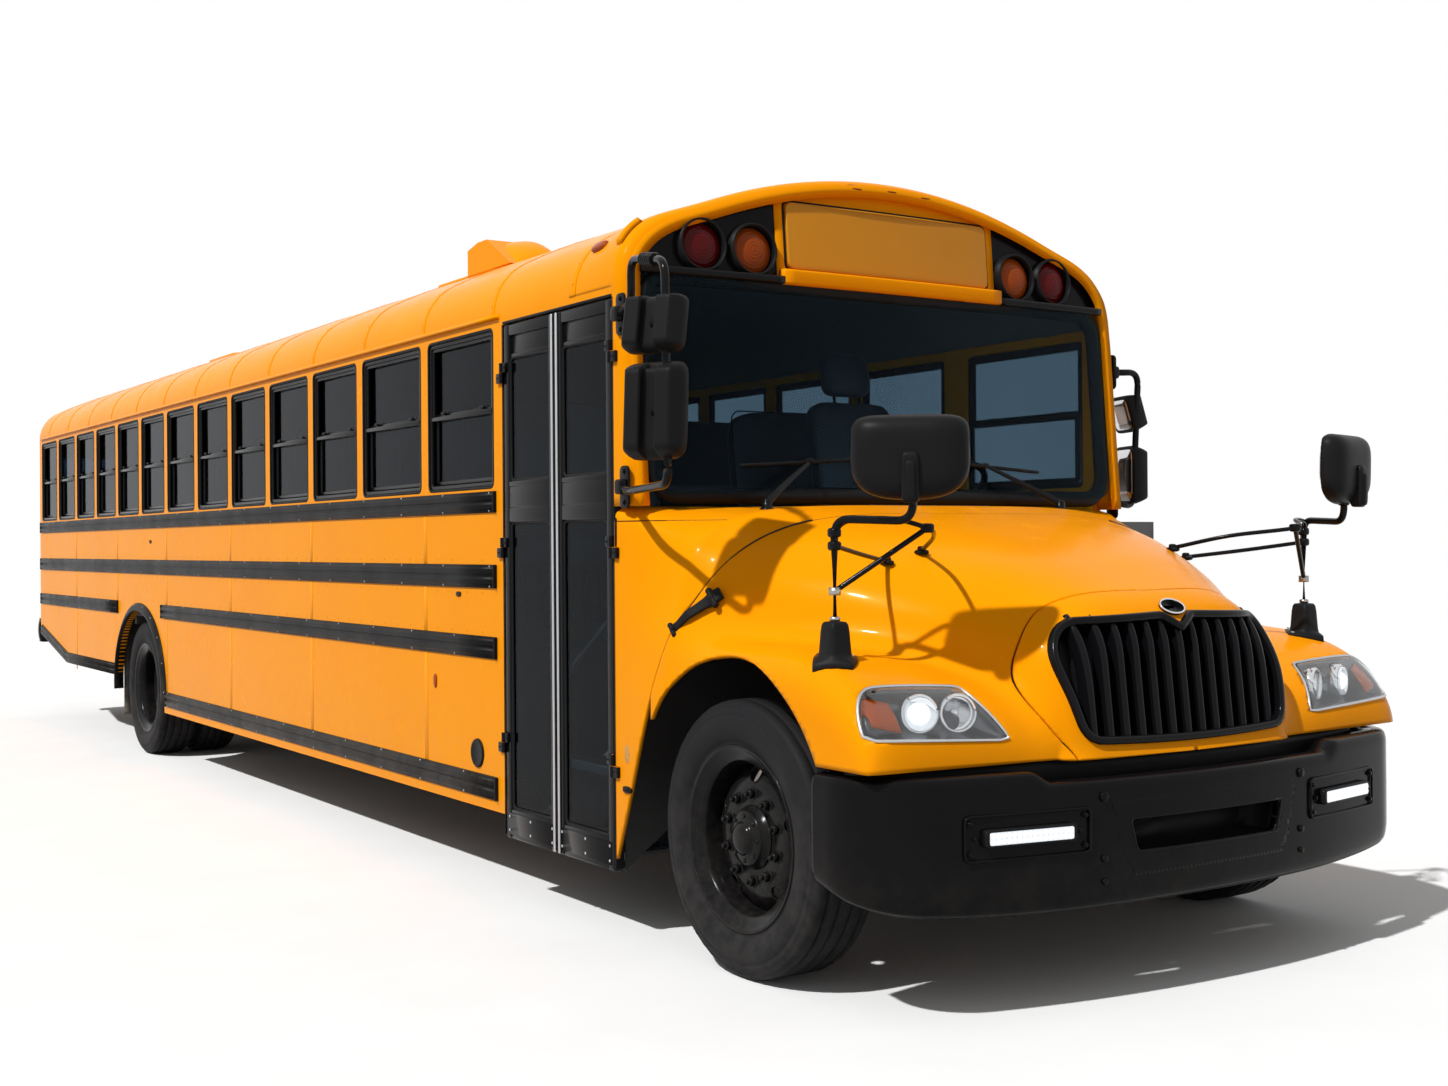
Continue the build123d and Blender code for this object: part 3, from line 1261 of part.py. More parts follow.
# Stop arm folded against the left wall, a blank octagon on a hinge bracket
stop_hinge_x = front_axle_x - 1760
stop_hinge_y = half_width + rail_depth + 22
stop_size = 457
stop_z = 1440
with BuildPart() as stop_arm:
    with BuildSketch(Plane.XZ.offset(-stop_hinge_y - 3)):
        with Locations((stop_hinge_x - 40 - stop_size / 2, stop_z)):
            RegularPolygon(stop_size / 2, 8, major_radius=False, rotation=22.5)
        with Locations((stop_hinge_x - 42, stop_z)):
            Rectangle(96, 120)
    extrude(amount=6)
    for z in (stop_z - 45, stop_z + 45):
        post(stop_hinge_x, stop_hinge_y, (z - 15, z + 15), 12)
finish(stop_arm, "stop_arm")

with BuildPart() as stop_bracket:
    block((stop_hinge_x + 18, stop_hinge_x + 60), (half_width, stop_hinge_y + 10), (stop_z - 90, stop_z + 90))
    for low, high in ((stop_z - 90, stop_z - 60 - running_gap), (stop_z + 60 + running_gap, stop_z + 90)):
        post(stop_hinge_x, stop_hinge_y, (low, high), 12)
        block((stop_hinge_x, stop_hinge_x + 20), (stop_hinge_y - 10, stop_hinge_y + 10), (low, high))
    add(rub_rails.part, mode=Mode.SUBTRACT)
finish(stop_bracket, "stop_bracket")

# Steering knuckles: fork round the axle eye, kingpin and spindle
front_wheel_y = front_tyre_face - tyre_width / 2
spindle_end_y = front_wheel_y + 60
for side, label in ((-1, "knuckle_right"), (1, "knuckle_left")):
    with BuildPart() as knuckle:
        for low, high in ((beam_z - 78, beam_z - 40 - running_gap), (beam_z + 70 + running_gap, beam_z + 105)):
            post(front_axle_x, side * kingpin_y, (low, high), 55)
            block((front_axle_x - 45, front_axle_x + 45), (side * kingpin_y, side * (kingpin_y + 95)), (low, high))
        block((front_axle_x - 55, front_axle_x + 55), (side * (kingpin_y + 66), side * (kingpin_y + 98)),
              (beam_z - 78, beam_z + 105))
        post(front_axle_x, side * kingpin_y, (beam_z - 78, beam_z + 105), kingpin_radius)
        rod(front_axle_x, (side * (kingpin_y + 90), side * spindle_end_y), tyre_radius, spindle_radius)
    finish(knuckle, label)

# Tyres: round shoulders, side walls that fall in to the bead
bead_half = 98
bead_seat = 78


def tyre_ring(x, face_y, side):
    # the tyre's outer side wall lies at face_y
    middle = abs(face_y) - tyre_width / 2
    half = tyre_width / 2
    with BuildPart() as ring:
        with BuildSketch(Plane.XY):
            with BuildLine():
                Polyline((bead_radius, -bead_half), (bead_radius, bead_half))
                ThreePointArc((bead_radius, bead_half), ((bead_radius + tyre_radius) / 2 + 10, half),
                              (tyre_radius - tyre_shoulder, half - 12))
                ThreePointArc((tyre_radius - tyre_shoulder, half - 12),
                              (tyre_radius - 9, half - 26), (tyre_radius, half - 44))
                Line((tyre_radius, half - 44), (tyre_radius, 44 - half))
                ThreePointArc((tyre_radius, 44 - half), (tyre_radius - 9, 26 - half),
                              (tyre_radius - tyre_shoulder, 12 - half))
                ThreePointArc((tyre_radius - tyre_shoulder, 12 - half),
                              ((bead_radius + tyre_radius) / 2 + 10, -half), (bead_radius, -bead_half))
            make_face()
        revolve(axis=Axis.Y)
    return Pos(x, side * middle, tyre_radius) * ring.part


# Wheels: rim barrel, dished disc with hand holes, hub
hand_holes = 5
disc_thickness = 12
flange_height = 10
dish_depth = 62


def wheel_disc(x, middle_y, side, dish, hub_bore, hub_span, hub_cap):
    # dish is how far the bolting face stands outside the tyre's middle; below zero it stands inside
    rim_out = bead_half + flange_height + 8
    way = 1 if dish > 0 else -1
    edge = dish - way * dish_depth
    with BuildPart() as wheel:
        with BuildSketch(Plane.XY):
            with BuildLine():
                Polyline((bead_radius - running_gap, -bead_seat), (bead_radius - running_gap, -rim_out + 8),
                         (bead_radius + flange_height, -rim_out + 8),
                         (bead_radius + flange_height, -rim_out), (bead_radius - 12, -rim_out),
                         (bead_radius - 30, -50), (bead_radius - 30, 50), (bead_radius - 12, rim_out),
                         (bead_radius + flange_height, rim_out), (bead_radius + flange_height, rim_out - 8),
                         (bead_radius - running_gap, rim_out - 8), (bead_radius - running_gap, bead_seat),
                         (bead_radius - 18, 46), (bead_radius - 18, -46),
                         close=True)
            make_face()
            with BuildLine():
                Polyline((hub_radius - 20, dish), (165, dish), (228, edge + way * 20), (bead_radius - 24, edge),
                         (bead_radius - 24, edge - way * disc_thickness),
                         (220, edge + way * (20 - disc_thickness)), (158, dish - way * disc_thickness),
                         (hub_radius - 20, dish - way * disc_thickness), close=True)
            make_face()
        revolve(axis=Axis.Y)
        with Locations(Location((0, edge + way * 20, 0), (90, 0, 0))):
            with PolarLocations(204, hand_holes):
                Cylinder(30, 120, mode=Mode.SUBTRACT)
        rod(0, hub_span, 0, hub_radius - 12)
        rod(0, (hub_span[0] - 1, hub_span[1] - hub_cap), 0, hub_bore, mode=Mode.SUBTRACT)
    turned = wheel.part if side > 0 else mirror(wheel.part, about=Plane.XZ, mode=Mode.PRIVATE)
    return Pos(x, side * middle_y, tyre_radius) * turned


dual_middle_y = rear_tyre_face - tyre_width / 2
inner_face = rear_tyre_face - tyre_width - dual_gap
inner_middle_y = inner_face - tyre_width / 2
dual_dish = (tyre_width + dual_gap) / 2
front_dish = 70
for side, hand in ((-1, "right"), (1, "left")):
    tyre = tyre_ring(front_axle_x, side * front_tyre_face, side)
    tyre.label = "tyre_front_" + hand
    export_step(tyre, "parts/tyre_front_" + hand + ".step")
    rim = wheel_disc(front_axle_x, front_wheel_y, side, front_dish, spindle_radius + running_gap,
                     (-64, front_dish + 62), 24)
    rim.label = "wheel_front_" + hand
    export_step(rim, "parts/wheel_front_" + hand + ".step")
    with BuildPart() as rear_tyres:
        for face_y in (rear_tyre_face, inner_face):
            add(tyre_ring(rear_axle_x, side * face_y, side))
    finish(rear_tyres, "tyres_rear_" + hand)
    with BuildPart() as rear_rims:
        add(wheel_disc(rear_axle_x, dual_middle_y, side, -dual_dish, rear_hub_bore, (-dual_dish, 20), 24))
        add(wheel_disc(rear_axle_x, inner_middle_y, side, dual_dish, rear_hub_bore, (40, dual_dish), -1))
    finish(rear_rims, "wheels_rear_" + hand)
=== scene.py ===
import json
import math
import bmesh
import bpy
import numpy as np
from mathutils import Matrix

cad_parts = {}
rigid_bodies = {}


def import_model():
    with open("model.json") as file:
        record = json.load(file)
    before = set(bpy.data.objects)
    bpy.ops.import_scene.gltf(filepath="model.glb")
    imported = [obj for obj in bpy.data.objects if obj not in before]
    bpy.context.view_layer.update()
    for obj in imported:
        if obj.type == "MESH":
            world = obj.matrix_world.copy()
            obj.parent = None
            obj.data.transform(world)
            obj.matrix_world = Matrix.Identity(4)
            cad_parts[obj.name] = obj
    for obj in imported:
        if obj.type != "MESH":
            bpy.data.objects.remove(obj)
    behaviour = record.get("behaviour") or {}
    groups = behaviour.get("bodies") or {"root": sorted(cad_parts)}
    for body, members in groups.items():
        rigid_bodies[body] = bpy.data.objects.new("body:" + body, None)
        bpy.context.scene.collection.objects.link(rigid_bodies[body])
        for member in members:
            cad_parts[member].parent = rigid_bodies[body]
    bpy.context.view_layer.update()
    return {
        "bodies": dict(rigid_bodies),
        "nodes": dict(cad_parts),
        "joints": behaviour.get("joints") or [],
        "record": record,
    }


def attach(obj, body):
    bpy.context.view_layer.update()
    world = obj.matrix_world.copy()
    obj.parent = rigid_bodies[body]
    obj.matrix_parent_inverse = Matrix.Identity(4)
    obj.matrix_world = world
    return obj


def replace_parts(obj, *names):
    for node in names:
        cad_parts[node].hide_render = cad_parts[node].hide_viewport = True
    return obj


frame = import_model()
nodes = frame["nodes"]
frontAxle = 4.920
rearAxle = -2.380
axleHeight = 0.452
halfWidth = 1.219
print("frame loaded")


# each finish is a Principled shader fed by noise in Object coordinates

def newMaterial(name):
    material = bpy.data.materials.new(name)
    material.use_nodes = True
    tree = material.node_tree
    return material, tree, tree.nodes["Principled BSDF"]


def addNode(tree, kind, **values):
    node = tree.nodes.new(kind)
    for key, value in values.items():
        if key in node.inputs:
            node.inputs[key].default_value = value
        else:
            setattr(node, key, value)
    return node


def objectVector(tree):
    return addNode(tree, "ShaderNodeTexCoord").outputs["Object"]


def noiseOf(tree, vector, scale, detail=3.0, rough=0.55):
    # noise of the given scale per metre, about 0.3 to 0.7
    noise = addNode(tree, "ShaderNodeTexNoise", Scale=scale, Detail=detail, Roughness=rough)
    tree.links.new(vector, noise.inputs["Vector"])
    return noise.outputs["Fac"]


def rangeOf(tree, value, low, high, toLow, toHigh, smooth=False):
    # low..high carried to toLow..toHigh and held there outside
    remap = addNode(tree, "ShaderNodeMapRange")
    if smooth:
        remap.interpolation_type = "SMOOTHSTEP"
    remap.inputs["From Min"].default_value = low
    remap.inputs["From Max"].default_value = high
    remap.inputs["To Min"].default_value = toLow
    remap.inputs["To Max"].default_value = toHigh
    tree.links.new(value, remap.inputs["Value"])
    return remap.outputs["Result"]


def mathOf(tree, operation, first, second):
    node = addNode(tree, "ShaderNodeMath", operation=operation)
    for index, value in enumerate((first, second)):
        if isinstance(value, (int, float)):
            node.inputs[index].default_value = value
        else:
            tree.links.new(value, node.inputs[index])
    return node.outputs["Value"]


def mixOf(tree, factor, first, second):
    # first * (1 - factor) + second * factor, each a colour or a socket
    mix = addNode(tree, "ShaderNodeMix", data_type="RGBA")
    tree.links.new(factor, mix.inputs["Factor"])
    for socket, value in ((mix.inputs[6], first), (mix.inputs[7], second)):
        if isinstance(value, tuple):
            socket.default_value = (*value, 1)
        else:
            tree.links.new(value, socket)
    return mix.outputs[2]


def bumpOf(tree, height, strength, distance, normal=None):
    bump = addNode(tree, "ShaderNodeBump", Strength=strength, Distance=distance)
    tree.links.new(height, bump.inputs["Height"])
    if normal is not None:
        tree.links.new(normal, bump.inputs["Normal"])
    return bump.outputs["Normal"]


def finishMaterial(name, settings):
    # colour = base, mottled by a broad noise and dusted towards the ground; roughness and relief from finer noises
    material, tree, shader = newMaterial(name)
    vector = objectVector(tree)
    mottle = rangeOf(tree, noiseOf(tree, vector, settings.get("mottleScale", 1.3), 4), 0.3, 0.7, 0, 1)
    colour = mixOf(tree, mottle, settings["colour"], settings.get("shade", settings["colour"]))
    if settings.get("dust"):
        split = addNode(tree, "ShaderNodeSeparateXYZ")
        tree.links.new(vector, split.inputs["Vector"])
        low = rangeOf(tree, split.outputs["Z"], settings.get("dustTop", 1.0), 0.25, 0, 1, smooth=True)
        patches = rangeOf(tree, noiseOf(tree, vector, settings.get("dustScale", 9), 6, 0.65), 0.35, 0.75, 0, 1)
        amount = mathOf(tree, "MULTIPLY", mathOf(tree, "MULTIPLY", low, patches), settings["dust"])
        colour = mixOf(tree, amount, colour, settings.get("dustColour", (0.30, 0.25, 0.19)))
    tree.links.new(colour, shader.inputs["Base Color"])
    rough = settings["rough"]
    spread = settings.get("roughSpread", 0.06)
    smear = noiseOf(tree, vector, settings.get("smearScale", 7), 5)
    tree.links.new(rangeOf(tree, smear, 0.3, 0.7, rough - spread, rough + spread), shader.inputs["Roughness"])
    normal = None
    if settings.get("wave"):
        normal = bumpOf(tree, noiseOf(tree, vector, 2.2, 1), settings["wave"], 0.02)
    if settings.get("grain"):
        fine = noiseOf(tree, vector, settings.get("grainScale", 350), 2)
        normal = bumpOf(tree, fine, settings["grain"], settings.get("grainDepth", 0.001), normal)
    if normal is not None:
        tree.links.new(normal, shader.inputs["Normal"])
    shader.inputs["Metallic"].default_value = settings.get("metal", 0.0)
    shader.inputs["Specular IOR Level"].default_value = settings.get("specular", 0.5)
    shader.inputs["Coat Weight"].default_value = settings.get("coat", 0.0)
    shader.inputs["Coat Roughness"].default_value = settings.get("coatRough", 0.08)
    shader.inputs["Transmission Weight"].default_value = settings.get("clear", 0.0)
    shader.inputs["IOR"].default_value = settings.get("ior", 1.45)
    shader.inputs["Specular Tint"].default_value = (*settings.get("tint", (1.0, 1.0, 1.0)), 1)
    if settings.get("glow"):
        shader.inputs["Emission Color"].default_value = (*settings["glowColour"], 1)
        shader.inputs["Emission Strength"].default_value = settings["glow"]
    return material


finishes = {
    "busYellow": dict(colour=(0.93, 0.318, 0.001), shade=(0.90, 0.300, 0.001), rough=0.24, roughSpread=0.05,
                      specular=0.03, coat=0.02, coatRough=0.05, tint=(1.0, 0.62, 0.16), wave=0.05, grain=0.02,
                      dust=0.14, dustTop=0.9),
    # sign board: a duller yellow paint, darkened further by painted shade of its recess under the rim
    "signYellowAndShade": dict(colour=(0.66, 0.270, 0.012), shade=(0.60, 0.240, 0.010), rough=0.42, specular=0.25, grain=0.05),
    "railBlack": dict(colour=(0.007, 0.007, 0.008), shade=(0.012, 0.012, 0.012), rough=0.38, grain=0.10,
                      dust=0.12, dustTop=1.2, specular=0.06),
    "bumperBlack": dict(colour=(0.004, 0.004, 0.005), shade=(0.007, 0.006, 0.006), rough=0.17, roughSpread=0.05,
                        wave=0.14, grain=0.03, dust=0.05, dustTop=0.6, specular=0.08),
    "glossBlack": dict(colour=(0.004, 0.004, 0.005), shade=(0.006, 0.006, 0.007), rough=0.16, roughSpread=0.04,
                       grain=0.02, specular=0.12),
    "mouldedBlack": dict(colour=(0.008, 0.008, 0.009), shade=(0.013, 0.013, 0.013), rough=0.42, grain=0.25,
                         grainScale=900, grainDepth=0.0006, specular=0.08),
    "sealRubber": dict(colour=(0.007, 0.007, 0.008), shade=(0.012, 0.012, 0.012), rough=0.50, grain=0.15,
                       specular=0.10),
    "tyreRubber": dict(colour=(0.010, 0.010, 0.012), shade=(0.017, 0.017, 0.018), rough=0.60, grain=0.35,
                       grainScale=500, dust=0.35, dustTop=0.95, dustScale=14, dustColour=(0.09, 0.08, 0.07),
                       specular=0.08),
    "flapRubber": dict(colour=(0.022, 0.022, 0.022), shade=(0.034, 0.032, 0.030), rough=0.6, grain=0.3, dust=0.7,
                       dustTop=1.0),
    "wheelBlack": dict(colour=(0.004, 0.004, 0.005), shade=(0.007, 0.007, 0.007), rough=0.20, roughSpread=0.08,
                       grain=0.10, dust=0.22, dustTop=0.9, dustScale=30, dustColour=(0.07, 0.06, 0.05), specular=0.12),
    "chassisBlack": dict(colour=(0.020, 0.020, 0.021), shade=(0.032, 0.029, 0.027), rough=0.52, grain=0.30,
                         dust=0.6, dustTop=1.1, dustColour=(0.13, 0.10, 0.08)),
    "castMetal": dict(colour=(0.085, 0.080, 0.076), shade=(0.055, 0.050, 0.046), rough=0.58, metal=0.7, grain=0.5,
                      grainScale=240, dust=0.6, dustTop=1.2, dustColour=(0.12, 0.09, 0.07)),
    "pipeSteel": dict(colour=(0.34, 0.31, 0.28), shade=(0.24, 0.19, 0.15), rough=0.42, metal=0.9, grain=0.2,
                      dust=0.5, dustTop=0.8, mottleScale=5),
    "zincBolt": dict(colour=(0.42, 0.41, 0.39), shade=(0.30, 0.29, 0.27), rough=0.33, metal=1.0, grain=0.15),
    "grabSteel": dict(colour=(0.62, 0.62, 0.62), shade=(0.52, 0.52, 0.53), rough=0.20, metal=1.0, grain=0.08),
    "sealSilver": dict(colour=(0.55, 0.56, 0.57), shade=(0.46, 0.47, 0.48), rough=0.32, metal=0.9, grain=0.08),
    "chromeTrim": dict(colour=(0.70, 0.70, 0.71), shade=(0.62, 0.62, 0.63), rough=0.08, metal=1.0, grain=0.02),
    "reflector": dict(colour=(0.80, 0.80, 0.81), shade=(0.66, 0.66, 0.68), rough=0.14, metal=1.0, grain=0.04),
    # the blue specular tints of the window and screen glass paint a blue sky's colour into their reflections of the
    # white backdrop
    "windowGlass": dict(colour=(0.11, 0.15, 0.19), shade=(0.09, 0.125, 0.165), rough=0.02, roughSpread=0.015,
                        clear=1.0, ior=1.12, smearScale=3, tint=(0.30, 0.58, 1.0)),
    "screenGlass": dict(colour=(0.42, 0.56, 0.62), shade=(0.38, 0.52, 0.58), rough=0.02, roughSpread=0.015,
                        clear=1.0, ior=1.12, smearScale=3, tint=(0.55, 0.75, 1.0)),
    "lampGlass": dict(colour=(0.93, 0.95, 0.96), shade=(0.90, 0.92, 0.93), rough=0.03, roughSpread=0.02,
                      clear=1.0),
    "redLens": dict(colour=(0.125, 0.002, 0.003), shade=(0.085, 0.002, 0.003), rough=0.14, specular=0.12),
    "amberLens": dict(colour=(0.36, 0.062, 0.002), shade=(0.28, 0.045, 0.002), rough=0.14, specular=0.12),
    "whiteLens": dict(colour=(0.80, 0.80, 0.78), shade=(0.74, 0.74, 0.72), rough=0.16, coat=0.5),
    "smokedChrome": dict(colour=(0.10, 0.105, 0.115), shade=(0.07, 0.075, 0.085), rough=0.22, metal=0.8, grain=0.05),
    "headerBlack": dict(colour=(0.004, 0.004, 0.006), shade=(0.007, 0.007, 0.009), rough=0.2, grain=0.02,
                        specular=0.08),
    "litLamp": dict(colour=(0.95, 0.97, 1.0), shade=(0.9, 0.93, 0.97), rough=0.2, glow=1.1,
                    glowColour=(0.93, 0.97, 1.0)),
    "seatVinyl": dict(colour=(0.030, 0.036, 0.050), shade=(0.040, 0.046, 0.060), rough=0.46, grain=0.18,
                      grainScale=240, grainDepth=0.0006),
    "dashPlastic": dict(colour=(0.045, 0.045, 0.048), shade=(0.060, 0.058, 0.056), rough=0.52, grain=0.35,
                        grainScale=700),
    "floorRubber": dict(colour=(0.030, 0.030, 0.031), shade=(0.045, 0.042, 0.040), rough=0.6, grain=0.3),
    "headLining": dict(colour=(0.16, 0.165, 0.17), shade=(0.13, 0.135, 0.14), rough=0.7, grain=0.2),
    "dimLamp": dict(colour=(0.70, 0.73, 0.76), shade=(0.55, 0.58, 0.62), rough=0.12, metal=0.8, glow=0.30,
                    glowColour=(0.90, 0.95, 1.0)),
    # the blue specular tint paints a blue sky's colour into the door glass's reflections of the white backdrop
    "doorGlass": dict(colour=(0.17, 0.22, 0.26), shade=(0.15, 0.20, 0.24), rough=0.02, roughSpread=0.015,
                      clear=1.0, ior=1.12, smearScale=3, tint=(0.55, 0.75, 1.0)),
    "treadPale": dict(colour=(0.55, 0.60, 0.58), shade=(0.46, 0.50, 0.49), rough=0.42, grain=0.3),
    "stopRed": dict(colour=(0.62, 0.012, 0.014), shade=(0.54, 0.010, 0.012), rough=0.30, coat=0.2, grain=0.05),
    "amberReflector": dict(colour=(0.60, 0.30, 0.06), shade=(0.50, 0.24, 0.05), rough=0.3, metal=0.4, grain=0.4,
                           grainScale=260),
}
paint = {name: finishMaterial(name, settings) for name, settings in finishes.items()}
print("materials made", len(paint))


# helpers that turn numpy grids into pieces

def addMesh(name, points, faces, finish, body="coach"):
    mesh = bpy.data.meshes.new(name)
    mesh.from_pydata(np.asarray(points).tolist(), [], faces.tolist() if hasattr(faces, "tolist") else faces)
    mesh.polygons.foreach_set("use_smooth", np.full(len(mesh.polygons), True))
    mesh.materials.append(paint[finish])
    mesh.update()
    piece = bpy.data.objects.new(name, mesh)
    bpy.context.collection.objects.link(piece)
    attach(piece, body)
    return piece


def gridFaces(rows, columns, wrapRows=False, wrapColumns=False, start=0):
    # quads of a rows x columns grid, numbered row by row
    lastRow = rows if wrapRows else rows - 1
    lastColumn = columns if wrapColumns else columns - 1
    i, j = np.meshgrid(np.arange(lastRow), np.arange(lastColumn), indexing="ij")
    nextRow, nextColumn = (i + 1) % rows, (j + 1) % columns
    quads = joined(i * columns + j, nextRow * columns + j, nextRow * columns + nextColumn, i * columns + nextColumn)
    return quads.reshape(-1, 4) + start


class MeshStore:
    # gathers points and faces of one piece from several grids
    def __init__(self):
        self.points = []
        self.faces = []
        self.count = 0

    def add(self, points, faces):
        points = np.asarray(points, float).reshape(-1, 3)
        self.points.append(points)
        self.faces.extend((np.asarray(faces) + self.count).tolist() if isinstance(faces, np.ndarray)
                          else [[index + self.count for index in face] for face in faces])
        self.count += len(points)

    def piece(self, name, finish, slotName, body="coach"):
        return addMesh(name, np.concatenate(self.points), self.faces, finish, body)

    def tidy(self, name, finish, slotName, body="coach", merge=1e-5):
        return tidyMesh(self.piece(name, finish, slotName, body), merge)

    def sweep(self, path, profile, **settings):
        self.add(*sweepProfile(path, profile, **settings))

    def turned(self, *shape):
        self.add(*lathe(*shape))

    def box(self, *shape):
        self.add(*softBox(*shape))

    def stack(self, rings, **caps):
        self.add(*ringStack(rings, **caps))

    def bolt(self, *shape):
        for head in hexBolt(*shape):
            self.add(*head)

    def rivet(self, place, axis, height, shoulder, edge, radius, segments):
        # a flat head whose side slopes from the shoulder out to its radius
        self.add(*lathe([(0, height), (shoulder, edge), (radius, 0), (0, 0)], place, axis, segments))


def tidyMesh(piece, merge=1e-5):
    # doubled points at poles and seams are merged, then faces are turned outward
    work = bmesh.new()
    work.from_mesh(piece.data)
    bmesh.ops.remove_doubles(work, verts=work.verts, dist=merge)
    bmesh.ops.recalc_face_normals(work, faces=work.faces)
    work.to_mesh(piece.data)
    work.free()
    return piece


def thicken(piece, thickness, offset=-1.0):
    # wall grown from the surface, inward at -1 and outward at 1
    wall = piece.modifiers.new("wall", "SOLIDIFY")
    wall.thickness = thickness
    wall.offset = offset
    return piece


def smoothTable(x, xs, ys):
    # cubic curve through a table: each point's slope is the mean of its two neighbouring runs
    xs, ys = np.asarray(xs, float), np.asarray(ys, float)
    runs = np.diff(ys) / np.diff(xs)
    slopes = np.concatenate([[runs[0]], (runs[1:] + runs[:-1]) / 2, [runs[-1]]])
    x = np.clip(x, xs[0], xs[-1])
    k = np.clip(np.searchsorted(xs, x) - 1, 0, len(xs) - 2)
    h = xs[k + 1] - xs[k]
    t = (x - xs[k]) / h
    return ((2 * t ** 3 - 3 * t ** 2 + 1) * ys[k] + (t ** 3 - 2 * t ** 2 + t) * h * slopes[k]
            + (3 * t ** 2 - 2 * t ** 3) * ys[k + 1] + (t ** 3 - t ** 2) * h * slopes[k + 1])


def smoothMax(a, b, blend):
    # the larger of two values, rounded over where they are within blend of each other
    overlap = np.maximum(blend - np.abs(a - b), 0) / blend
    return np.maximum(a, b) + overlap ** 2 * blend / 4


def smoothMin(a, b, blend):
    return -smoothMax(-np.asarray(a), -np.asarray(b), blend)


def joined(*parts):
    # arrays and single numbers side by side as the last axis
    return np.stack(np.broadcast_arrays(*parts), axis=-1)


def superellipse(value, power):
    # sign(c) * |c| ** (2 / power)
    return np.sign(value) * np.abs(value) ** (2 / power)


def inwardOf(outline):
    # unit tangent of a plane line by central differences, turned a quarter to the right
    tangent = np.gradient(outline, axis=0)
    tangent /= np.linalg.norm(tangent, axis=1, keepdims=True)
    return joined(tangent[:, 1], -tangent[:, 0])


def lengthAlong(path):
    # distance travelled from the path's start to each of its points
    return np.concatenate([[0], np.cumsum(np.linalg.norm(np.diff(path, axis=0), axis=1))])


def densified(outline, steps):
    # every side of a closed outline cut into equal steps
    return np.vstack([np.linspace(a, b, steps, endpoint=False) for a, b in zip(outline, np.roll(outline, -1, axis=0))])


def frameAlong(path, closed=False, up=(0, 0, 1)):
    # tangent by central differences, then side = tangent x up, normal = side x tangent
    path = np.asarray(path, float)
    if closed:
        tangent = np.roll(path, -1, axis=0) - np.roll(path, 1, axis=0)
    else:
        tangent = np.gradient(path, axis=0)
    tangent /= np.linalg.norm(tangent, axis=1, keepdims=True)
    side = np.cross(tangent, np.asarray(up, float))
    weak = np.linalg.norm(side, axis=1) < 1e-3
    side[weak] = np.cross(tangent[weak], np.array([1.0, 0.0, 0.0]))
    side /= np.linalg.norm(side, axis=1, keepdims=True)
    normal = np.cross(side, tangent)
    return side, normal


def smoothPath(points, perSpan=8):
    # Catmull-Rom curve through the points
    points = np.asarray(points, float)
    padded = np.vstack([2 * points[0] - points[1], points, 2 * points[-1] - points[-2]])
    t = np.linspace(0, 1, perSpan, endpoint=False)[None, :, None]
    a, b, c, d = (padded[k:k + len(points) - 1, None, :] for k in range(4))
    curve = 0.5 * (2 * b + (c - a) * t + (2 * a - 5 * b + 4 * c - d) * t ** 2 + (3 * b - a - 3 * c + d) * t ** 3)
    return np.vstack([curve.reshape(-1, 3), points[-1]])


def bentPath(points, radius, steps=6):
    # straight runs joined at each corner by a quadratic bend that starts radius before it
    points = np.asarray(points, float)
    out = [points[0]]
    for before, corner, after in zip(points[:-2], points[1:-1], points[2:]):
        reachIn = min(radius, 0.48 * np.linalg.norm(corner - before))
        reachOut = min(radius, 0.48 * np.linalg.norm(after - corner))
        start = corner + (before - corner) / np.linalg.norm(before - corner) * reachIn
        end = corner + (after - corner) / np.linalg.norm(after - corner) * reachOut
        t = np.linspace(0, 1, steps)[:, None]
        out.extend((1 - t) ** 2 * start + 2 * t * (1 - t) * corner + t ** 2 * end)
    out.append(points[-1])
    return np.array(out)


def sweepProfile(path, profile, closed=False, up=(0, 0, 1), scale=None):
    # every path point carries the closed profile: point = path + a * side + b * normal
    path = np.asarray(path, float)
    side, normal = frameAlong(path, closed, up)
    profile = np.asarray(profile, float)
    size = np.ones(len(path)) if scale is None else np.asarray(scale, float)
    points = (path[:, None, :] + size[:, None, None] * (profile[None, :, 0:1] * side[:, None, :]
                                                        + profile[None, :, 1:2] * normal[:, None, :]))
    rows, columns = len(path), len(profile)
    faces = gridFaces(rows, columns, wrapRows=closed, wrapColumns=True).tolist()
    if not closed:
        faces.append(list(range(columns))[::-1])
        faces.append(list(range((rows - 1) * columns, rows * columns)))
    return points.reshape(-1, 3), faces


def circleProfile(radius, segments=12):
    turn = np.linspace(0, 2 * np.pi, segments, endpoint=False)
    return joined(radius * np.cos(turn), radius * np.sin(turn))


def boxProfile(width, height, corner=0.0, perCorner=3):
    # rectangle whose corners are quarter circles
    if corner <= 0:
        return np.array([[-width, -height], [width, -height], [width, height], [-width, height]]) / 2
    out = []
    for k, (sx, sy) in enumerate(((1, -1), (1, 1), (-1, 1), (-1, -1))):
        turn = np.linspace(-np.pi / 2, 0, perCorner) + k * np.pi / 2
        out.append(joined(sx * (width / 2 - corner) + corner * np.cos(turn),
                          sy * (height / 2 - corner) + corner * np.sin(turn)))
    return np.concatenate(out)


def axisFrame(axis):
    axis = np.asarray(axis, float) / np.linalg.norm(axis)
    helper = np.array([0.0, 0.0, 1.0]) if abs(axis[2]) < 0.9 else np.array([1.0, 0.0, 0.0])
    side = np.cross(helper, axis)
    side /= np.linalg.norm(side)
    return axis, side, np.cross(axis, side)


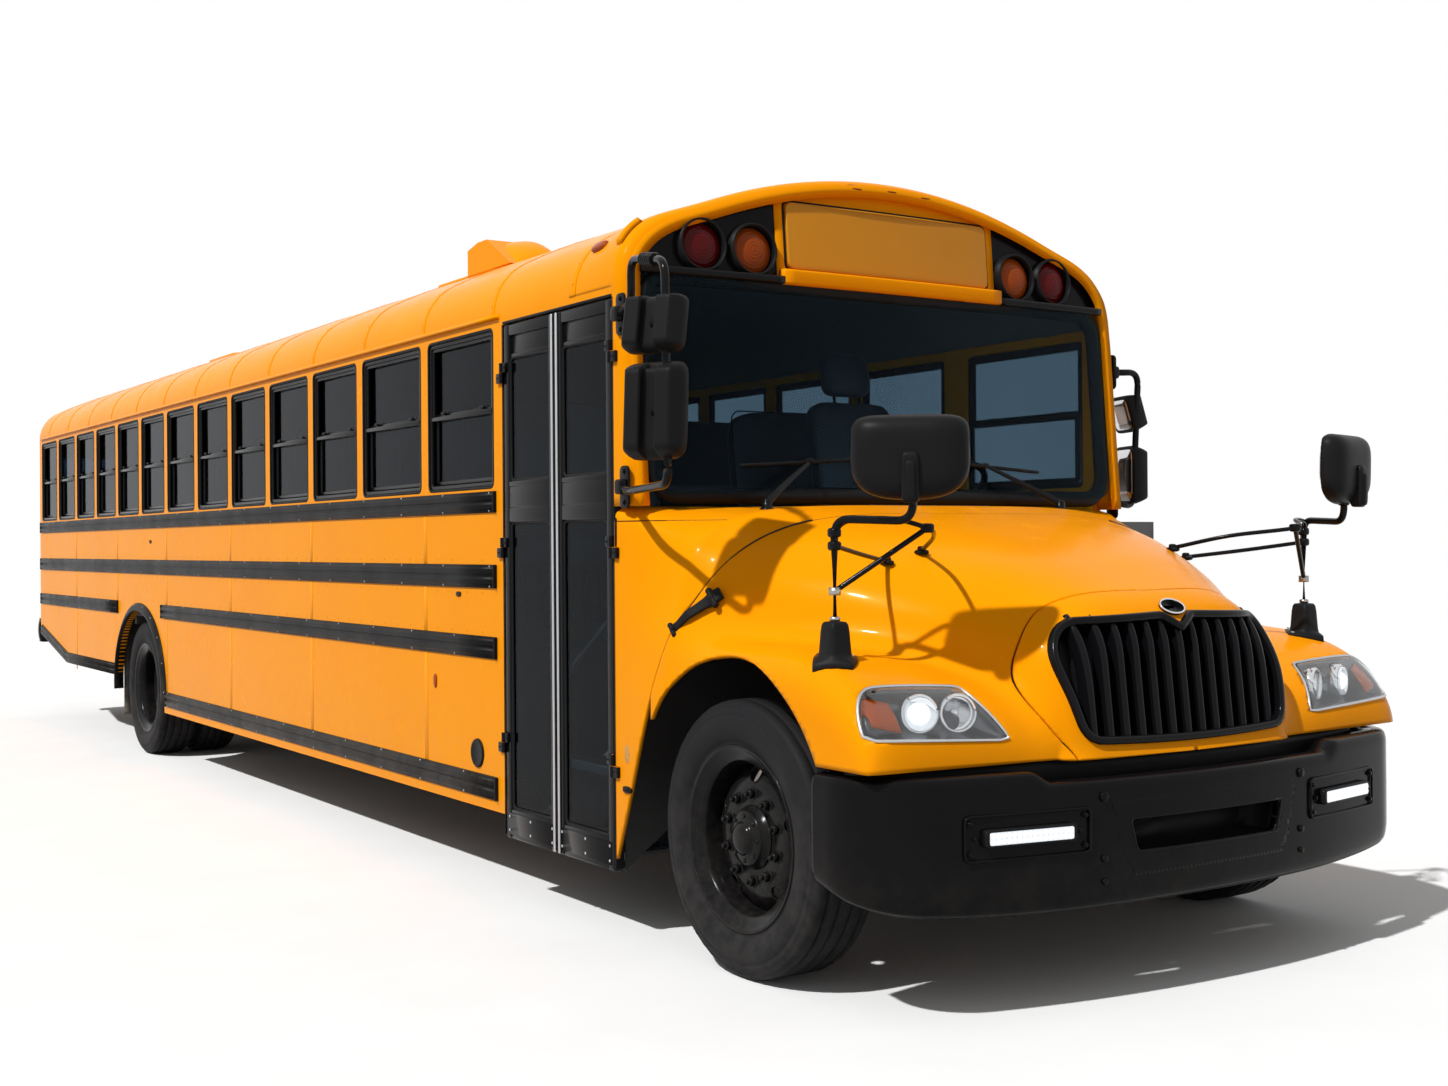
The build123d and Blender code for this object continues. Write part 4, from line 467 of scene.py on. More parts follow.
def lathe(profile, centre, axis, segments=32, wave=None):
    # a closed profile of (radius, height) turned about an axis: point = centre + height * axis + radius * ray(angle)
    profile = np.asarray(profile, float)
    axis, side, normal = axisFrame(axis)
    turn = np.linspace(0, 2 * np.pi, segments, endpoint=False)
    ray = np.cos(turn)[:, None] * side + np.sin(turn)[:, None] * normal
    radius = np.broadcast_to(profile[None, :, 0], (segments, len(profile)))
    if wave is not None:
        radius = radius + wave(turn[:, None], profile[None, :, 0], profile[None, :, 1])
    points = (np.asarray(centre, float) + profile[None, :, 1:2] * axis + radius[..., None] * ray[:, None, :])
    return points.reshape(-1, 3), gridFaces(segments, len(profile), wrapRows=True, wrapColumns=True)


def softBox(centre, size, power=6.0, rows=12, columns=20, axes=None):
    # superellipsoid: each of x, y, z is half its size times sign(c) * |c| ** (2 / power) of the sphere's own cosines
    u = np.linspace(-np.pi / 2, np.pi / 2, rows)[:, None]
    v = np.linspace(-np.pi, np.pi, columns, endpoint=False)[None, :]
    cu, su, cv, sv = (superellipse(wave, power) for wave in (np.cos(u), np.sin(u), np.cos(v), np.sin(v)))
    local = joined(cu * cv, cu * sv, su) * np.asarray(size, float) / 2
    if axes is not None:
        local = local @ np.asarray(axes, float)
    return (local + np.asarray(centre, float)).reshape(-1, 3), gridFaces(rows, columns, wrapColumns=True)


def hexBolt(centre, axis, radius, height, washer=True):
    # a six-sided head on a round washer
    profile = [(0, height), (radius * 0.82, height), (radius, height * 0.82), (radius, 0.0)]
    head, faces = lathe(profile + [(0, 0)], centre, axis, 6)
    if not washer:
        return [(head, faces)]
    ring = [(0, 0.12 * radius), (radius * 1.25, 0.12 * radius), (radius * 1.35, 0), (0, 0)]
    return [(head, faces), lathe(ring, centre, axis, 12)]


def splitTriangles(quads):
    quads = np.asarray(quads)
    return np.concatenate([quads[:, [0, 1, 2]], quads[:, [0, 2, 3]]])


def clipTriangles(points, triangles, field):
    # keeps the part of a triangle mesh where field > 0; cut edges end where the field is zero along them
    value = field(points)
    value = np.where(np.abs(value) < 1e-9, 1e-9, value)
    inside = value[triangles] > 0
    count = inside.sum(axis=1)
    kept = [triangles[count == 3]]
    edges, made = [], len(points)
    for wanted, flip in ((1, False), (2, True)):
        some = triangles[count == wanted]
        which = (value[some] > 0) != flip
        lone = np.argmax(which, axis=1)
        a = some[np.arange(len(some)), lone]
        b = some[np.arange(len(some)), (lone + 1) % 3]
        c = some[np.arange(len(some)), (lone + 2) % 3]
        start = made + sum(len(e) for e in edges)
        edges.extend([joined(a, b), joined(a, c)])
        iab = start + np.arange(len(some))
        iac = iab + len(some)
        if wanted == 1:
            kept.append(joined(a, iab, iac))
        else:
            kept.append(joined(iab, b, c))
            kept.append(joined(iab, c, iac))
    edges = np.concatenate(edges)
    share = (value[edges[:, 0]] / (value[edges[:, 0]] - value[edges[:, 1]]))[:, None]
    added = points[edges[:, 0]] * (1 - share) + points[edges[:, 1]] * share
    points = np.concatenate([points, added])
    triangles = np.concatenate(kept)
    used, renumbered = np.unique(triangles, return_inverse=True)
    return points[used], renumbered.reshape(-1, 3)


def ringStack(rings, capStart=True, capEnd=True):
    # rings of equal length joined row by row, with the first and last closed by one face each
    rings = [np.asarray(ring, float) for ring in rings]
    size = len(rings[0])
    faces = gridFaces(len(rings), size, wrapColumns=True).tolist()
    if capStart:
        faces.append(list(range(size))[::-1])
    if capEnd:
        faces.append(list(range((len(rings) - 1) * size, len(rings) * size)))
    return np.concatenate(rings), faces


def placed(flat, origin, u, v, lift=0.0):
    # (a, b) in a plane becomes origin + a * u + b * v + lift * (u x v)
    flat = np.asarray(flat, float)
    u, v = np.asarray(u, float), np.asarray(v, float)
    return np.asarray(origin, float) + flat[:, 0:1] * u + flat[:, 1:2] * v + lift * np.cross(u, v)


def plateRings(outline, origin, u, v, height, bevel, base=0.0):
    # outline risen to height, its edge drawn in by the bevel over a quarter turn
    outline = np.asarray(outline, float)
    centre = outline.mean(axis=0)
    reach = np.abs(outline - centre).max(axis=0)
    rings = [placed(outline, origin, u, v, base)]
    for turn in np.linspace(0, np.pi / 2, 4):
        inset = 1 - (1 - math.cos(turn)) * bevel / reach
        rings.append(placed(centre + (outline - centre) * inset, origin, u, v,
                            height - bevel * (1 - math.sin(turn))))
    return rings


def noseDirection(points, distance, step=0.002):
    # outward direction = gradient of the distance, by central differences
    gradient = np.stack([distance(points + step * axis) - distance(points - step * axis) for axis in np.eye(3)],
                        axis=-1)
    return gradient / np.linalg.norm(gradient, axis=-1, keepdims=True)


# camera: the photograph's own place and angle, lights and floor
view = {"place": (9.44684, -4.17168, 1.40737), "yaw": 2.56156931, "pitch": 7.428e-4, "roll": 7.17132e-3,
        "focal": 1678.10, "width": 1448, "sensor": 36.0}
lighting = {"sunStrength": 3.35, "sunAngle": 1.6, "sunFrom": (0.14, -0.63, 0.765), "skyDiffuse": 0.37,
            "floorBounce": 0.36, "floorHalf": 60.0, "floorNear": 9.0, "floorFar": 26.0,
            "floorColour": (0.90, 0.90, 0.895)}


def makeCamera():
    # yaw and pitch give the forward direction, roll turns right and down about it
    forward = np.array([math.cos(view["yaw"]) * math.cos(view["pitch"]),
                        math.sin(view["yaw"]) * math.cos(view["pitch"]), math.sin(view["pitch"])])
    right = np.cross(forward, (0, 0, 1))
    right /= np.linalg.norm(right)
    down = np.cross(forward, right)
    turnedRight = math.cos(view["roll"]) * right + math.sin(view["roll"]) * down
    turnedDown = -math.sin(view["roll"]) * right + math.cos(view["roll"]) * down
    data = bpy.data.cameras.new("view")
    data.sensor_width = view["sensor"]
    data.lens = view["focal"] / view["width"] * view["sensor"]
    data.clip_end = 300
    camera = bpy.data.objects.new("view", data)
    bpy.context.collection.objects.link(camera)
    camera.matrix_world = Matrix([[turnedRight[k], -turnedDown[k], -forward[k], view["place"][k]] for k in range(3)]
                                 + [[0, 0, 0, 1]])
    bpy.context.scene.camera = camera


def backdropRays(tree):
    # 1 for camera, glossy and transmission rays, 0 for the rest
    ray = addNode(tree, "ShaderNodeLightPath")
    glossy = mathOf(tree, "ADD", ray.outputs["Is Camera Ray"], ray.outputs["Is Glossy Ray"])
    return mathOf(tree, "ADD", glossy, ray.outputs["Is Transmission Ray"])


def backdropStrength(tree):
    # these rays meet a white backdrop, the rest a dimmer sky
    return rangeOf(tree, backdropRays(tree), 0, 1, lighting["skyDiffuse"], 1.0)


def makeLights():
    sun = bpy.data.lights.new("sun", "SUN")
    sun.energy = lighting["sunStrength"]
    sun.angle = math.radians(lighting["sunAngle"])
    lamp = bpy.data.objects.new("sun", sun)
    bpy.context.collection.objects.link(lamp)
    axis, side, normal = (np.array(v) for v in axisFrame(lighting["sunFrom"]))
    lamp.matrix_world = Matrix([[side[k], normal[k], axis[k], axis[k] * 30] for k in range(3)] + [[0, 0, 0, 1]])
    world = bpy.data.worlds.new("studio")
    bpy.context.scene.world = world
    world.use_nodes = True
    tree = world.node_tree
    background = tree.nodes["Background"]
    background.inputs["Color"].default_value = (1, 1, 1, 1)
    tree.links.new(backdropStrength(tree), background.inputs["Strength"])
    bpy.context.scene.view_settings.view_transform = "Standard"


def makeFloor():
    # pale near the vehicle, where it holds the shadow, and as white as the backdrop far out
    half = lighting["floorHalf"]
    mesh = bpy.data.meshes.new("floor")
    mesh.from_pydata([(-half, -half, 0), (half, -half, 0), (half, half, 0), (-half, half, 0)], [], [(0, 1, 2, 3)])
    floor = bpy.data.objects.new("floor", mesh)
    bpy.context.collection.objects.link(floor)
    material, tree, shader = newMaterial("studio_floor")
    vector = objectVector(tree)
    length = addNode(tree, "ShaderNodeVectorMath", operation="LENGTH")
    tree.links.new(vector, length.inputs[0])
    far = rangeOf(tree, length.outputs["Value"], lighting["floorNear"], lighting["floorFar"], 0, 1, smooth=True)
    speck = rangeOf(tree, noiseOf(tree, vector, 2.0, 4), 0.3, 0.7, 0.97, 1.0)
    pale = addNode(tree, "ShaderNodeVectorMath", operation="SCALE")
    pale.inputs[0].default_value = lighting["floorColour"]
    tree.links.new(speck, pale.inputs["Scale"])
    # camera, glossy and transmission rays see the pale floor, diffuse rays meet it as a darker ground
    eye = rangeOf(tree, backdropRays(tree), 0, 1, 0, 1)
    shown = mixOf(tree, eye, (lighting["floorBounce"],) * 3, pale.outputs["Vector"])
    tree.links.new(shown, shader.inputs["Base Color"])
    shader.inputs["Roughness"].default_value = 0.9
    shader.inputs["Specular IOR Level"].default_value = 0.0
    white = addNode(tree, "ShaderNodeEmission", Color=(1, 1, 1, 1))
    tree.links.new(backdropStrength(tree), white.inputs["Strength"])
    blend = addNode(tree, "ShaderNodeMixShader")
    tree.links.new(far, blend.inputs["Fac"])
    tree.links.new(shader.outputs["BSDF"], blend.inputs[1])
    tree.links.new(white.outputs["Emission"], blend.inputs[2])
    tree.links.new(blend.outputs["Shader"], tree.nodes["Material Output"].inputs["Surface"])
    mesh.materials.append(material)


makeCamera()
makeLights()
makeFloor()
print("camera, light and floor set")


# hood: a crowned dome between two fenders, found by following rays out of a line inside it

hoodShape = {
    "baseHeight": 0.745, "rearX": -0.430, "noseOrigin": 0.420,
    "stations": [-0.34, 0.10, 0.42, 0.64, 0.90],
    "domeHalf": [1.185, 0.960, 0.760, 0.600, 0.520],
    "domeCrown": [1.548, 1.462, 1.365, 1.275, 1.165],
    "domePower": [4.6, 4.0, 3.6, 3.4, 3.2],
    "fenderTop": 1.085, "fenderHalf": 1.219,
    "noseX": 0.885, "rows": (72, 84), "columns": 236, "wall": 0.016, "noseGap": 0.0022,
    "seamBack": 0.300, "seamLean": 0.43, "seamHeight": 1.19,
}


def domeDistance(x, y, z):
    # superellipse sections: (|y| / half) ** power + (rise / height) ** power = 1, cut off by the leaning nose
    half = smoothTable(x, hoodShape["stations"], hoodShape["domeHalf"])
    height = smoothTable(x, hoodShape["stations"], hoodShape["domeCrown"]) - hoodShape["baseHeight"]
    power = smoothTable(x, hoodShape["stations"], hoodShape["domePower"])
    rise = np.maximum(z - hoodShape["baseHeight"], 0)
    reach = np.sqrt(y ** 2 + rise ** 2) + 1e-9
    ratio = ((np.abs(y) / half) ** power + (rise / height) ** power) ** (1 / power)
    section = reach - reach / np.maximum(ratio, 1e-6)
    nose = x - (hoodShape["noseX"] - 0.085 * np.abs(y) ** 2 - 0.115 * (z - 0.75))
    return smoothMax(section, nose, 0.13)


def fenderDistance(x, y, z):
    # flat side, top that falls to the front like a superellipse, both set back with distance from the middle
    setBack = 0.066 * (np.abs(y) + 1e-9) ** 1.2
    along = np.clip((x + setBack - 0.08) / 0.765, 0, 1)
    drop = (1 - along ** 3.0) ** (1 / 2.3)
    rear = np.clip((-0.02 - x) / 0.30, 0, 1)
    top = 0.735 + (hoodShape["fenderTop"] - 0.735) * drop + 0.05 * rear ** 2
    top = top - 0.055 * np.clip((1.06 - np.abs(y)) / 0.5, 0, 1) ** 1.5
    side = np.abs(y) - hoodShape["fenderHalf"] + 0.035 * rear ** 2 * np.clip((z - 0.9) / 0.3, 0, 1)
    front = x + setBack - 0.845
    return smoothMax(smoothMax(side, (z - top) * 0.85, 0.12), front, 0.02)


def hoodDistance(points):
    # the nearer of dome and fender, blended over where they meet
    x, y, z = points[..., 0] - frontAxle, points[..., 1], points[..., 2]
    return smoothMin(domeDistance(x, y, z), fenderDistance(x, y, z), 0.10)


def marchRays(origins, directions, low, high, distance):
    # halves the span of each ray until it ends on the surface
    low = np.full(origins.shape[:-1], low, float)
    high = np.full(origins.shape[:-1], high, float)
    for _ in range(34):
        middle = (low + high) / 2
        outside = distance(origins + middle[..., None] * directions) > 0
        high = np.where(outside, middle, high)
        low = np.where(outside, low, middle)
    return origins + low[..., None] * directions


def hoodGrid():
    # rows run forward along the hood and then swing round the nose; columns go over it from right to left
    bodyRows, noseRows = hoodShape["rows"]
    x = np.concatenate([np.linspace(hoodShape["rearX"], hoodShape["noseOrigin"], bodyRows),
                        np.full(noseRows, hoodShape["noseOrigin"])])
    swing = np.concatenate([np.zeros(bodyRows), np.linspace(0, np.pi / 2, noseRows + 1)[1:]])
    turn = np.linspace(0, np.pi, hoodShape["columns"])
    across = joined(0.0, -np.cos(turn), np.sin(turn))
    directions = np.cos(swing)[:, None, None] * across[None] + np.sin(swing)[:, None, None] * np.array([1.0, 0, 0])
    origins = np.zeros((len(x), len(turn), 3))
    origins[..., 0] = (frontAxle + x)[:, None]
    origins[..., 2] = hoodShape["baseHeight"]
    return marchRays(origins, directions, 0.05, 1.9, hoodDistance)


def onHoodFront(y, z):
    # points of the skin met by rays that run forward from inside the hood; the next two run sideways and up
    origins = joined(frontAxle + 0.30, y, z)
    return marchRays(origins, np.broadcast_to([1.0, 0, 0], origins.shape), 0.0, 0.9, hoodDistance)


def onHoodSide(x, z, side):
    origins = joined(frontAxle + x, side * 0.2, z)
    return marchRays(origins, np.broadcast_to([0.0, side, 0], origins.shape), 0.0, 1.3, hoodDistance)


def onHoodTop(x, y):
    origins = joined(frontAxle + x, y, 0.80)
    return marchRays(origins, np.broadcast_to([0.0, 0, 1.0], origins.shape), 0.0, 1.0, hoodDistance)


def archField(points, grow=0.0):
    # positive outside the wheel arch's ellipse; below its middle the arch runs straight down
    x = (points[..., 0] - frontAxle - 0.020) / (0.560 + grow)
    z = np.maximum(points[..., 2] - axleHeight, 0) / (0.597 + grow)
    return (np.sqrt(x ** 2 + z ** 2) - 1) * 0.56


def rearSeam(points):
    # positive ahead of the hood's rear edge, which leans forward as it rises
    lean = hoodShape["seamLean"] * (points[..., 2] - hoodShape["seamHeight"])
    return points[..., 0] - frontAxle + hoodShape["seamBack"] - lean


def seamAt(z):
    # the same edge's place along the bus at a height
    return frontAxle - hoodShape["seamBack"] + hoodShape["seamLean"] * (z - hoodShape["seamHeight"])


def lampField(points):
    # positive inside the headlamp's outline: four edges with rounded meetings
    x, y, z = points[..., 0] - frontAxle, np.abs(points[..., 1]), points[..., 2]
    top = 0.976 + 0.046 * (y - 0.779) - z
    bottom = z - (0.812 + 0.055 * (y - 0.697))
    inner = (y - (0.694 + 0.56 * (z - 0.816))) * 0.87
    outer = (x - (0.626 + 0.62 * (0.986 - z))) * 0.80
    return smoothMin(smoothMin(top, bottom, 0.01), smoothMin(inner, outer, 0.01), 0.018)


def noseField(points):
    # positive inside the panel round the grille
    x, y, z = points[..., 0] - frontAxle, np.abs(points[..., 1]), points[..., 2]
    half = smoothTable(z, [0.70, 0.76, 0.84, 0.93, 1.03, 1.12, 1.20, 1.32],
                       [0.470, 0.492, 0.545, 0.582, 0.575, 0.540, 0.500, 0.455])
    top = x - (0.704 - 0.24 * y ** 2)
    return smoothMin(half - y, top, 0.06)


def grilleField(points):
    # positive inside the grille's opening
    y, z = np.abs(points[..., 1]), points[..., 2]
    half = smoothTable(z, [0.76, 0.787, 0.90, 1.045, 1.10, 1.155, 1.20],
                       [0.436, 0.444, 0.475, 0.497, 0.480, 0.436, 0.39])
    top = 1.160 + 0.014 * (1 - y / 0.43) - 0.042 * np.maximum(1 - y / 0.07, 0) - z
    return smoothMin(smoothMin(half - y, top, 0.04), z - 0.789 - 0.012 * (y / 0.44) ** 2, 0.05)


def clippedPanel(name, points, triangles, fields):
    # the part of the skin where every field is positive, as a wall of its own
    for field in fields:
        points, triangles = clipTriangles(points, triangles, field)
    piece = tidyMesh(addMesh(name, points, triangles, "busYellow", "hood"), 1e-6)
    print(name, len(triangles))
    return thicken(piece, hoodShape["wall"])


hoodPoints = hoodGrid()
hoodTriangles = splitTriangles(gridFaces(*hoodPoints.shape[:2]))
hoodPoints = hoodPoints.reshape(-1, 3)
hoodMain = clippedPanel("hood_shell", hoodPoints, hoodTriangles, (
    archField, rearSeam, lambda p: -lampField(p), lambda p: -noseField(p) - hoodShape["noseGap"]))
clippedPanel("hood_nose", hoodPoints, hoodTriangles, (
    lambda p: noseField(p) - hoodShape["noseGap"], lambda p: -grilleField(p)))
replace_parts(hoodMain, "hood")


# grille: a rounded frame in the hood's opening, slats that follow the nose, a dark core behind
grilleShape = {"slats": 13, "span": 0.405, "slatWidth": 0.030, "slatDepth": 0.055, "sink": 0.012,
               "frameWidth": 0.016, "coreSink": 0.085, "ductDepth": 0.078, "middle": 0.965}


def frontAt(y, z, sink=0.0):
    # a place on the hood's front, sunk back along the bus
    points = onHoodFront(np.asarray(y, float), np.asarray(z, float))
    points[..., 0] -= sink
    return points


def edgeOf(field, middle, angles, level, reach=0.75):
    # for each angle the distance from the middle, across y and z, at which the field falls to the level
    low, high = np.zeros(len(angles)), np.full(len(angles), reach)
    for _ in range(18):
        half = (low + high) / 2
        inside = field(frontAt(middle[0] + half * np.cos(angles), middle[1] + half * np.sin(angles))) > level
        low, high = np.where(inside, half, low), np.where(inside, high, half)
    return low


def buildGrille():
    # ring along the opening's edge, a duct behind it, upright slats, and a disc that closes the duct
    angles = np.linspace(0, 2 * np.pi, 180, endpoint=False)
    middle = (0.0, grilleShape["middle"])
    reach = edgeOf(grilleField, middle, angles, 0.0)
    ring = frontAt(middle[0] + reach * np.cos(angles), middle[1] + reach * np.sin(angles), 0.004)
    frameBody = MeshStore()
    frameBody.sweep(ring, boxProfile(grilleShape["frameWidth"] * 1.6, 0.034, 0.008, 3), closed=True, up=(1, 0, 0))
    # duct that joins the ring to the core
    duct = ring - np.array([grilleShape["ductDepth"] / 2 + 0.012, 0, 0])
    frameBody.sweep(duct, boxProfile(0.006, grilleShape["ductDepth"], 0.002, 2), closed=True, up=(1, 0, 0))
    for y in np.linspace(-grilleShape["span"], grilleShape["span"], grilleShape["slats"]):
        z = np.linspace(0.780, 1.175, 60)
        line = frontAt(np.full_like(z, y), z)
        line = line[grilleField(line) > -0.004]
        line[:, 0] -= grilleShape["sink"] + grilleShape["slatDepth"] / 2
        turn = np.linspace(0, 2 * np.pi, 18, endpoint=False)
        blade = joined(grilleShape["slatWidth"] / 2 * np.sign(np.cos(turn)) * np.abs(np.cos(turn)) ** 0.75,
                       grilleShape["slatDepth"] / 2 * np.sign(np.sin(turn)) * np.abs(np.sin(turn)) ** 0.55)
        frameBody.sweep(line, blade, up=(1, 0, 0))
    grille = frameBody.tidy("grille_slats", "glossBlack", "black_plastic", "hood")
    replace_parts(grille, "grille")
    rows, columns = 12, 40
    share = np.linspace(0, 1, rows)[:, None] * np.ones((1, columns))
    around = np.linspace(0, 2 * np.pi, columns, endpoint=False)
    edge = edgeOf(grilleField, middle, around, 0.022)
    points = frontAt(middle[0] + share * edge * np.cos(around), middle[1] + share * edge * np.sin(around))
    points[..., 0] -= grilleShape["coreSink"]
    core = addMesh("radiator_core", points.reshape(-1, 3), gridFaces(rows, columns, wrapColumns=True),
                   "mouldedBlack", "hood")
    thicken(tidyMesh(core), 0.012)


def buildBadge():
    # a bare oval on the nose above the grille: plain face inside a raised ring
    spot = frontAt(np.array([0.0]), np.array([1.192]))
    normal = noseDirection(spot, hoodDistance)[0]
    side = np.array([0.0, 1.0, 0.0])
    rise = np.cross(normal, side)
    turn = np.linspace(0, 2 * np.pi, 40, endpoint=False)
    oval = joined(0.052 * np.cos(turn), 0.031 * np.sin(turn))
    origin = spot[0] - 0.004 * normal
    face = MeshStore()
    face.stack(plateRings(oval, origin, side, rise, 0.012, 0.004))
    face.piece("nose_badge", "glossBlack", "black_plastic", "hood")
    ring = MeshStore()
    ring.sweep(placed(oval, origin, side, rise, 0.013), circleProfile(0.0034, 8), closed=True, up=normal)
    ring.tidy("nose_badge_ring", "chromeTrim", "grab_steel", "hood")


def buildHeadlamps():
    # polar grids over the lamp's outline: clear lens outside, a basin behind it, rim along the edge
    lampShape = {"middle": (0.945, 0.902), "depth": 0.070, "rows": 15, "columns": 96}
    lens, basin, rim, lit, chrome, amber, bulb, halo = (MeshStore() for _ in range(8))
    for side in (-1, 1):
        angles = np.linspace(0, 2 * np.pi, lampShape["columns"], endpoint=False) * side
        middle = (side * lampShape["middle"][0], lampShape["middle"][1])
        turned = angles if side > 0 else np.pi + angles
        reach = edgeOf(lampField, middle, turned, 0.0015, 0.40)
        share = np.linspace(0, 1, lampShape["rows"])[:, None]
        y = middle[0] + share * reach * np.cos(turned)
        z = middle[1] + share * reach * np.sin(turned)
        skin = frontAt(y, z)
        outward = noseDirection(skin, hoodDistance)
        faces = gridFaces(lampShape["rows"], lampShape["columns"], wrapColumns=True)
        lens.add((skin + 0.003 * outward).reshape(-1, 3), faces)
        depth = lampShape["depth"] * (1 - share ** 7)[..., None]
        back = skin - 0.003 * outward
        back[..., 0] -= depth[..., 0]
        back[..., 1] -= side * 0.25 * depth[..., 0]
        basin.add(back.reshape(-1, 3), faces)
        rim.sweep(skin[-1] + 0.001 * outward[-1], circleProfile(0.0052, 8), closed=True, up=(1, 0, 0))
        aim = np.array([0.93, side * 0.36, 0.02])
        for store, centre, radius, bulge in ((lit, (0.990, 0.902), 0.050, 0.030), (bulb, (0.846, 0.896), 0.050, 0.0)):
            spot = frontAt(np.array([side * centre[0]]), np.array([centre[1]]))[0] - 0.035 * aim
            if bulge:
                arc = np.linspace(0, np.pi / 2, 9)
                inner = 0.60 * radius
                dome = joined(inner * np.sin(arc), 0.8 * bulge * np.cos(arc)).tolist()
                store.turned(dome + [(inner, -0.01), (0, -0.01)], spot, aim, 32)
                steps = np.linspace(inner + 0.001, radius, 9)
                cone = [(r, 0.004 + 0.55 * (r - inner) + 0.0012 * (k % 2)) for k, r in enumerate(steps)]
                halo.turned(cone + [(radius, -0.012), (inner + 0.001, -0.012)], spot, aim, 40)
            else:
                arc = np.linspace(0, 1, 8)
                bowl = [(radius * t, -0.045 + 0.042 * t ** 2) for t in arc]
                store.turned(bowl + [(radius, -0.050), (0, -0.050)], spot, aim, 32)
                store.turned([(0, -0.012), (0.010, -0.016), (0.012, -0.048), (0, -0.048)], spot, aim, 16)
            chrome.turned([(radius, -0.004), (radius + 0.003, 0.008), (radius + 0.010, 0.004),
                           (radius + 0.010, -0.030), (radius, -0.030)], spot, aim, 32)
        rows, columns = 8, 12
        patchY, patchZ = np.meshgrid(np.linspace(1.075, 1.168, columns), np.linspace(-0.5, 0.5, rows))
        patchZ = 0.916 + 0.25 * (patchY - 1.12) + patchZ * 0.088
        patch = frontAt(side * patchY, patchZ)
        patch = patch - 0.016 * noseDirection(patch, hoodDistance)
        amber.add(patch.reshape(-1, 3), gridFaces(rows, columns))
    glass = lens.tidy("headlamp_lenses", "lampGlass", "lamp_glass", "hood")
    thicken(glass, 0.003)
    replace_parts(glass, "headlamps")
    thicken(basin.tidy("headlamp_basins", "smokedChrome", "grab_steel", "hood"), 0.004)
    rim.tidy("headlamp_rims", "sealSilver", "grab_steel", "hood")
    halo.tidy("headlamp_halos", "dimLamp", "grab_steel", "hood")
    lit.tidy("headlamp_projectors", "litLamp", "lamp_glass", "hood")
    bulb.tidy("headlamp_bowls", "reflector", "grab_steel", "hood")
    chrome.tidy("headlamp_collars", "chromeTrim", "grab_steel", "hood")
    thicken(amber.tidy("headlamp_side_markers", "amberLens", "amber_lens", "hood"), 0.004)


buildGrille()
buildBadge()
buildHeadlamps()
print("grille and headlamps made")


# front bumper: one moulding whose section runs round the plan line, higher and thinner towards its ends
bumperShape = {"frontX": 5.870, "noseRadius": 4.200, "corner": 0.260, "endX": 5.420, "half": 1.227,
               "top": 0.692, "endTop": 0.728, "riseFrom": 0.625, "riseTo": 0.705,
               "bottomAt": [0.0, 0.75, 1.05, 1.30, 1.50, 1.75], "bottom": [0.300, 0.302, 0.318, 0.352, 0.405, 0.465],
               "wall": 0.030, "openTop": (0.352, 0.566), "openBottom": (0.322, 0.462), "openRound": 0.03}


def bumperPlan(inset=0.0):
    # a wide arc over the nose, a tight one round each corner, then straight back
    centreX = bumperShape["frontX"] - bumperShape["noseRadius"]
    cornerY = bumperShape["half"] - bumperShape["corner"]
    cornerX = centreX + math.sqrt((bumperShape["noseRadius"] - bumperShape["corner"]) ** 2 - cornerY ** 2)
    split = math.atan2(cornerY, cornerX - centreX)
    nose = np.linspace(0, split, 60)
    turn = np.linspace(split, np.pi / 2, 18)[1:]
    reach, radius = bumperShape["noseRadius"] - inset, bumperShape["corner"] - inset
    half = np.concatenate([joined(centreX + reach * np.cos(nose), reach * np.sin(nose)),
                           joined(cornerX + radius * np.cos(turn), cornerY + radius * np.sin(turn)),
                           joined(np.linspace(cornerX, bumperShape["endX"], 10)[1:], bumperShape["half"] - inset)])
    mirror = half[:0:-1] * (1, -1)
    return np.concatenate([mirror, half])


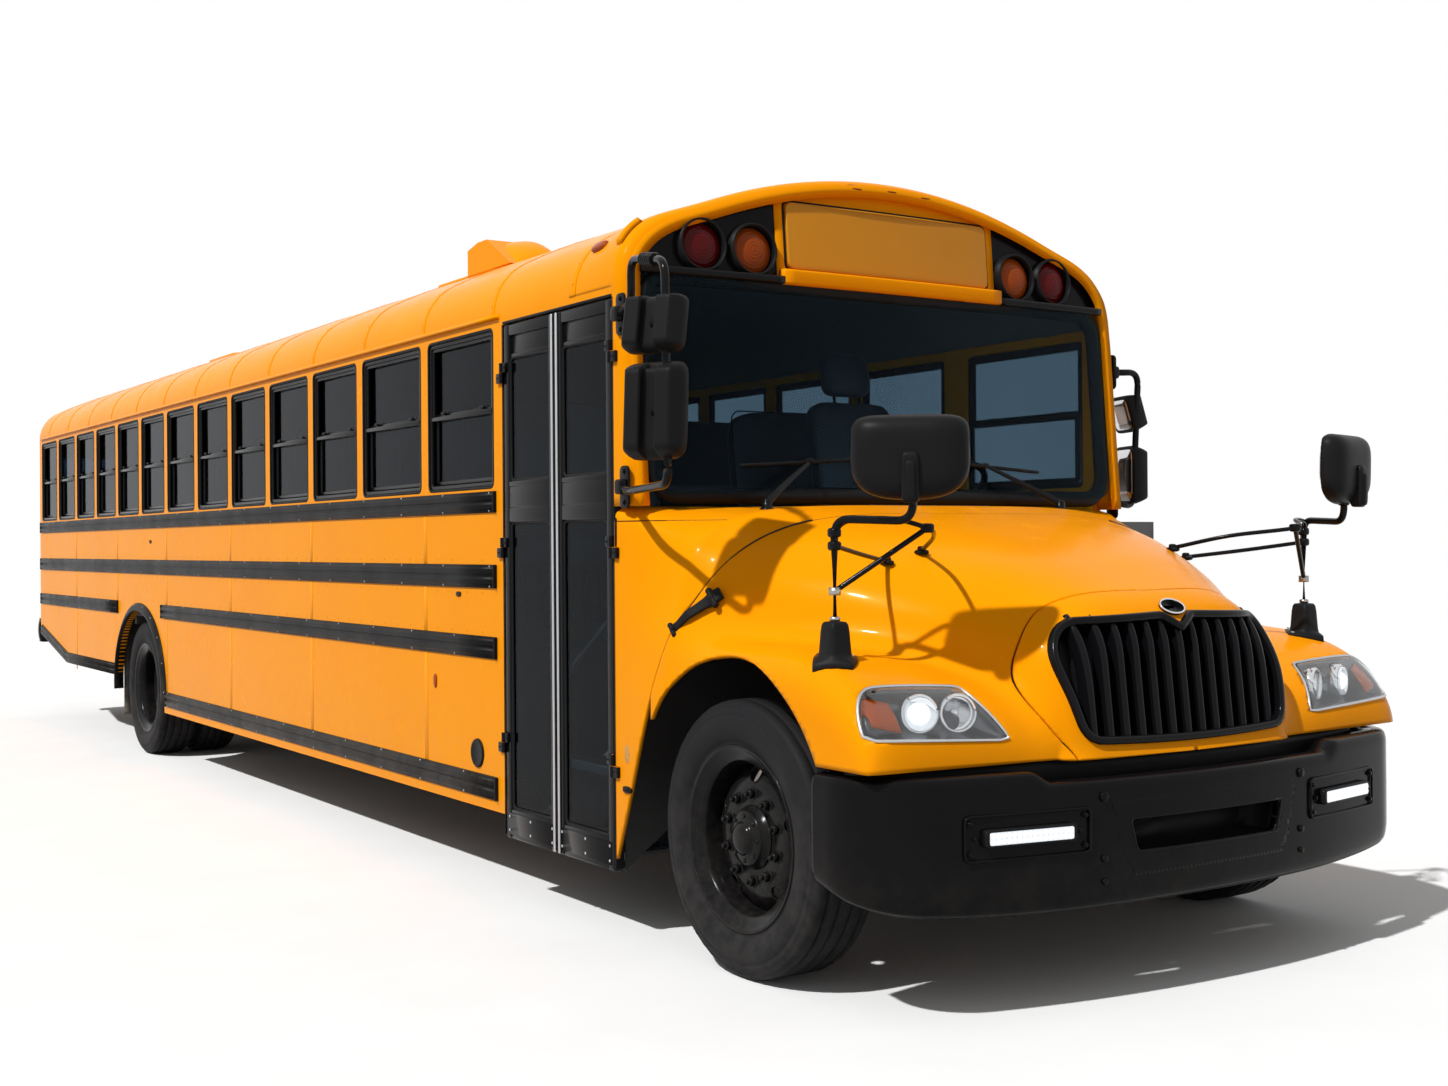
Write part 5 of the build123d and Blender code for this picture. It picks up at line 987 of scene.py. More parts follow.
def buildBumper():
    # a section of fixed columns stands at every point of the plan line; the middle opening is cut out of it
    plan = bumperPlan()
    along = lengthAlong(plan)
    along = np.abs(along - along[-1] / 2)
    climb = (np.abs(plan[:, 1]) - bumperShape["riseFrom"]) / (bumperShape["riseTo"] - bumperShape["riseFrom"])
    rise = np.clip(climb, 0, 1)
    top = bumperShape["top"] + (bumperShape["endTop"] - bumperShape["top"]) * rise ** 2 * (3 - 2 * rise)
    bottom = smoothTable(along, bumperShape["bottomAt"], bumperShape["bottom"])
    outward = inwardOf(plan)
    outward *= np.sign((outward * (plan - [5.0, 0])).sum(axis=1))[:, None]
    # columns of the section: how far in from the plan line, and height measured from the top or the bottom edge
    inset = [0.075, 0.045, 0.020, 0.009, 0.003, 0.0, -0.002] + [-0.003] * 12 + [0.0, 0.004, 0.012, 0.026, 0.045]
    share = [0] * 7 + list(np.linspace(0.03, 0.93, 12)) + [1] * 5
    lift = [-0.004, 0, -0.001, -0.005, -0.012, -0.022, -0.030] + list(np.linspace(-0.030, 0.040, 12))
    lift += [0.040, 0.022, 0.010, 0.003, 0]
    inset, share, lift = np.array(inset), np.array(share), np.array(lift)
    height = top[:, None] * (1 - share) + bottom[:, None] * share + lift
    xy = plan[:, None, :] - outward[:, None, :] * inset[None, :, None]
    points = np.concatenate([xy, height[..., None]], axis=-1)
    rows, columns = height.shape
    points = points.reshape(-1, 3)
    triangles = splitTriangles(gridFaces(rows, columns))

    def outsideOpening(p):
        # negative inside the opening, whose half width grows evenly from its bottom to its top
        z, y = p[..., 2], np.abs(p[..., 1])
        (topHalf, top), (bottomHalf, bottom) = bumperShape["openTop"], bumperShape["openBottom"]
        half = bottomHalf + (topHalf - bottomHalf) * (z - bottom) / (top - bottom)
        return -smoothMin(smoothMin(half - y, top - z, bumperShape["openRound"]), z - bottom, bumperShape["openRound"])

    points, triangles = refine(points, triangles, lambda p: np.abs(outsideOpening(p)) < 0.05)
    points, triangles = clipTriangles(points, triangles, outsideOpening)
    shell = tidyMesh(addMesh("bumper_shell", points, triangles, "bumperBlack"), 1e-6)
    thicken(shell, bumperShape["wall"])
    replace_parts(shell, "front_bumper")


def refine(points, triangles, near):
    # every triangle with a corner in the near zone is split in four
    chosen = near(points)[triangles].any(axis=1)
    chosen &= points[triangles][..., 0].mean(axis=1) > 5.75
    some, rest = triangles[chosen], triangles[~chosen]
    a, b, c = points[some[:, 0]], points[some[:, 1]], points[some[:, 2]]
    start = len(points)
    n = len(some)
    middle = np.concatenate([(a + b) / 2, (b + c) / 2, (c + a) / 2])
    ab, bc, ca = start + np.arange(n), start + n + np.arange(n), start + 2 * n + np.arange(n)
    made = np.concatenate([np.stack([some[:, 0], ab, ca], 1), np.stack([ab, some[:, 1], bc], 1),
                           np.stack([ca, bc, some[:, 2]], 1), np.stack([ab, bc, ca], 1)])
    return np.concatenate([points, middle]), np.concatenate([rest, made])


def bumperFrame(y):
    # a point on the bumper's face at height 0 with its sideways and outward directions
    centreX = bumperShape["frontX"] - bumperShape["noseRadius"]
    angle = math.asin(y / bumperShape["noseRadius"])
    outward = np.array([math.cos(angle), math.sin(angle), 0.0])
    place = np.array([centreX, 0, 0]) + bumperShape["noseRadius"] * outward
    return place, np.array([-outward[1], outward[0], 0.0]), outward


def bumperFace(y):
    # how far forward the nose's wide arc is at a place across
    return bumperShape["frontX"] - bumperShape["noseRadius"] + np.sqrt(bumperShape["noseRadius"] ** 2 - y ** 2)


def buildBumperFittings():
    # lamp recess: a sunk frame with bolts round a bar of small lamps; a box behind the middle opening
    plates, bars, cells, bolts, tunnel, tray = (MeshStore() for _ in range(6))
    up = np.array([0.0, 0.0, 1.0])
    for side in (-1, 1):
        place, sideways, outward = bumperFrame(side * 0.725)
        origin = place + up * 0.547 + outward * 0.001
        frameLine = boxProfile(0.435, 0.130, 0.016, 4)
        plates.sweep(placed(frameLine, origin, sideways, up, 0.002), circleProfile(0.0045, 6), closed=True,
                     up=outward)
        bars.stack(plateRings(boxProfile(0.318, 0.052, 0.010, 4), origin, sideways, up, 0.022, 0.006))
        for a, b in ((-0.200, 0.045), (-0.200, -0.045), (0.200, 0.045), (0.200, -0.045), (-0.182, 0.0), (0.182, 0.0)):
            spot = origin + a * sideways + b * up
            bolts.bolt(spot, outward, 0.008, 0.008)
        tray.stack(plateRings(boxProfile(0.292, 0.038, 0.006, 4), origin + outward * 0.021, sideways, up,
                              0.003, 0.002))
        for a in np.linspace(-0.134, 0.134, 16):
            for b in (-0.0085, 0.0085):
                arc = np.linspace(0, np.pi / 2, 4)
                dome = [(0.0074 * math.sin(t), 0.005 * math.cos(t)) for t in arc] + [(0, 0)]
                cells.turned(dome, origin + outward * 0.0235 + a * sideways + b * up, outward, 10)
        place, sideways, outward = bumperFrame(side * 0.455)
        for z, radius in ((0.640, 0.017), (0.455, 0.012), (0.385, 0.010)):
            bolts.bolt(place + up * z, outward, radius, 0.012)
    (topHalf, top), (bottomHalf, bottom) = bumperShape["openTop"], bumperShape["openBottom"]
    outline = densified(np.array([[-topHalf, top], [-bottomHalf, bottom], [bottomHalf, bottom], [topHalf, top]]), 16)
    rings = []
    for depth, grow in ((0.020, 0.014), (0.050, 0.008), (0.120, 0.0)):
        y = outline[:, 0] * (1 + grow / 0.34)
        z = 0.514 + (outline[:, 1] - 0.514) * (1 + grow / 0.052)
        rings.append(joined(bumperFace(y) - depth, y, z))
    tunnel.stack(rings, capStart=False)
    lip = joined(bumperFace(outline[:, 0]), outline[:, 0], outline[:, 1])
    plates.sweep(lip, circleProfile(0.005, 6), closed=True, up=(1, 0, 0))
    plates.tidy("bumper_lamp_frames", "bumperBlack", "black_plastic")
    bars.tidy("light_bar_bodies", "mouldedBlack", "black_plastic")
    tray.tidy("light_bar_trays", "dimLamp", "grab_steel")
    cells.tidy("light_bar_cells", "litLamp", "lamp_glass")
    bolts.tidy("bumper_bolts", "bumperBlack", "black_plastic")
    thicken(tunnel.tidy("bumper_opening_box", "mouldedBlack", "black_plastic"), 0.004, 1.0)


def buildApronShade():
    # dark strip behind the bumper's top, painted shade under the hood's edge that also stands for the hidden parts
    # there: its plan line drawn inward and carried up under the hood
    plan = bumperPlan(0.120)
    rows = [np.column_stack([plan, np.full(len(plan), z)]) for z in np.linspace(0.560, 0.752, 6)]
    store = MeshStore()
    store.add(np.concatenate(rows), gridFaces(6, len(plan)))
    thicken(store.tidy("bumper_apron_shade", "mouldedBlack", "black_plastic"), 0.006)


buildBumper()
buildApronShade()
buildBumperFittings()
print("bumper made")


# front cap: the roof's section carried forward, rolled round to a rim that frames header and windscreen
capShape = {"rearX": 3.920, "doorFrontX": 4.220, "eave": 2.330, "shoulder": 0.260, "crownRadius": 2.3343,
            "crownCentre": 0.4907, "low": 1.545, "screenTop": 2.380, "faceX": 4.330, "lean": 0.08,
            "roll": 0.054, "rim": 0.046, "bulge": 0.022, "bulgeY": 1.075, "bulgeSpread": 0.150, "sink": 0.036,
            "bow": 0.022}


def capOutline(low, shoulderPoints=26, crownPoints=80):
    # right side up, shoulder arc, crown arc, shoulder arc, left side down; returns across and height
    joint = math.asin((capShape["eave"] - capShape["crownCentre"]) / (capShape["crownRadius"] - capShape["shoulder"]))
    side = joined(halfWidth, np.linspace(low, capShape["eave"], 18))
    turn = np.linspace(0, joint, shoulderPoints)[1:]
    shoulder = joined(halfWidth - capShape["shoulder"] + capShape["shoulder"] * np.cos(turn),
                      capShape["eave"] + capShape["shoulder"] * np.sin(turn))
    turn = np.linspace(joint, np.pi / 2, crownPoints // 2)[1:]
    crown = joined(capShape["crownRadius"] * np.cos(turn),
                   capShape["crownCentre"] + capShape["crownRadius"] * np.sin(turn))
    half = np.concatenate([side, shoulder, crown])
    return np.concatenate([half * (-1, 1), (half[:-1])[::-1]])


def bowAt(y):
    # the front's bow grows with the square of the distance from the middle
    return capShape["bow"] * (np.abs(y) / 0.9) ** 2


def faceAt(y, z):
    # the leaning front plane, bowed back towards the sides
    return capShape["faceX"] + (capShape["screenTop"] - z) * capShape["lean"] - bowAt(y)


def capBulge(outline, x):
    # the shoulders swell outward towards the front: a bell across the corner times a smooth rise along x
    bell = np.exp(-((np.abs(outline[:, 0]) - capShape["bulgeY"]) / capShape["bulgeSpread"]) ** 2)
    bell = bell * np.clip((outline[:, 1] - capShape["eave"]) / 0.12, 0, 1)
    share = np.clip((x - capShape["rearX"] - 0.010) / 0.280, 0, 1)
    return capShape["bulge"] * bell * share ** 2 * (3 - 2 * share)


def capRows(outline, startX, steps):
    # straight rows, a quarter roll at the front and the rim, which is broader in the corners
    inward = inwardOf(outline)
    corner = np.exp(-((np.abs(outline[:, 0]) - 1.13) / 0.10) ** 2) * np.clip((outline[:, 1] - 2.25) / 0.12, 0, 1)
    face = faceAt(outline[:, 0], outline[:, 1])
    rows = []

    def row(x, inset):
        flat = outline + inward * (inset - capBulge(outline, x))[:, None]
        rows.append(joined(x, flat[:, 0], flat[:, 1]))

    zero = np.zeros(len(outline))
    roll = capShape["roll"] * (1 + 0.25 * corner)
    for share in np.linspace(0, 1, steps):
        row(startX + (face - roll - startX) * share, zero)
    for turn in np.linspace(0, np.pi / 2, 9)[1:]:
        row(face - roll + roll * math.sin(turn), roll * (1 - math.cos(turn)))
    rim = capShape["rim"] * (1 + 0.25 * corner)
    row(face + 0.0015, rim - 0.004)
    row(face - 0.003, rim)
    row(face - capShape["sink"], rim + 0.003)
    return rows


def buildCap():
    # full sections from the door forward, and the part above the eaves back to the roof
    outline = capOutline(capShape["low"])
    rows = capRows(outline, capShape["doorFrontX"], 10)
    body = MeshStore()
    body.add(np.concatenate(rows), gridFaces(len(rows), len(outline)))
    aboveEaves = outline[:, 1] >= capShape["eave"] - 1e-6
    upper, inward = outline[aboveEaves], inwardOf(outline)[aboveEaves]
    back = []
    for x in np.linspace(capShape["rearX"], capShape["doorFrontX"], 9):
        flat = upper - inward * capBulge(upper, x)[:, None]
        back.append(joined(x, flat[:, 0], flat[:, 1]))
    body.add(np.concatenate(back), gridFaces(9, len(upper)))
    shell = body.tidy("cap_shell", "busYellow", "yellow_paint", merge=1e-4)
    thicken(shell, 0.018)
    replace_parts(shell, "front_cap")


def headerPatch(store, low, high, bottom, sink, columns):
    # a leaning panel between two places across, from the bottom edge up to just under the rim
    y = np.linspace(low, high, columns)
    # the top follows the roof's outline, drawn in by the rim
    inset = capShape["rim"] - 0.008
    reach = np.minimum(np.abs(y), 1.162)
    side = halfWidth - capShape["shoulder"]
    crown = capShape["crownCentre"] + np.sqrt((capShape["crownRadius"] - inset) ** 2 - reach ** 2)
    shoulder = capShape["eave"] + np.sqrt(np.maximum((capShape["shoulder"] - inset) ** 2
                                                     - np.maximum(reach - side, 0) ** 2, 1e-6))
    joint = 0.4623 * (capShape["crownRadius"] - inset)
    swell = capShape["bulge"] * np.exp(-((reach - capShape["bulgeY"]) / capShape["bulgeSpread"]) ** 2)
    top = np.maximum(np.where(reach < joint, crown, shoulder) + swell, bottom + 0.004)
    share = np.linspace(0, 1, 14)[:, None]
    z = bottom + (top - bottom)[None, :] * share
    grid = joined(faceAt(y[None, :], z) - sink, np.broadcast_to(y, z.shape), z)
    store.add(grid.reshape(-1, 3), gridFaces(14, columns))


def buildHeader():
    # black panels with two lamps a side, the yellow middle with its blank board, the ledge and the marker lamps
    black, yellow, sign, groove, lens, bezels, amber = (MeshStore() for _ in range(7))
    headerPatch(black, -1.160, -0.535, 2.385, 0.032, 40)
    headerPatch(black, 0.535, 1.160, 2.385, 0.032, 40)
    headerPatch(yellow, -0.545, 0.545, 2.400, 0.028, 40)
    tidyMesh(thicken(black.piece("header_panels", "headerBlack", "black_paint"), 0.020))
    thicken(yellow.tidy("header_centre", "busYellow", "yellow_paint"), 0.020)
    lean = np.array([-capShape["lean"], 0, 1.0]) / math.hypot(capShape["lean"], 1)
    across = np.array([0.0, 1.0, 0.0])
    origin = np.array([faceAt(0.0, 2.571) - 0.030, 0.0, 2.571])
    dense = densified(boxProfile(1.000, 0.256, 0.026, 6), 12)
    plate = plateRings(dense, origin, across, lean, 0.016, 0.005)
    for ring in plate:
        ring[:, 0] -= bowAt(ring[:, 1])
    sign.stack(plate)
    # the board's darker yellow is duller paint and painted shade of the recess
    board = sign.tidy("sign_plate", "signYellowAndShade", "yellow_paint")
    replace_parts(board, "sign_board")
    edge = placed(dense * (1.012, 1.04), origin, across, lean, 0.001)
    edge[:, 0] -= bowAt(edge[:, 1])
    groove.sweep(edge, circleProfile(0.0055, 6), closed=True, up=(1, 0, 0))
    groove.tidy("sign_seal", "sealRubber", "black_plastic")
    # ledge under the header: yellow below the sign, black beside it
    for low, high, finish, name, slotName in ((-0.540, 0.540, "busYellow", "header_lip", "yellow_paint"),
                                              (-1.140, -0.540, "glossBlack", "header_lip_right", "black_paint"),
                                              (0.540, 1.140, "glossBlack", "header_lip_left", "black_paint")):
        y = np.linspace(low, high, 24)
        tall = 0.058 if finish == "busYellow" else 0.030
        path = joined(faceAt(y, 2.39) - 0.006, y, 2.379 + tall / 2)
        strip = MeshStore()
        strip.sweep(path, boxProfile(0.046, tall, 0.010, 4))
        strip.tidy(name, finish, slotName)
    for side in (-1, 1):
        for y, store in ((0.655, amber), (0.875, lens)):
            spot = np.array([faceAt(y, 2.500) - 0.034, side * y, 2.500])
            store.add(*ringedLens(spot, (1, side * 0.02, 0.08), 0.088, 0.026))
            bezel = [(0.089, 0.000), (0.089, 0.030), (0.093, 0.035), (0.098, 0.033), (0.105, 0.004), (0.106, 0.0)]
            bezels.turned(bezel, spot, (1, side * 0.02, 0.08), 48)
    for y in (-0.175, 0.0, 0.175):
        top = capShape["crownCentre"] + math.sqrt(capShape["crownRadius"] ** 2 - y * y)
        place = np.array([faceAt(y, top) - 0.006, y, top - 0.036])
        amber.box(place, (0.024, 0.088, 0.026), 3.2, 10, 20, [[0.87, 0, 0.5], [0, 1, 0], [-0.5, 0, 0.87]])
    for side in (-1, 1):
        amber.box((4.036, side * 1.160, 2.505), (0.105, 0.046, 0.030), 3.2, 10, 18,
                  [[1, 0, 0], [0, 0.657, -0.754 * side], [0, 0.754 * side, 0.657]])
    reds = lens.tidy("warning_lenses_red", "redLens", "red_lens")
    ambers = amber.tidy("warning_lenses_amber", "amberLens", "amber_lens")
    rings = bezels.tidy("lamp_bezels", "mouldedBlack", "black_paint")
    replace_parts(reds, "lamps_red")
    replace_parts(ambers, "lamps_amber")
    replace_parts(rings, "lamp_panels")


def ringedLens(centre, axis, radius, height):
    # a shallow dome with concentric prisms and, in its outer ring, radial ones
    share = np.linspace(0, 1, 34)
    dome = height * (1 - share ** 2.6)
    ripple = 0.0016 * np.abs(np.sin(share * np.pi * 7))
    profile = [(radius * s, d + r) for s, d, r in zip(share, dome, ripple)] + [(radius, -0.003), (0, -0.003)]
    return lathe(profile, centre, axis, 48)


buildCap()
buildHeader()
print("cap and header made")


# windscreen's opening across the leaning face
screenShape = {"half": 1.116, "height": 0.786, "corner": 0.105, "middle": 1.983, "sink": 0.012}


def buildScreen():
    # rubber round the windscreen: its section is carried round the opening, away from its middle
    dense = densified(boxProfile(2 * screenShape["half"], screenShape["height"], screenShape["corner"], 9), 5)
    rubber = MeshStore()
    z = screenShape["middle"] + dense[:, 1]
    ring = joined(faceAt(dense[:, 0], z) - screenShape["sink"], dense[:, 0], z)
    profile = np.array([[-0.030, -0.014], [-0.016, -0.004], [0.0, 0.003], [0.018, 0.000], [0.034, -0.012],
                        [0.034, -0.026], [-0.030, -0.026]])
    tangent = np.roll(ring, -1, axis=0) - np.roll(ring, 1, axis=0)
    tangent /= np.linalg.norm(tangent, axis=1, keepdims=True)
    outward = np.array([1.0, 0, capShape["lean"]])
    outward /= np.linalg.norm(outward)
    away = np.cross(tangent, outward)
    away /= np.linalg.norm(away, axis=1, keepdims=True)
    sign = np.sign((away * (ring - ring.mean(axis=0))).sum(axis=1))[:, None]
    away = away * sign
    points = ring[:, None, :] + profile[None, :, 0:1] * away[:, None, :] + profile[None, :, 1:2] * outward
    rubber.add(points.reshape(-1, 3), gridFaces(len(ring), len(profile), wrapRows=True, wrapColumns=True))
    rubber.tidy("windscreen_rubber", "sealRubber", "black_plastic")


buildScreen()
print("windscreen rubber made")


# cowl: the box of the body at the door turns into the hood's own form at the seam between them
cowlShape = {"rearX": 4.2215, "frontX": 4.800, "top": 1.546, "low": 0.252, "gap": 0.005, "wall": 0.014,
             "rows": 44, "columns": 150, "grooveZ": 1.492, "slotHalf": 0.300, "slots": 16, "slotX": (4.492, 4.530),
             "firewallX": 4.560, "wheelClear": (0.760, 1.010)}


def cowlDistance(points):
    # the body's box at the door, the hood at the seam, and an eased share of both between
    x, y, z = points[..., 0], points[..., 1], points[..., 2]
    seam = seamAt(z)
    share = np.clip((x - cowlShape["rearX"]) / (seam - cowlShape["rearX"]), 0, 1)
    share = share ** 2 * (3 - 2 * share)
    box = smoothMax(np.abs(y) - halfWidth, z - cowlShape["top"], 0.06)
    return (1 - share) * box + share * hoodDistance(points)


def cowlGrid():
    # rays over the top from side to side, then straight skirts down to the low edge
    x = np.linspace(cowlShape["rearX"], cowlShape["frontX"], cowlShape["rows"])
    turn = np.linspace(0, np.pi, cowlShape["columns"])
    directions = np.broadcast_to(joined(0.0, -np.cos(turn), np.sin(turn)), (len(x), len(turn), 3))
    origins = np.zeros(directions.shape)
    origins[..., 0] = x[:, None]
    origins[..., 2] = hoodShape["baseHeight"]
    upper = marchRays(origins, directions, 0.05, 1.9, cowlDistance)
    share = np.linspace(0, 1, 10)[1:, None, None]

    def skirt(edge, order):
        low = edge.copy()
        low[:, 2] = cowlShape["low"]
        low[:, 1] = np.sign(edge[:, 1]) * halfWidth
        strip = edge[None] * (1 - share) + low[None] * share
        return np.moveaxis(strip, 0, 1)[:, order]

    return np.concatenate([skirt(upper[:, 0], slice(None, None, -1)), upper, skirt(upper[:, -1], slice(None))], axis=1)


def onCowlSide(x, z, side):
    # points of the cowl met by rays that run sideways or up
    origins = joined(x, side * 0.2, z)
    return marchRays(origins, np.broadcast_to([0.0, side, 0], origins.shape), 0.0, 1.3, cowlDistance)


def onCowlTop(x, y):
    origins = joined(x, y, 0.80)
    return marchRays(origins, np.broadcast_to([0.0, 0, 1.0], origins.shape), 0.0, 1.0, cowlDistance)


def buildCowl():
    # shell between door and seam, then the firewall, the rubbers, the grooves and the vent slots
    grid = cowlGrid()
    triangles = splitTriangles(gridFaces(*grid.shape[:2]))
    points = grid.reshape(-1, 3)
    points, triangles = clipTriangles(points, triangles, lambda p: archField(p, 0.004))
    points, triangles = clipTriangles(points, triangles, lambda p: -rearSeam(p) - cowlShape["gap"])
    shell = tidyMesh(addMesh("cowl_shell", points, triangles, "busYellow"), 1e-6)
    thicken(shell, cowlShape["wall"])
    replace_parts(shell, "cowl")
    # firewall behind the hood, drawn in towards the middle ring by ring
    columns = 90
    turn = np.linspace(0, np.pi, columns)
    origins = np.zeros((columns, 3))
    origins[:, 0] = cowlShape["firewallX"]
    origins[:, 2] = hoodShape["baseHeight"]
    rim = marchRays(origins, joined(0 * turn, -np.cos(turn), np.sin(turn)), 0.05, 1.9, cowlDistance)
    centre = np.array([cowlShape["firewallX"], 0.0, 1.05])
    share = np.array([0.985, 0.93, 0.925, 0.80, 0.79, 0.66, 0.65, 0.50, 0.49, 0.30, 0.0])
    depth = np.array([0.0, 0.0, 0.008, 0.008, 0.0, 0.0, 0.008, 0.008, 0.0, 0.0, 0.0])
    wall = centre + (rim[None] - centre) * share[:, None, None]
    wall[..., 0] += depth[:, None]
    # the lower corners stay clear of the turning wheels
    panel = splitTriangles(gridFaces(len(share), columns))
    clearHalf, clearTop = cowlShape["wheelClear"]
    panelPoints, panel = clipTriangles(wall.reshape(-1, 3), panel,
                                       lambda p: np.maximum(clearHalf - np.abs(p[:, 1]), p[:, 2] - clearTop))
    thicken(tidyMesh(addMesh("firewall_panel", panelPoints, panel, "mouldedBlack")), 0.012)
    # rubber along the seam, the groove below the screen pillars, and the vent slot under the glass
    rubber, slots = MeshStore(), MeshStore()
    for side in (-1, 1):
        z = np.linspace(0.985, 1.486, 60)
        x = seamAt(z) - 0.0025
        path = onCowlSide(x, z, side) - np.array([0, side * 0.008, 0])
        rubber.sweep(path, circleProfile(0.0062, 8), up=(0, side, 0))
        x = np.linspace(cowlShape["rearX"] + 0.002, 4.56, 30)
        path = onCowlSide(x, np.full_like(x, cowlShape["grooveZ"]), side)
        rubber.sweep(path, boxProfile(0.0030, 0.0016), up=(0, side, 0))
    # over the top the seam's place and height are found in turn until they agree
    y = np.linspace(-1.03, 1.03, 90)
    top = onCowlTop(np.full_like(y, 4.772), y)
    for _ in range(6):
        top = onCowlTop(seamAt(top[:, 2]) - 0.0025, y)
    top = top[top[:, 2] > 1.480] - np.array([0, 0, 0.006])
    rubber.sweep(top, circleProfile(0.0062, 8), up=(0, 0, 1))
    rubber.tidy("cowl_seams", "sealRubber", "black_plastic")
    rearX, frontX = cowlShape["slotX"]
    for k in range(cowlShape["slots"]):
        ends = -cowlShape["slotHalf"] + (k + np.array([0.06, 0.94])) * cowlShape["slotHalf"] / (cowlShape["slots"] // 2)
        across = np.linspace(ends[0], ends[1], 6)
        rows = []
        for share in np.linspace(0, 1, 5):
            place = onCowlTop(np.full(6, rearX + (frontX - rearX) * share), across)
            place[:, 2] += 0.0012 + 0.004 * math.sin(math.pi * share)
            rows.append(place)
        slots.add(np.concatenate(rows), gridFaces(5, 6))
    tidyMesh(thicken(slots.piece("cowl_vent", "mouldedBlack", "black_plastic"), 0.004))


def buildLatches():
    # rubber hood latches: a tapering strap over the seam with a grip at its upper end and a hook at the lower
    straps = MeshStore()
    for side in (-1, 1):
        t = np.linspace(0, 1, 26)
        x = -0.345 + 0.150 * t
        z = 1.110 + 0.135 * t
        path = onHoodSide(np.maximum(x, -0.28), z, side)
        path[:, 0] = frontAxle + x
        lift = 0.010 + 0.013 * np.sin(np.pi * t) + 0.006 * (t > 0.8)
        path[:, 1] += side * lift
        size = 0.55 + 0.45 * t + 0.25 * np.exp(-((t - 0.86) / 0.10) ** 2) + 0.22 * np.exp(-((t - 0.10) / 0.06) ** 2)
        straps.sweep(path, boxProfile(0.044, 0.016, 0.006, 4), up=(0, side, 0), scale=size)
        along = (path[-1] - path[0]) / np.linalg.norm(path[-1] - path[0])
        across = np.cross(along, [0, side, 0])
        for t0, half, radius in ((0.87, 0.034, 0.011), (0.06, 0.022, 0.009)):
            middle = path[0] + (path[-1] - path[0]) * t0 + np.array([0, side * 0.012, 0])
            bar = middle + across * np.linspace(-half, half, 8)[:, None]
            straps.sweep(bar, circleProfile(radius, 12), up=(0, side, 0))
            for end in (bar[0], bar[-1]):
                straps.box(end, (radius * 2.2, radius * 2.2, radius * 2.2), 2.0, 8, 12)
        for spot in (path[2], path[-4]):
            straps.bolt(spot + np.array([0, side * 0.010, 0]), (0, side, 0), 0.008, 0.006)
    straps.tidy("hood_latches", "mouldedBlack", "black_plastic", "hood")


buildCowl()
buildLatches()
print("cowl and latches made")


# crossview mirrors on the fenders, side mirrors on their hoops
driverEye = np.array([3.820, 0.480, 1.700])


def aimAtDriver(centre):
    # unit direction from a mirror to the driver's eye
    reach = driverEye - centre
    return reach / np.linalg.norm(reach)


def headAxes(aim):
    # across, up and back of a mirror head whose glass looks along aim
    across = np.cross([0, 0, 1.0], aim)
    across /= np.linalg.norm(across)
    return across, np.cross(aim, across), -aim


def mirrorHead(store, glass, centre, aim, width, height, depth, powers, groove, lift=0.0):
    # columns across, rows up; depth times a rounded fall to the edge, less the groove down the middle
    across, up, back = headAxes(aim)
    u = np.linspace(-1, 1, 41)
    u = np.sign(u) * (1 - (1 - np.abs(u)) ** 1.35)
    if groove:
        edge = groove / (width / 2)
        u = np.unique(np.concatenate([u, [-edge - 0.05, -edge, edge, edge + 0.05]]))
    v = np.linspace(-1, 1, 29)
    v = np.sign(v) * (1 - (1 - np.abs(v)) ** 1.35)
    u, v = np.meshgrid(u, v, indexing="ij")
    power = np.where(v > 0, powers[0], powers[1])
    reach = (1 - np.abs(u) ** power) ** (1 / power)
    fall = (1 - np.abs(u) ** 4.5) ** 0.42 * (1 - np.abs(v) ** 4.5) ** 0.42
    if groove:
        bevel = smoothMin(0.34 + (1 - np.abs(u)) / 0.40, 0.34 + (1 - np.abs(v)) / 0.30, 0.10)
        fall = smoothMin(bevel, 1.0, 0.10) * (1 - np.abs(u) ** 22) ** 0.45 * (1 - np.abs(v) ** 22) ** 0.45
    rise = depth * fall
    if groove:
        inside = np.clip((edge + 0.05 - np.abs(u)) / 0.05, 0, 1)
        rise = rise - inside * 0.52 * depth * fall
    flat = (centre + (width / 2) * u[..., None] * across + (height / 2) * (v * reach)[..., None] * up)
    store.add((flat + rise[..., None] * back).reshape(-1, 3), gridFaces(*u.shape))
    rim = 0.011 * np.minimum(fall * 3, 1)
    dish = np.clip((fall - 0.25) / 0.1, 0, 1) * 0.004
    store.add((flat - (rim - dish)[..., None] * back).reshape(-1, 3), gridFaces(*u.shape))
    outline = np.linspace(0, 2 * np.pi, 48, endpoint=False)
    c, s = np.cos(outline), np.sin(outline)
    power = np.where(s > 0, powers[0], powers[1])
    a = superellipse(c, power) * (width / 2 - 0.016)
    b = superellipse(s, power) * (height / 2 - 0.016)
    rings = []
    for share, rise in ((1.0, -0.0085), (1.0, -0.0105), (0.6, -0.0105 - lift * 0.64), (0.25, -0.0105 - lift * 0.94)):
        rings.append(centre + share * (a[:, None] * across + b[:, None] * up) + rise * back)
    glass.stack(rings)


def clampBlock(store, centre, along, size, out):
    # a clamp of two rounded halves with a bolt at each end
    along = np.asarray(along, float) / np.linalg.norm(along)
    out = np.asarray(out, float) - np.dot(out, along) * along
    out /= np.linalg.norm(out)
    across = np.cross(along, out)
    axes = np.array([along, across, out])
    for way in (-1, 1):
        store.box(centre + out * way * size[2] * 0.27, (size[0], size[1], size[2] * 0.50), 5.0, 10, 20, axes)
    for end in (-0.36, 0.36):
        store.bolt(centre + across * size[1] * 0.33 + along * size[0] * end + out * size[2] * 0.5,
                   out, 0.0065, 0.006, False)


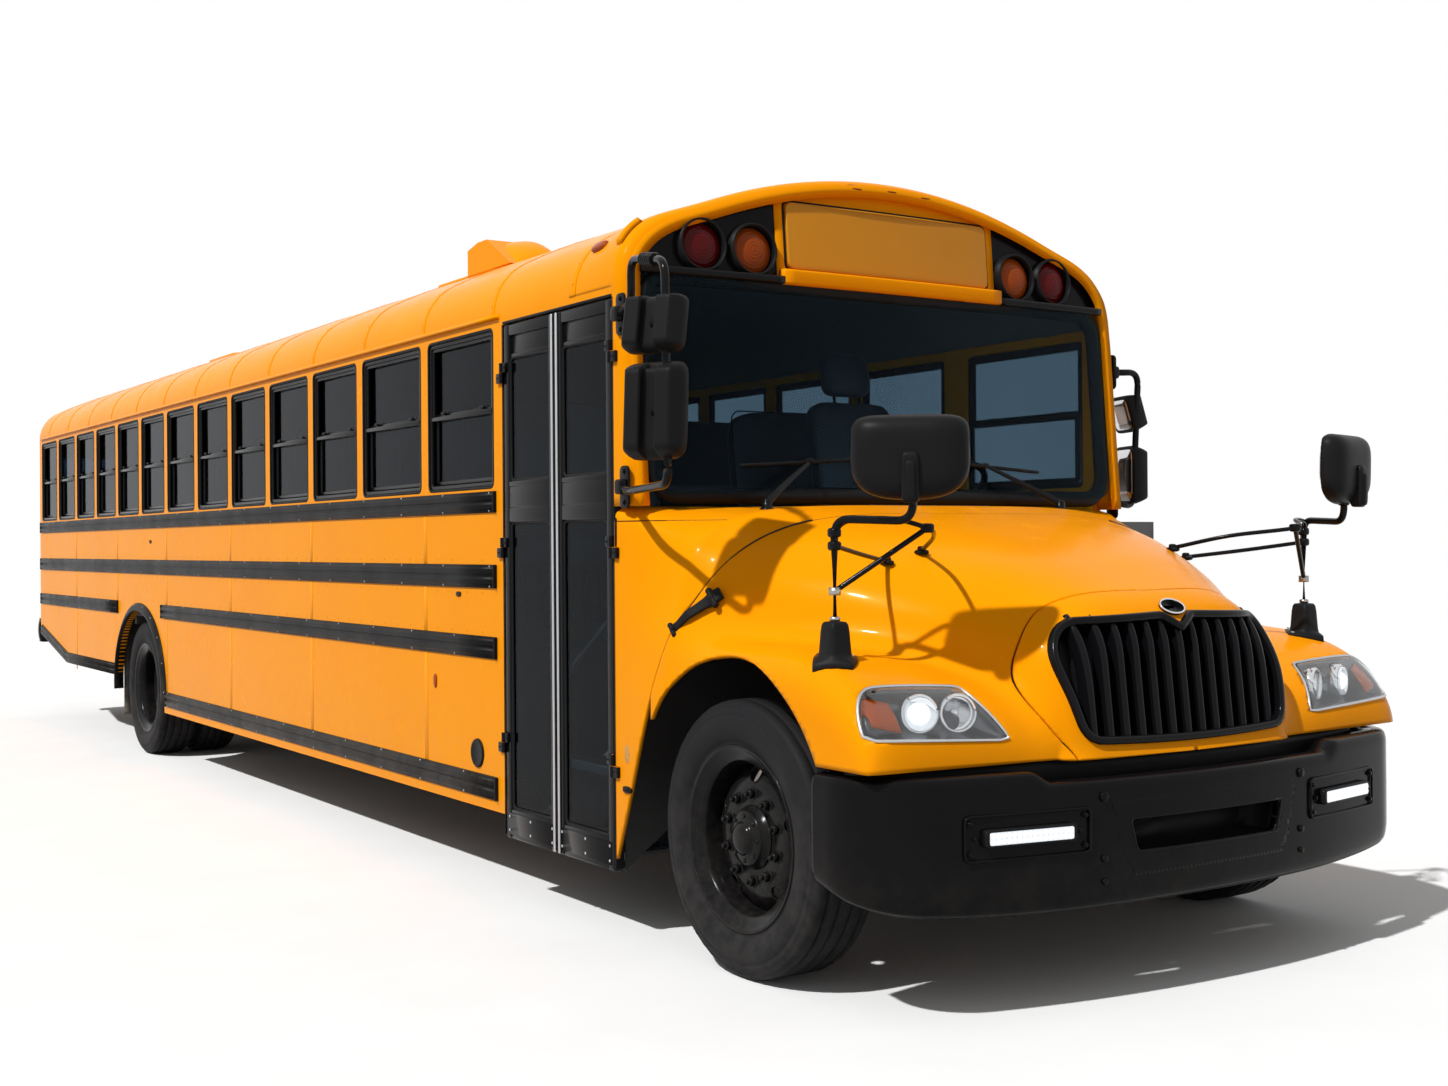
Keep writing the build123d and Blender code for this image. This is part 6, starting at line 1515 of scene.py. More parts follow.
def buildSideMirrors():
    # tubes from pillar to pillar round the heads, brackets, the corrugated clamp, and two heads a side
    arms, heads, glass = MeshStore(), MeshStore(), MeshStore()
    right = [(4.285, -1.226, 2.223), (4.550, -1.329, 2.225), (4.552, -1.332, 2.370), (4.888, -1.402, 2.312),
             (4.900, -1.402, 1.600), (4.480, -1.309, 1.590), (4.305, -1.226, 1.612)]
    left = [(4.275, 1.226, 2.140), (4.275, 1.400, 2.150), (4.240, 1.400, 1.560), (4.280, 1.226, 1.580)]
    for points in (right, left):
        arms.sweep(bentPath(points, 0.060, 9), circleProfile(0.0140, 18))
    # pillar brackets: a plate with two bolts and a pivot block
    for spot, side in (((4.292, -1.2195, 2.223), -1), ((4.312, -1.2195, 1.612), -1),
                       ((4.282, 1.2195, 2.140), 1), ((4.287, 1.2195, 1.580), 1)):
        spot = np.array(spot)
        outline = boxProfile(0.062, 0.150, 0.020, 5)
        arms.stack(plateRings(outline, spot, (side * -1.0, 0, 0), (0, 0, 1.0), 0.008, 0.003))
        arms.box(spot + (0, side * 0.020, 0), (0.050, 0.032, 0.054), 5.0, 10, 18)
        for rise in (-0.055, 0.055):
            arms.bolt(spot + (0, side * 0.008, rise), (0, side, 0), 0.009, 0.007)
    # corrugated clamp on the upper arm
    start, end = np.array([4.690, -1.361, 2.3465]), np.array([4.790, -1.382, 2.329])
    for share in np.linspace(0, 1, 6):
        spot = start + (end - start) * share
        arms.turned([(0.012, -0.008), (0.021, -0.007), (0.0235, 0.0), (0.021, 0.007), (0.012, 0.008)], spot,
                    end - start, 20)
    table = [((4.842, -1.4060, 2.110), 0.222, 0.190), ((4.842, -1.4060, 1.835), 0.222, 0.316),
             ((4.180, 1.4050, 1.970), 0.190, 0.165), ((4.180, 1.4181, 1.700), 0.200, 0.260)]
    for k, (centre, width, height) in enumerate(table):
        centre = np.array(centre)
        aim = aimAtDriver(centre)
        back = -aim
        mirrorHead(heads, glass, centre, aim, width, height, 0.072, (7.5, 6.0), 0.026)
        tube = np.array([4.897, -1.402]) if k < 2 else np.array([4.262 - 0.056 * (2.15 - centre[2]), 1.400])
        grip = np.array([tube[0], tube[1], centre[2]])
        clampBlock(heads, grip, (0, 0, 1), (min(height * 0.62, 0.150), 0.046, 0.046), back)
        root = centre + back * 0.030
        middle = (grip + root) / 2
        reach = np.linalg.norm(grip - root)
        if reach > 0.02:
            axis = (grip - root) / reach
            heads.turned([(0, -reach / 2), (0.019, -reach / 2), (0.016, 0), (0.018, reach / 2), (0, reach / 2)],
                         middle, axis, 20)
    arm = arms.tidy("mirror_tubes", "glossBlack", "black_paint")
    head = heads.tidy("mirror_housings", "mouldedBlack", "black_plastic")
    glass.tidy("mirror_glasses", "chromeTrim", "black_plastic")
    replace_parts(arm, "mirror_arms")
    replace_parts(head, "mirror_heads")


# post and head of the cross-view mirrors: places along, across and up; the post's foot also along the hood
crossShape = {"postX": 5.370, "footX": 0.450, "postY": 1.100, "stemX": 5.622, "headX": 5.610, "headY": 1.000,
              "headZ": 1.660, "tube": 0.0125}


def buildCrossMirrors():
    # a bent post with its boot on each fender, three braces, and a wide head
    tubes, heads, glass, bolts = MeshStore(), MeshStore(), MeshStore(), MeshStore()
    for side in (-1, 1):
        m = crossShape
        postX, postY, stemX, headY = m["postX"], side * m["postY"], m["stemX"], side * m["headY"]
        foot = onHoodTop(np.array([m["footX"]]), np.array([postY]))[0]
        headPlace = np.array([m["headX"], headY, m["headZ"]])
        path = bentPath([(postX, postY, foot[2] + 0.02), (postX, postY, 1.482), (stemX, headY, 1.472),
                         (stemX, headY, 1.640)], 0.055, 9)
        tubes.sweep(path, circleProfile(m["tube"], 16))
        # boot over a diamond foot whose corners lie on the fender
        rows = []
        around = np.linspace(0, 2 * np.pi, 64, endpoint=False)
        c, s = np.cos(around), np.sin(around)
        for share, radius, power, rise in ((0.0, 0.086, 1.15, -0.002), (0.02, 0.086, 1.15, 0.004),
                                           (0.08, 0.083, 1.2, 0.008), (0.12, 0.050, 2.4, 0.012),
                                           (0.20, 0.042, 4.0, 0.022), (0.75, 0.036, 5.0, 0.088),
                                           (0.9, 0.033, 5.0, 0.108), (0.97, 0.029, 4.0, 0.116),
                                           (1.0, 0.018, 2.0, 0.118), (1.0, 0.0125, 2.0, 0.118)):
            x, y = superellipse(c, power) * radius, superellipse(s, power) * radius
            ring = joined(postX + x, postY + y, foot[2])
            follow = np.clip(1 - share * 6, 0, 1)
            ground = onHoodTop(m["footX"] + x, postY + y * 0.999)[:, 2]
            ring[:, 2] = foot[2] + (ground - foot[2]) * follow + rise
            rows.append(ring)
        heads.stack(rows)
        for dx, dy in ((0.066, 0), (-0.066, 0), (0, 0.066), (0, -0.066)):
            ground = onHoodTop(np.array([m["footX"] + dx]), np.array([postY + dy * 0.98]))[0]
            bolts.bolt(ground + (0, 0, 0.006), (0, 0, 1), 0.0085, 0.007)
        bolts.turned([(0.012, 0), (0.0165, 0.002), (0.0165, 0.012), (0.012, 0.014)], (postX, postY, foot[2] + 0.118),
                     (0, 0, 1), 20)
        # braces: post to hood, post to the second foot over the arm, and the diagonal between them
        footA = onHoodTop(np.array([0.222]), np.array([side * 0.714]))[0]
        footB = onHoodTop(np.array([0.261]), np.array([side * 0.599]))[0]
        joint = np.array([5.520, side * 0.86, 1.452])
        clampA, clampB, clampC = (np.array([postX, postY, z]) for z in (1.400, 1.440, 1.262))
        for points, radius in (([clampA, (clampA + footA) / 2 + (0, 0, 0.004), footA + (0, 0, 0.012)], 0.0075),
                               ([clampB, clampB + (0.03, -side * 0.03, 0.035), (5.45, side * 0.95, 1.482), joint,
                                 (5.36, side * 0.70, 1.425), footB + (0, 0, 0.014)], 0.0075),
                               ([clampC, (clampC + joint) / 2, joint], 0.0085)):
            tubes.sweep(smoothPath(points, 6), circleProfile(radius, 12))
        for spot in (clampA, clampB, joint):
            tubes.box(spot, (0.036, 0.036, 0.030), 4.0, 8, 14)
        bolts.turned([(0.012, -0.012), (0.0185, -0.012), (0.0185, 0.012), (0.012, 0.012)], clampC, (0, 0, 1), 20)
        for spot in (footA, footB):
            tubes.box(spot + (0, 0, 0.008), (0.054, 0.036, 0.018), 3.0, 8, 16)
            tubes.box(spot + (0, 0, 0.016), (0.026, 0.024, 0.026), 3.5, 8, 14)
        aim = aimAtDriver(headPlace)
        across, up, back = headAxes(aim)
        mirrorHead(heads, glass, headPlace, aim, 0.352, 0.252, 0.070, (6.0, 2.7), 0.0, 0.050)
        # stem bracket on the back
        axes = np.array([across, up, back])
        heads.box(headPlace + back * 0.064 - up * 0.060, (0.052, 0.150, 0.046), 6.0, 12, 22, axes)
        heads.box(headPlace + back * 0.078 - up * 0.070, (0.030, 0.118, 0.034), 6.0, 12, 22, axes)
        tubes.turned([(0.0125, -0.03), (0.0185, -0.028), (0.0185, 0.010), (0.0125, 0.014)],
                     (stemX, headY, 1.560), (0, 0, 1), 20)
    tube = tubes.tidy("cross_mirror_tubes", "glossBlack", "black_paint", "hood")
    heads.tidy("cross_mirror_heads", "mouldedBlack", "black_plastic", "hood")
    glass.tidy("cross_mirror_glasses", "chromeTrim", "black_plastic", "hood")
    bolts.tidy("cross_mirror_bolts", "zincBolt", "black_paint", "hood")
    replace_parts(tube, "cross_mirrors")


buildSideMirrors()
buildCrossMirrors()
print("mirrors made")


# entrance door: two leaves of black bars, glass in rubber, silver strips where they meet
doorShape = {"rearX": 3.3345, "frontX": 4.2155, "middle": 3.775, "low": 0.240, "high": 2.291, "outer": -1.219,
             "thick": 0.038, "stile": 0.048, "kick": 0.360, "midLow": 1.500, "midHigh": 1.666, "bandLow": 2.168,
             "hingeX": (3.333, 4.217), "hingeY": -1.228, "hinges": (0.620, 1.400, 2.100)}


def softBar(store, low, high, corner=0.006):
    # a bar between two opposite corners: rounded section swept along its longest side
    low, high = np.minimum(low, high), np.maximum(low, high)
    size = high - low
    along = int(np.argmax(size))
    others = [k for k in range(3) if k != along]
    start, end = (low + high) / 2, (low + high) / 2
    start[along], end[along] = low[along], high[along]
    up = np.zeros(3)
    up[others[1]] = 1.0
    corner = min(corner, 0.45 * size[others[0]], 0.45 * size[others[1]])
    bevel = min(corner, 0.2 * size[along])
    axis = (end - start) / np.linalg.norm(end - start)
    path = np.array([start, start + axis * bevel * 0.3, start + axis * bevel, end - axis * bevel,
                     end - axis * bevel * 0.3, end])
    profile = boxProfile(size[others[0]], size[others[1]], corner, 4)
    thin = max(size[others].min(), 1e-6)
    ends = [1 - share * bevel / thin for share in (1.0, 0.3)]
    store.sweep(path, profile, up=up, scale=[*ends, 1, 1, *ends[::-1]])


def rectPath(lowA, highA, lowB, highB, corner, perCorner=5):
    # closed rounded rectangle in a plane, as (a, b) pairs
    flat = boxProfile(highA - lowA, highB - lowB, corner, perCorner)
    return flat + np.array([(lowA + highA) / 2, (lowB + highB) / 2])


def sideLoop(store, lowX, highX, lowZ, highZ, y, corner, profile):
    # a profile swept round a rounded rectangle that stands in the side's plane
    flat = rectPath(lowX, highX, lowZ, highZ, corner)
    path = joined(flat[:, 0], y, flat[:, 1])
    store.sweep(path, profile, closed=True, up=(0, 1, 0))


def buildLeaf(name, body, lowX, highX, meeting):
    # stiles and rails as rounded bars, gaskets round both panes, the meeting edge and the hinges
    bars, rubber, silver, hinges = MeshStore(), MeshStore(), MeshStore(), MeshStore()
    d = doorShape
    outer, inner = d["outer"], d["outer"] + d["thick"]
    stile = d["stile"]
    top = d["high"] - 0.047
    for x in ((lowX, lowX + stile), (highX - stile, highX)):
        softBar(bars, (x[0], outer, d["low"]), (x[1], inner, d["high"]), 0.008)
    inside = (lowX + stile - 0.006, highX - stile + 0.006)
    for low, high, proud in ((d["low"], d["kick"], 0.0), (d["midLow"] + 0.055, d["midHigh"] - 0.020, 0.0),
                             (d["midLow"], d["midLow"] + 0.062, 0.004), (d["midHigh"] - 0.026, d["midHigh"], 0.004),
                             (top, d["high"], 0.0)):
        softBar(bars, (inside[0], outer + 0.0015 - proud * 0.3, low), (inside[1], inner - 0.004, high), 0.006)
    # dark band behind the head of the upper pane
    softBar(bars, (inside[0], outer + 0.010, d["bandLow"]), (inside[1], inner - 0.010, top + 0.004), 0.003)
    softBar(bars, (inside[0], outer + 0.005, d["bandLow"] - 0.012),
            (inside[1], inner - 0.006, d["bandLow"] + 0.006), 0.004)
    gasket = np.array([[0.0, -0.0085], [0.0065, -0.006], [0.0085, 0.0], [0.0065, 0.006], [0.0, 0.0085], [-0.004, 0.0]])
    for low, high in ((d["kick"], d["midLow"]), (d["midHigh"], d["bandLow"] - 0.012)):
        for y in (outer + 0.009, inner - 0.010):
            sideLoop(rubber, lowX + stile, highX - stile, low, high, y, 0.022, gasket[:, ::-1])
    # step plate of the kick panel and its screws
    softBar(bars, (lowX + 0.020, outer - 0.002, d["low"] + 0.018), (highX - 0.020, outer + 0.004, d["kick"] - 0.016),
            0.004)
    for x in (lowX + 0.034, (lowX + highX) / 2, highX - 0.034):
        for z in (d["low"] + 0.034, d["kick"] - 0.032):
            silver.box((x, outer - 0.0022, z), (0.011, 0.004, 0.011), 2.4, 6, 10)
    # meeting edge: two silver strips on a rubber lip with fingers
    edge = lowX if meeting < 0 else highX
    way = 1 if meeting < 0 else -1
    softBar(silver, (edge + way * 0.006, outer - 0.0055, d["low"] + 0.004),
            (edge + way * 0.020, outer + 0.002, d["high"] - 0.004), 0.003)
    softBar(rubber, (edge - way * 0.0058, outer + 0.003, d["low"] + 0.002),
            (edge + way * 0.004, inner - 0.004, d["high"] - 0.002), 0.004)
    softBar(rubber, (edge + way * 0.021, outer - 0.0035, d["low"] + 0.004),
            (edge + way * 0.027, outer + 0.002, d["high"] - 0.004), 0.0025)
    hingeX, out = (d["hingeX"][0], 1) if meeting > 0 else (d["hingeX"][1], -1)
    for z in d["hinges"]:
        hinges.turned([(0.0055, 0.0), (0.0090, 0.001), (0.0092, 0.002), (0.0092, 0.038), (0.0090, 0.039),
                       (0.0055, 0.040)], (hingeX, d["hingeY"], z), (0, 0, 1), 20)
        softBar(hinges, (hingeX + out * 0.004, -1.2305, z + 0.001), (hingeX + out * 0.038, -1.2185, z + 0.039), 0.003)
        for along in (0.018, 0.030):
            hinges.box((hingeX + out * along, -1.2312, z + 0.020), (0.009, 0.004, 0.009), 2.4, 6, 10)
    leaf = bars.tidy(name + "_bars", "glossBlack", "black_paint", body)
    rubber.tidy(name + "_rubber", "sealRubber", "black_plastic", body)
    silver.tidy(name + "_strip", "sealSilver", "black_paint", body)
    hinges.tidy(name + "_hinges", "glossBlack", "black_paint", body)
    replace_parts(leaf, "door_" + name)


buildLeaf("leaf_rear", "entry_leaf_rear", doorShape["rearX"], doorShape["middle"] - 0.0062, 1)
buildLeaf("leaf_front", "entry_leaf_front", doorShape["middle"] + 0.0062, doorShape["frontX"], -1)


stepShape = {"tops": (0.300, 0.530, 0.760), "firstY": -1.176, "run": 0.225, "ribs": 8, "ribPitch": 0.023}


def buildDoorway():
    # rubber in the reveal, the body's halves of the hinges, pale step noses and ribbed treads
    rubber, plate, tread = MeshStore(), MeshStore(), MeshStore()
    for x in (3.3265, 4.2235):
        softBar(rubber, (x - 0.0035, -1.2215, 0.250), (x + 0.0035, -1.185, 2.296), 0.003)
    softBar(rubber, (3.330, -1.2225, 2.2955), (4.220, -1.200, 2.306), 0.004)
    frameHinges = MeshStore()
    for hingeX, out in zip(doorShape["hingeX"], (-1, 1)):
        for z in doorShape["hinges"]:
            frameHinges.turned([(0, -0.0408), (0.0094, -0.0406), (0.0098, -0.039), (0.0098, -0.0016),
                                (0.0094, -0.0006), (0, -0.0005)], (hingeX, doorShape["hingeY"], z), (0, 0, 1), 20)
            softBar(frameHinges, (hingeX, -1.2322, z - 0.0408), (hingeX + out * 0.0435, -1.2185, z - 0.0003), 0.003)
            for along in (0.018, 0.034):
                frameHinges.box((hingeX + out * along, -1.2326, z - 0.020), (0.009, 0.004, 0.009), 2.4, 6, 10)
    frameHinges.tidy("doorway_hinges", "glossBlack", "black_paint")
    y = stepShape["firstY"]
    for top in stepShape["tops"]:
        softBar(plate, (3.336, y - 0.003, top - 0.028), (4.212, y + 0.026, top + 0.0055), 0.005)
        for k in range(stepShape["ribs"]):
            low = y + 0.030 + k * stepShape["ribPitch"]
            softBar(tread, (3.345, low, top), (4.205, low + 0.014, top + 0.0045), 0.0022)
        y += stepShape["run"]
    rubber.tidy("doorway_rubber", "sealRubber", "black_plastic")
    plate.tidy("step_noses", "treadPale", "grab_steel")
    tread.tidy("step_treads", "floorRubber", "floor_rubber")


buildDoorway()
print("doors made")


# tyres: section with five ribs turned about the axle; wheels: pressed discs with hand holes and ten nuts
tyreShape = {"radius": 0.452, "width": 0.255, "grooves": [-0.074, -0.026, 0.026, 0.074],
             "grooveWidth": 0.010, "grooveDepth": 0.013, "segments": 120}
wheelShape = {"holes": 5, "holeCircle": 0.2085, "holeRadius": 0.030, "nuts": 10, "nutCircle": 0.1425,
              "capBolts": 8, "capCircle": 0.074, "frontTrack": 1.0465, "rearTrack": 0.9215, "twin": 0.146,
              "plateauAt": [0.07, 0.150, 0.172, 0.200, 0.228, 0.246, 0.252],
              "plateau": [1.0, 1.0, 0.97, 0.80, 0.42, 0.06, 0.0]}


def tyreProfile():
    # half width runs from the bead over the bulging sidewall and the shoulder to the ribbed crown, then back inside
    half = tyreShape["width"] / 2
    wall = [(0.288, 0.086), (0.292, 0.098), (0.300, 0.106), (0.308, 0.109), (0.311, 0.1065), (0.316, 0.1125),
            (0.332, 0.1200), (0.352, 0.1255), (0.372, 0.1275), (0.388, 0.1262), (0.398, 0.1240), (0.401, 0.1215),
            (0.406, 0.1235), (0.420, 0.1205), (0.426, 0.1160), (0.432, 0.1170), (0.440, 0.1120), (0.446, 0.1050)]
    tread = [(0.4495, -0.098)]
    for middle in tyreShape["grooves"]:
        edge = tyreShape["grooveWidth"] / 2
        crown = tyreShape["radius"] - 0.0018 * (middle / 0.1) ** 2
        deep = crown - tyreShape["grooveDepth"]
        tread += [(crown, middle - edge - 0.002), (crown - 0.002, middle - edge), (deep, middle - edge + 0.002),
                  (deep, middle + edge - 0.002), (crown - 0.002, middle + edge), (crown, middle + edge + 0.002)]
    tread.append((0.4495, 0.098))
    inside = [(0.296, 0.080), (0.330, 0.100), (0.372, 0.106), (0.415, 0.098), (0.430, 0.070)]
    outer = [(r, -w * half / 0.1275) for r, w in wall] + tread + [(r, w * half / 0.1275) for r, w in wall[::-1]]
    return outer + [(r, w) for r, w in inside] + [(r, -w) for r, w in inside[::-1]]


def sipes(turn, radius, height):
    # short notches across the shoulder ribs: a narrow dip every few degrees
    phase = (turn * 72 / (2 * np.pi)) % 1.0
    notch = np.exp(-((phase - 0.5) / 0.10) ** 2)
    edge = np.clip((np.abs(height) - 0.080) / 0.02, 0, 1) * (radius > 0.438)
    return -0.004 * notch * edge


def buildTyre(name, body, centres):
    # the section turned about the axle, once for each tyre of the pair
    store = MeshStore()
    x = frontAxle if "front" in name else rearAxle
    for y in centres:
        store.turned(tyreProfile(), (x, y, axleHeight), (0, 1, 0), tyreShape["segments"], sipes)
    tyre = store.tidy(name + "_rubber", "tyreRubber", "tyre", body)
    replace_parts(tyre, name)


def discOffset(radius, dish):
    # how far the disc stands out at a radius
    return dish * smoothTable(radius, wheelShape["plateauAt"], wheelShape["plateau"])


def holePlaces():
    # along and up from the wheel's middle to each hand hole
    turn = 2 * np.pi * (np.arange(wheelShape["holes"]) + 0.25) / wheelShape["holes"]
    return wheelShape["holeCircle"] * joined(np.cos(turn), np.sin(turn))


def wheelDisc(store, rings, centre, out, dish, hubRadius):
    # disc surface over radius and turn: offset falls from the hub plateau to the rim; hand holes are clipped out
    rows, columns = 46, 240
    radius = np.linspace(hubRadius, 0.252, rows)
    turn = np.linspace(0, 2 * np.pi, columns, endpoint=False)
    middle = np.asarray(centre)
    axis = np.array([0.0, out, 0.0])
    ray = joined(np.cos(turn), 0.0, np.sin(turn))
    points = middle + discOffset(radius, dish)[:, None, None] * axis + radius[:, None, None] * ray[None]
    triangles = splitTriangles(gridFaces(rows, columns, wrapColumns=True))
    size = wheelShape["holeRadius"]

    def clearOfHoles(p):
        a, b = p[:, 0] - middle[0], p[:, 2] - middle[2]
        return np.min([np.hypot(a - along, b - up) - size for along, up in holePlaces()], axis=0)

    store.add(*clipTriangles(points.reshape(-1, 3), triangles, clearOfHoles))
    around = np.linspace(0, 2 * np.pi, 28, endpoint=False)
    for along, up in holePlaces():
        a, b = along + size * np.cos(around), up + size * np.sin(around)
        depth = discOffset(np.hypot(a, b), dish)
        line = joined(middle[0] + a, middle[1] + out * (depth + 0.001), middle[2] + b)
        rings.sweep(line, circleProfile(0.0032, 6), closed=True, up=(0, 1, 0))


def buildWheel(name, body, discs, rims, nutsFrom, hubCap):
    # pressed discs, rims turned about the axle, a ring of nuts with their studs, and the hub with its bolts
    x = frontAxle if "front" in name else rearAxle
    disc, solid, nuts = MeshStore(), MeshStore(), MeshStore()
    for y, out, dish, hubRadius in discs:
        wheelDisc(disc, solid, (x, y, axleHeight), out, dish, hubRadius)
    for y in rims:
        flange = [(0.243, 0.030), (0.246, 0.080), (0.256, 0.094), (0.280, 0.099), (0.292, 0.108), (0.302, 0.113),
                  (0.306, 0.108), (0.300, 0.102), (0.286, 0.096), (0.262, 0.090), (0.252, 0.075)]
        rim = [(r, -w) for r, w in flange[::-1]] + flange + [(0.250, 0.030), (0.250, -0.030)]
        solid.turned(rim, (x, y, axleHeight), (0, 1, 0), 96)
    y, out = nutsFrom
    axis = np.array([0.0, out, 0.0])
    for k in range(wheelShape["nuts"]):
        angle = 2 * np.pi * (k + 0.5) / wheelShape["nuts"]
        reach = wheelShape["nutCircle"]
        spot = np.array([x + reach * math.cos(angle), y, axleHeight + reach * math.sin(angle)])
        nuts.bolt(spot, axis, 0.0165, 0.022)
        nuts.turned([(0, 0.034), (0.007, 0.034), (0.0085, 0.031), (0.0085, 0.0), (0, 0)], spot, axis, 10)
    middle = np.array([x, y, axleHeight])
    solid.turned(hubCap, middle, axis, 48)
    outer = max(height for _, height in hubCap)
    for k in range(wheelShape["capBolts"]):
        angle = 2 * np.pi * k / wheelShape["capBolts"]
        reach = wheelShape["capCircle"]
        spot = middle + (reach * math.cos(angle), out * (outer - 0.030), reach * math.sin(angle))
        nuts.bolt(spot, axis, 0.008, 0.009)
    wheel = disc.tidy(name + "_discs", "wheelBlack", "wheel_paint", body, merge=1e-6)
    thicken(wheel, 0.009)
    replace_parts(wheel, name)
    solid.tidy(name + "_rims", "wheelBlack", "wheel_paint", body)
    nuts.tidy(name + "_nuts", "wheelBlack", "wheel_paint", body)


def buildRunningGear():
    # single wheels in front, twin wheels behind whose discs face each other
    frontHub = [(0, 0.062), (0.030, 0.061), (0.046, 0.056), (0.052, 0.046), (0.056, 0.040), (0.062, 0.038),
                (0.086, 0.036), (0.090, 0.031), (0.092, 0.010), (0.104, 0.006), (0.106, 0.0), (0, 0)]
    rearHub = [(0, 0.105), (0.040, 0.104), (0.052, 0.099), (0.056, 0.090), (0.084, 0.088), (0.088, 0.083),
               (0.090, 0.030), (0.104, 0.010), (0.108, 0.0), (0, 0)]
    for side, word in ((-1, "right"), (1, "left")):
        front, rear = wheelShape["frontTrack"], wheelShape["rearTrack"]
        middle = side * front
        buildTyre("tyre_front_" + word, "front_wheel_" + word, [middle])
        face = side * (front + 0.052)
        buildWheel("wheel_front_" + word, "front_wheel_" + word, [(side * (front + 0.002), side, 0.050, 0.090)],
                   [middle], (face, side), frontHub)
        outerY, innerY = side * (rear + wheelShape["twin"]), side * (rear - wheelShape["twin"])
        buildTyre("tyres_rear_" + word, "rear_wheels_" + word, [outerY, innerY])
        discs = [(outerY - side * 0.010, -side, 0.105, 0.090), (innerY + side * 0.010, side, 0.105, 0.090)]
        buildWheel("wheels_rear_" + word, "rear_wheels_" + word, discs, [outerY, innerY],
                   (side * (rear + 0.042), side), rearHub)


buildRunningGear()
print("wheels made")


# body sides: windows, rub rails, gutter, seams and small fittings
sideShape = {"pitches": [0.740, 0.780] + [0.690] * 5 + [0.650] * 6, "firstPost": 3.280, "post": 0.084,
             "sill": 1.645, "top": 2.290, "mid": 1.962, "railDepth": 0.016, "railRear": -5.580,
             "archX": rearAxle, "archRx": 0.620, "archRz": 0.532, "riseX": -4.625}


def postPlaces():
    # middle of every post, front to rear
    return sideShape["firstPost"] - np.concatenate([[0], np.cumsum(sideShape["pitches"])])


def sideWindows():
    # centre and width of every window, front to rear, with the driver's on the left
    edges = postPlaces()
    middles = (edges[:-1] + edges[1:]) / 2
    widths = -np.diff(edges) - sideShape["post"]
    table = [(side, x, width) for side in (-1, 1) for x, width in zip(middles, widths)]
    return table + [(1, 3.775, 0.760)]


def buildWindows():
    # rubber lip, outer frame, an upper sash and a lower one set further in, meeting rails, latches and screws
    frames, rubber, latches = MeshStore(), MeshStore(), MeshStore()
    s = sideShape
    outerBar = np.array([[-0.011, -0.012], [0.011, -0.012], [0.011, 0.006], [0.008, 0.010], [-0.008, 0.010],
                         [-0.011, 0.006]])
    lip = np.array([[-0.006, -0.004], [0.006, -0.004], [0.0055, 0.002], [0.0, 0.0035], [-0.0055, 0.002]])
    for side, x, width in sideWindows():
        half = width / 2
        y = side * halfWidth

        def loop(store, lowX, highX, lowZ, highZ, depth, corner, profile):
            flat = rectPath(lowX, highX, lowZ, highZ, corner, 4)
            if side < 0:
                flat = flat[::-1]
            path = joined(flat[:, 0], y - side * depth, flat[:, 1])
            store.sweep(path, profile, closed=True, up=(0, side, 0))

        loop(rubber, x - half + 0.001, x + half - 0.001, s["sill"] + 0.001, s["top"] - 0.001, 0.001, 0.026, lip)
        loop(frames, x - half + 0.013, x + half - 0.013, s["sill"] + 0.013, s["top"] - 0.013, 0.014, 0.020, outerBar)
        loop(frames, x - half + 0.031, x + half - 0.031, s["mid"] - 0.006, s["top"] - 0.031, 0.017, 0.012,
             outerBar * (0.72, 0.8))
        loop(frames, x - half + 0.034, x + half - 0.034, s["sill"] + 0.034, s["mid"] + 0.010, 0.033, 0.010,
             outerBar * (1.0, 0.8))
        for z, depth, tall, deep in ((s["mid"] - 0.002, 0.013, 0.020, 0.020), (s["mid"] + 0.006, 0.030, 0.026, 0.018)):
            low = np.array([x - half + 0.024, y - side * (depth + deep / 2), z - tall / 2])
            high = np.array([x + half - 0.024, y - side * (depth - deep / 2), z + tall / 2])
            softBar(frames, low, high, 0.004)
        for along in (-0.30, 0.30):
            latches.box((x + along * width, y - side * 0.014, s["mid"] + 0.020), (0.045, 0.012, 0.014), 4.0, 6, 12)
        for along in (-1, 1):
            for z in (s["sill"] + 0.10, s["mid"] + 0.14, s["top"] - 0.08):
                latches.box((x + along * (half - 0.013), y - side * 0.0035, z), (0.008, 0.004, 0.008), 2.2, 6, 8)
    made = frames.tidy("window_frames", "glossBlack", "black_paint")
    rubber.tidy("window_rubber", "sealRubber", "black_plastic")
    latches.tidy("window_latches", "mouldedBlack", "black_plastic")
    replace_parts(made, "window_sashes")


def railSection(height, depth):
    # channel: flange, rounded ridge, valley, ridge, flange; (outward, up) pairs round the section
    u = np.linspace(0, 1, 33)
    ridge = 0.5 - 0.5 * np.cos(2 * np.pi * 2 * np.clip((u - 0.06) / 0.88, 0, 1))
    face = depth * (0.52 + 0.48 * np.clip(ridge * 1.7, 0, 1))
    face = np.where((u < 0.03) | (u > 0.97), depth * 0.30, face)
    outer = joined(face, (u - 0.5) * height)
    return np.concatenate([[[-0.001, -height / 2]], outer, [[-0.001, height / 2]]])


def layRail(store, side, path, height):
    # the section is carried along the path with its outward side away from the body
    section = railSection(height, sideShape["railDepth"])
    path = np.asarray(path, float)
    tangent = np.gradient(path, axis=0)
    tangent /= np.linalg.norm(tangent, axis=1, keepdims=True)
    out = np.array([0, side, 0.0])
    up = np.cross(np.broadcast_to(out, tangent.shape), tangent)
    up *= np.sign(up[:, 2:3] + 1e-9)
    store.stack(path[:, None, :] + section[None, :, 0:1] * out + section[None, :, 1:2] * up[:, None, :])


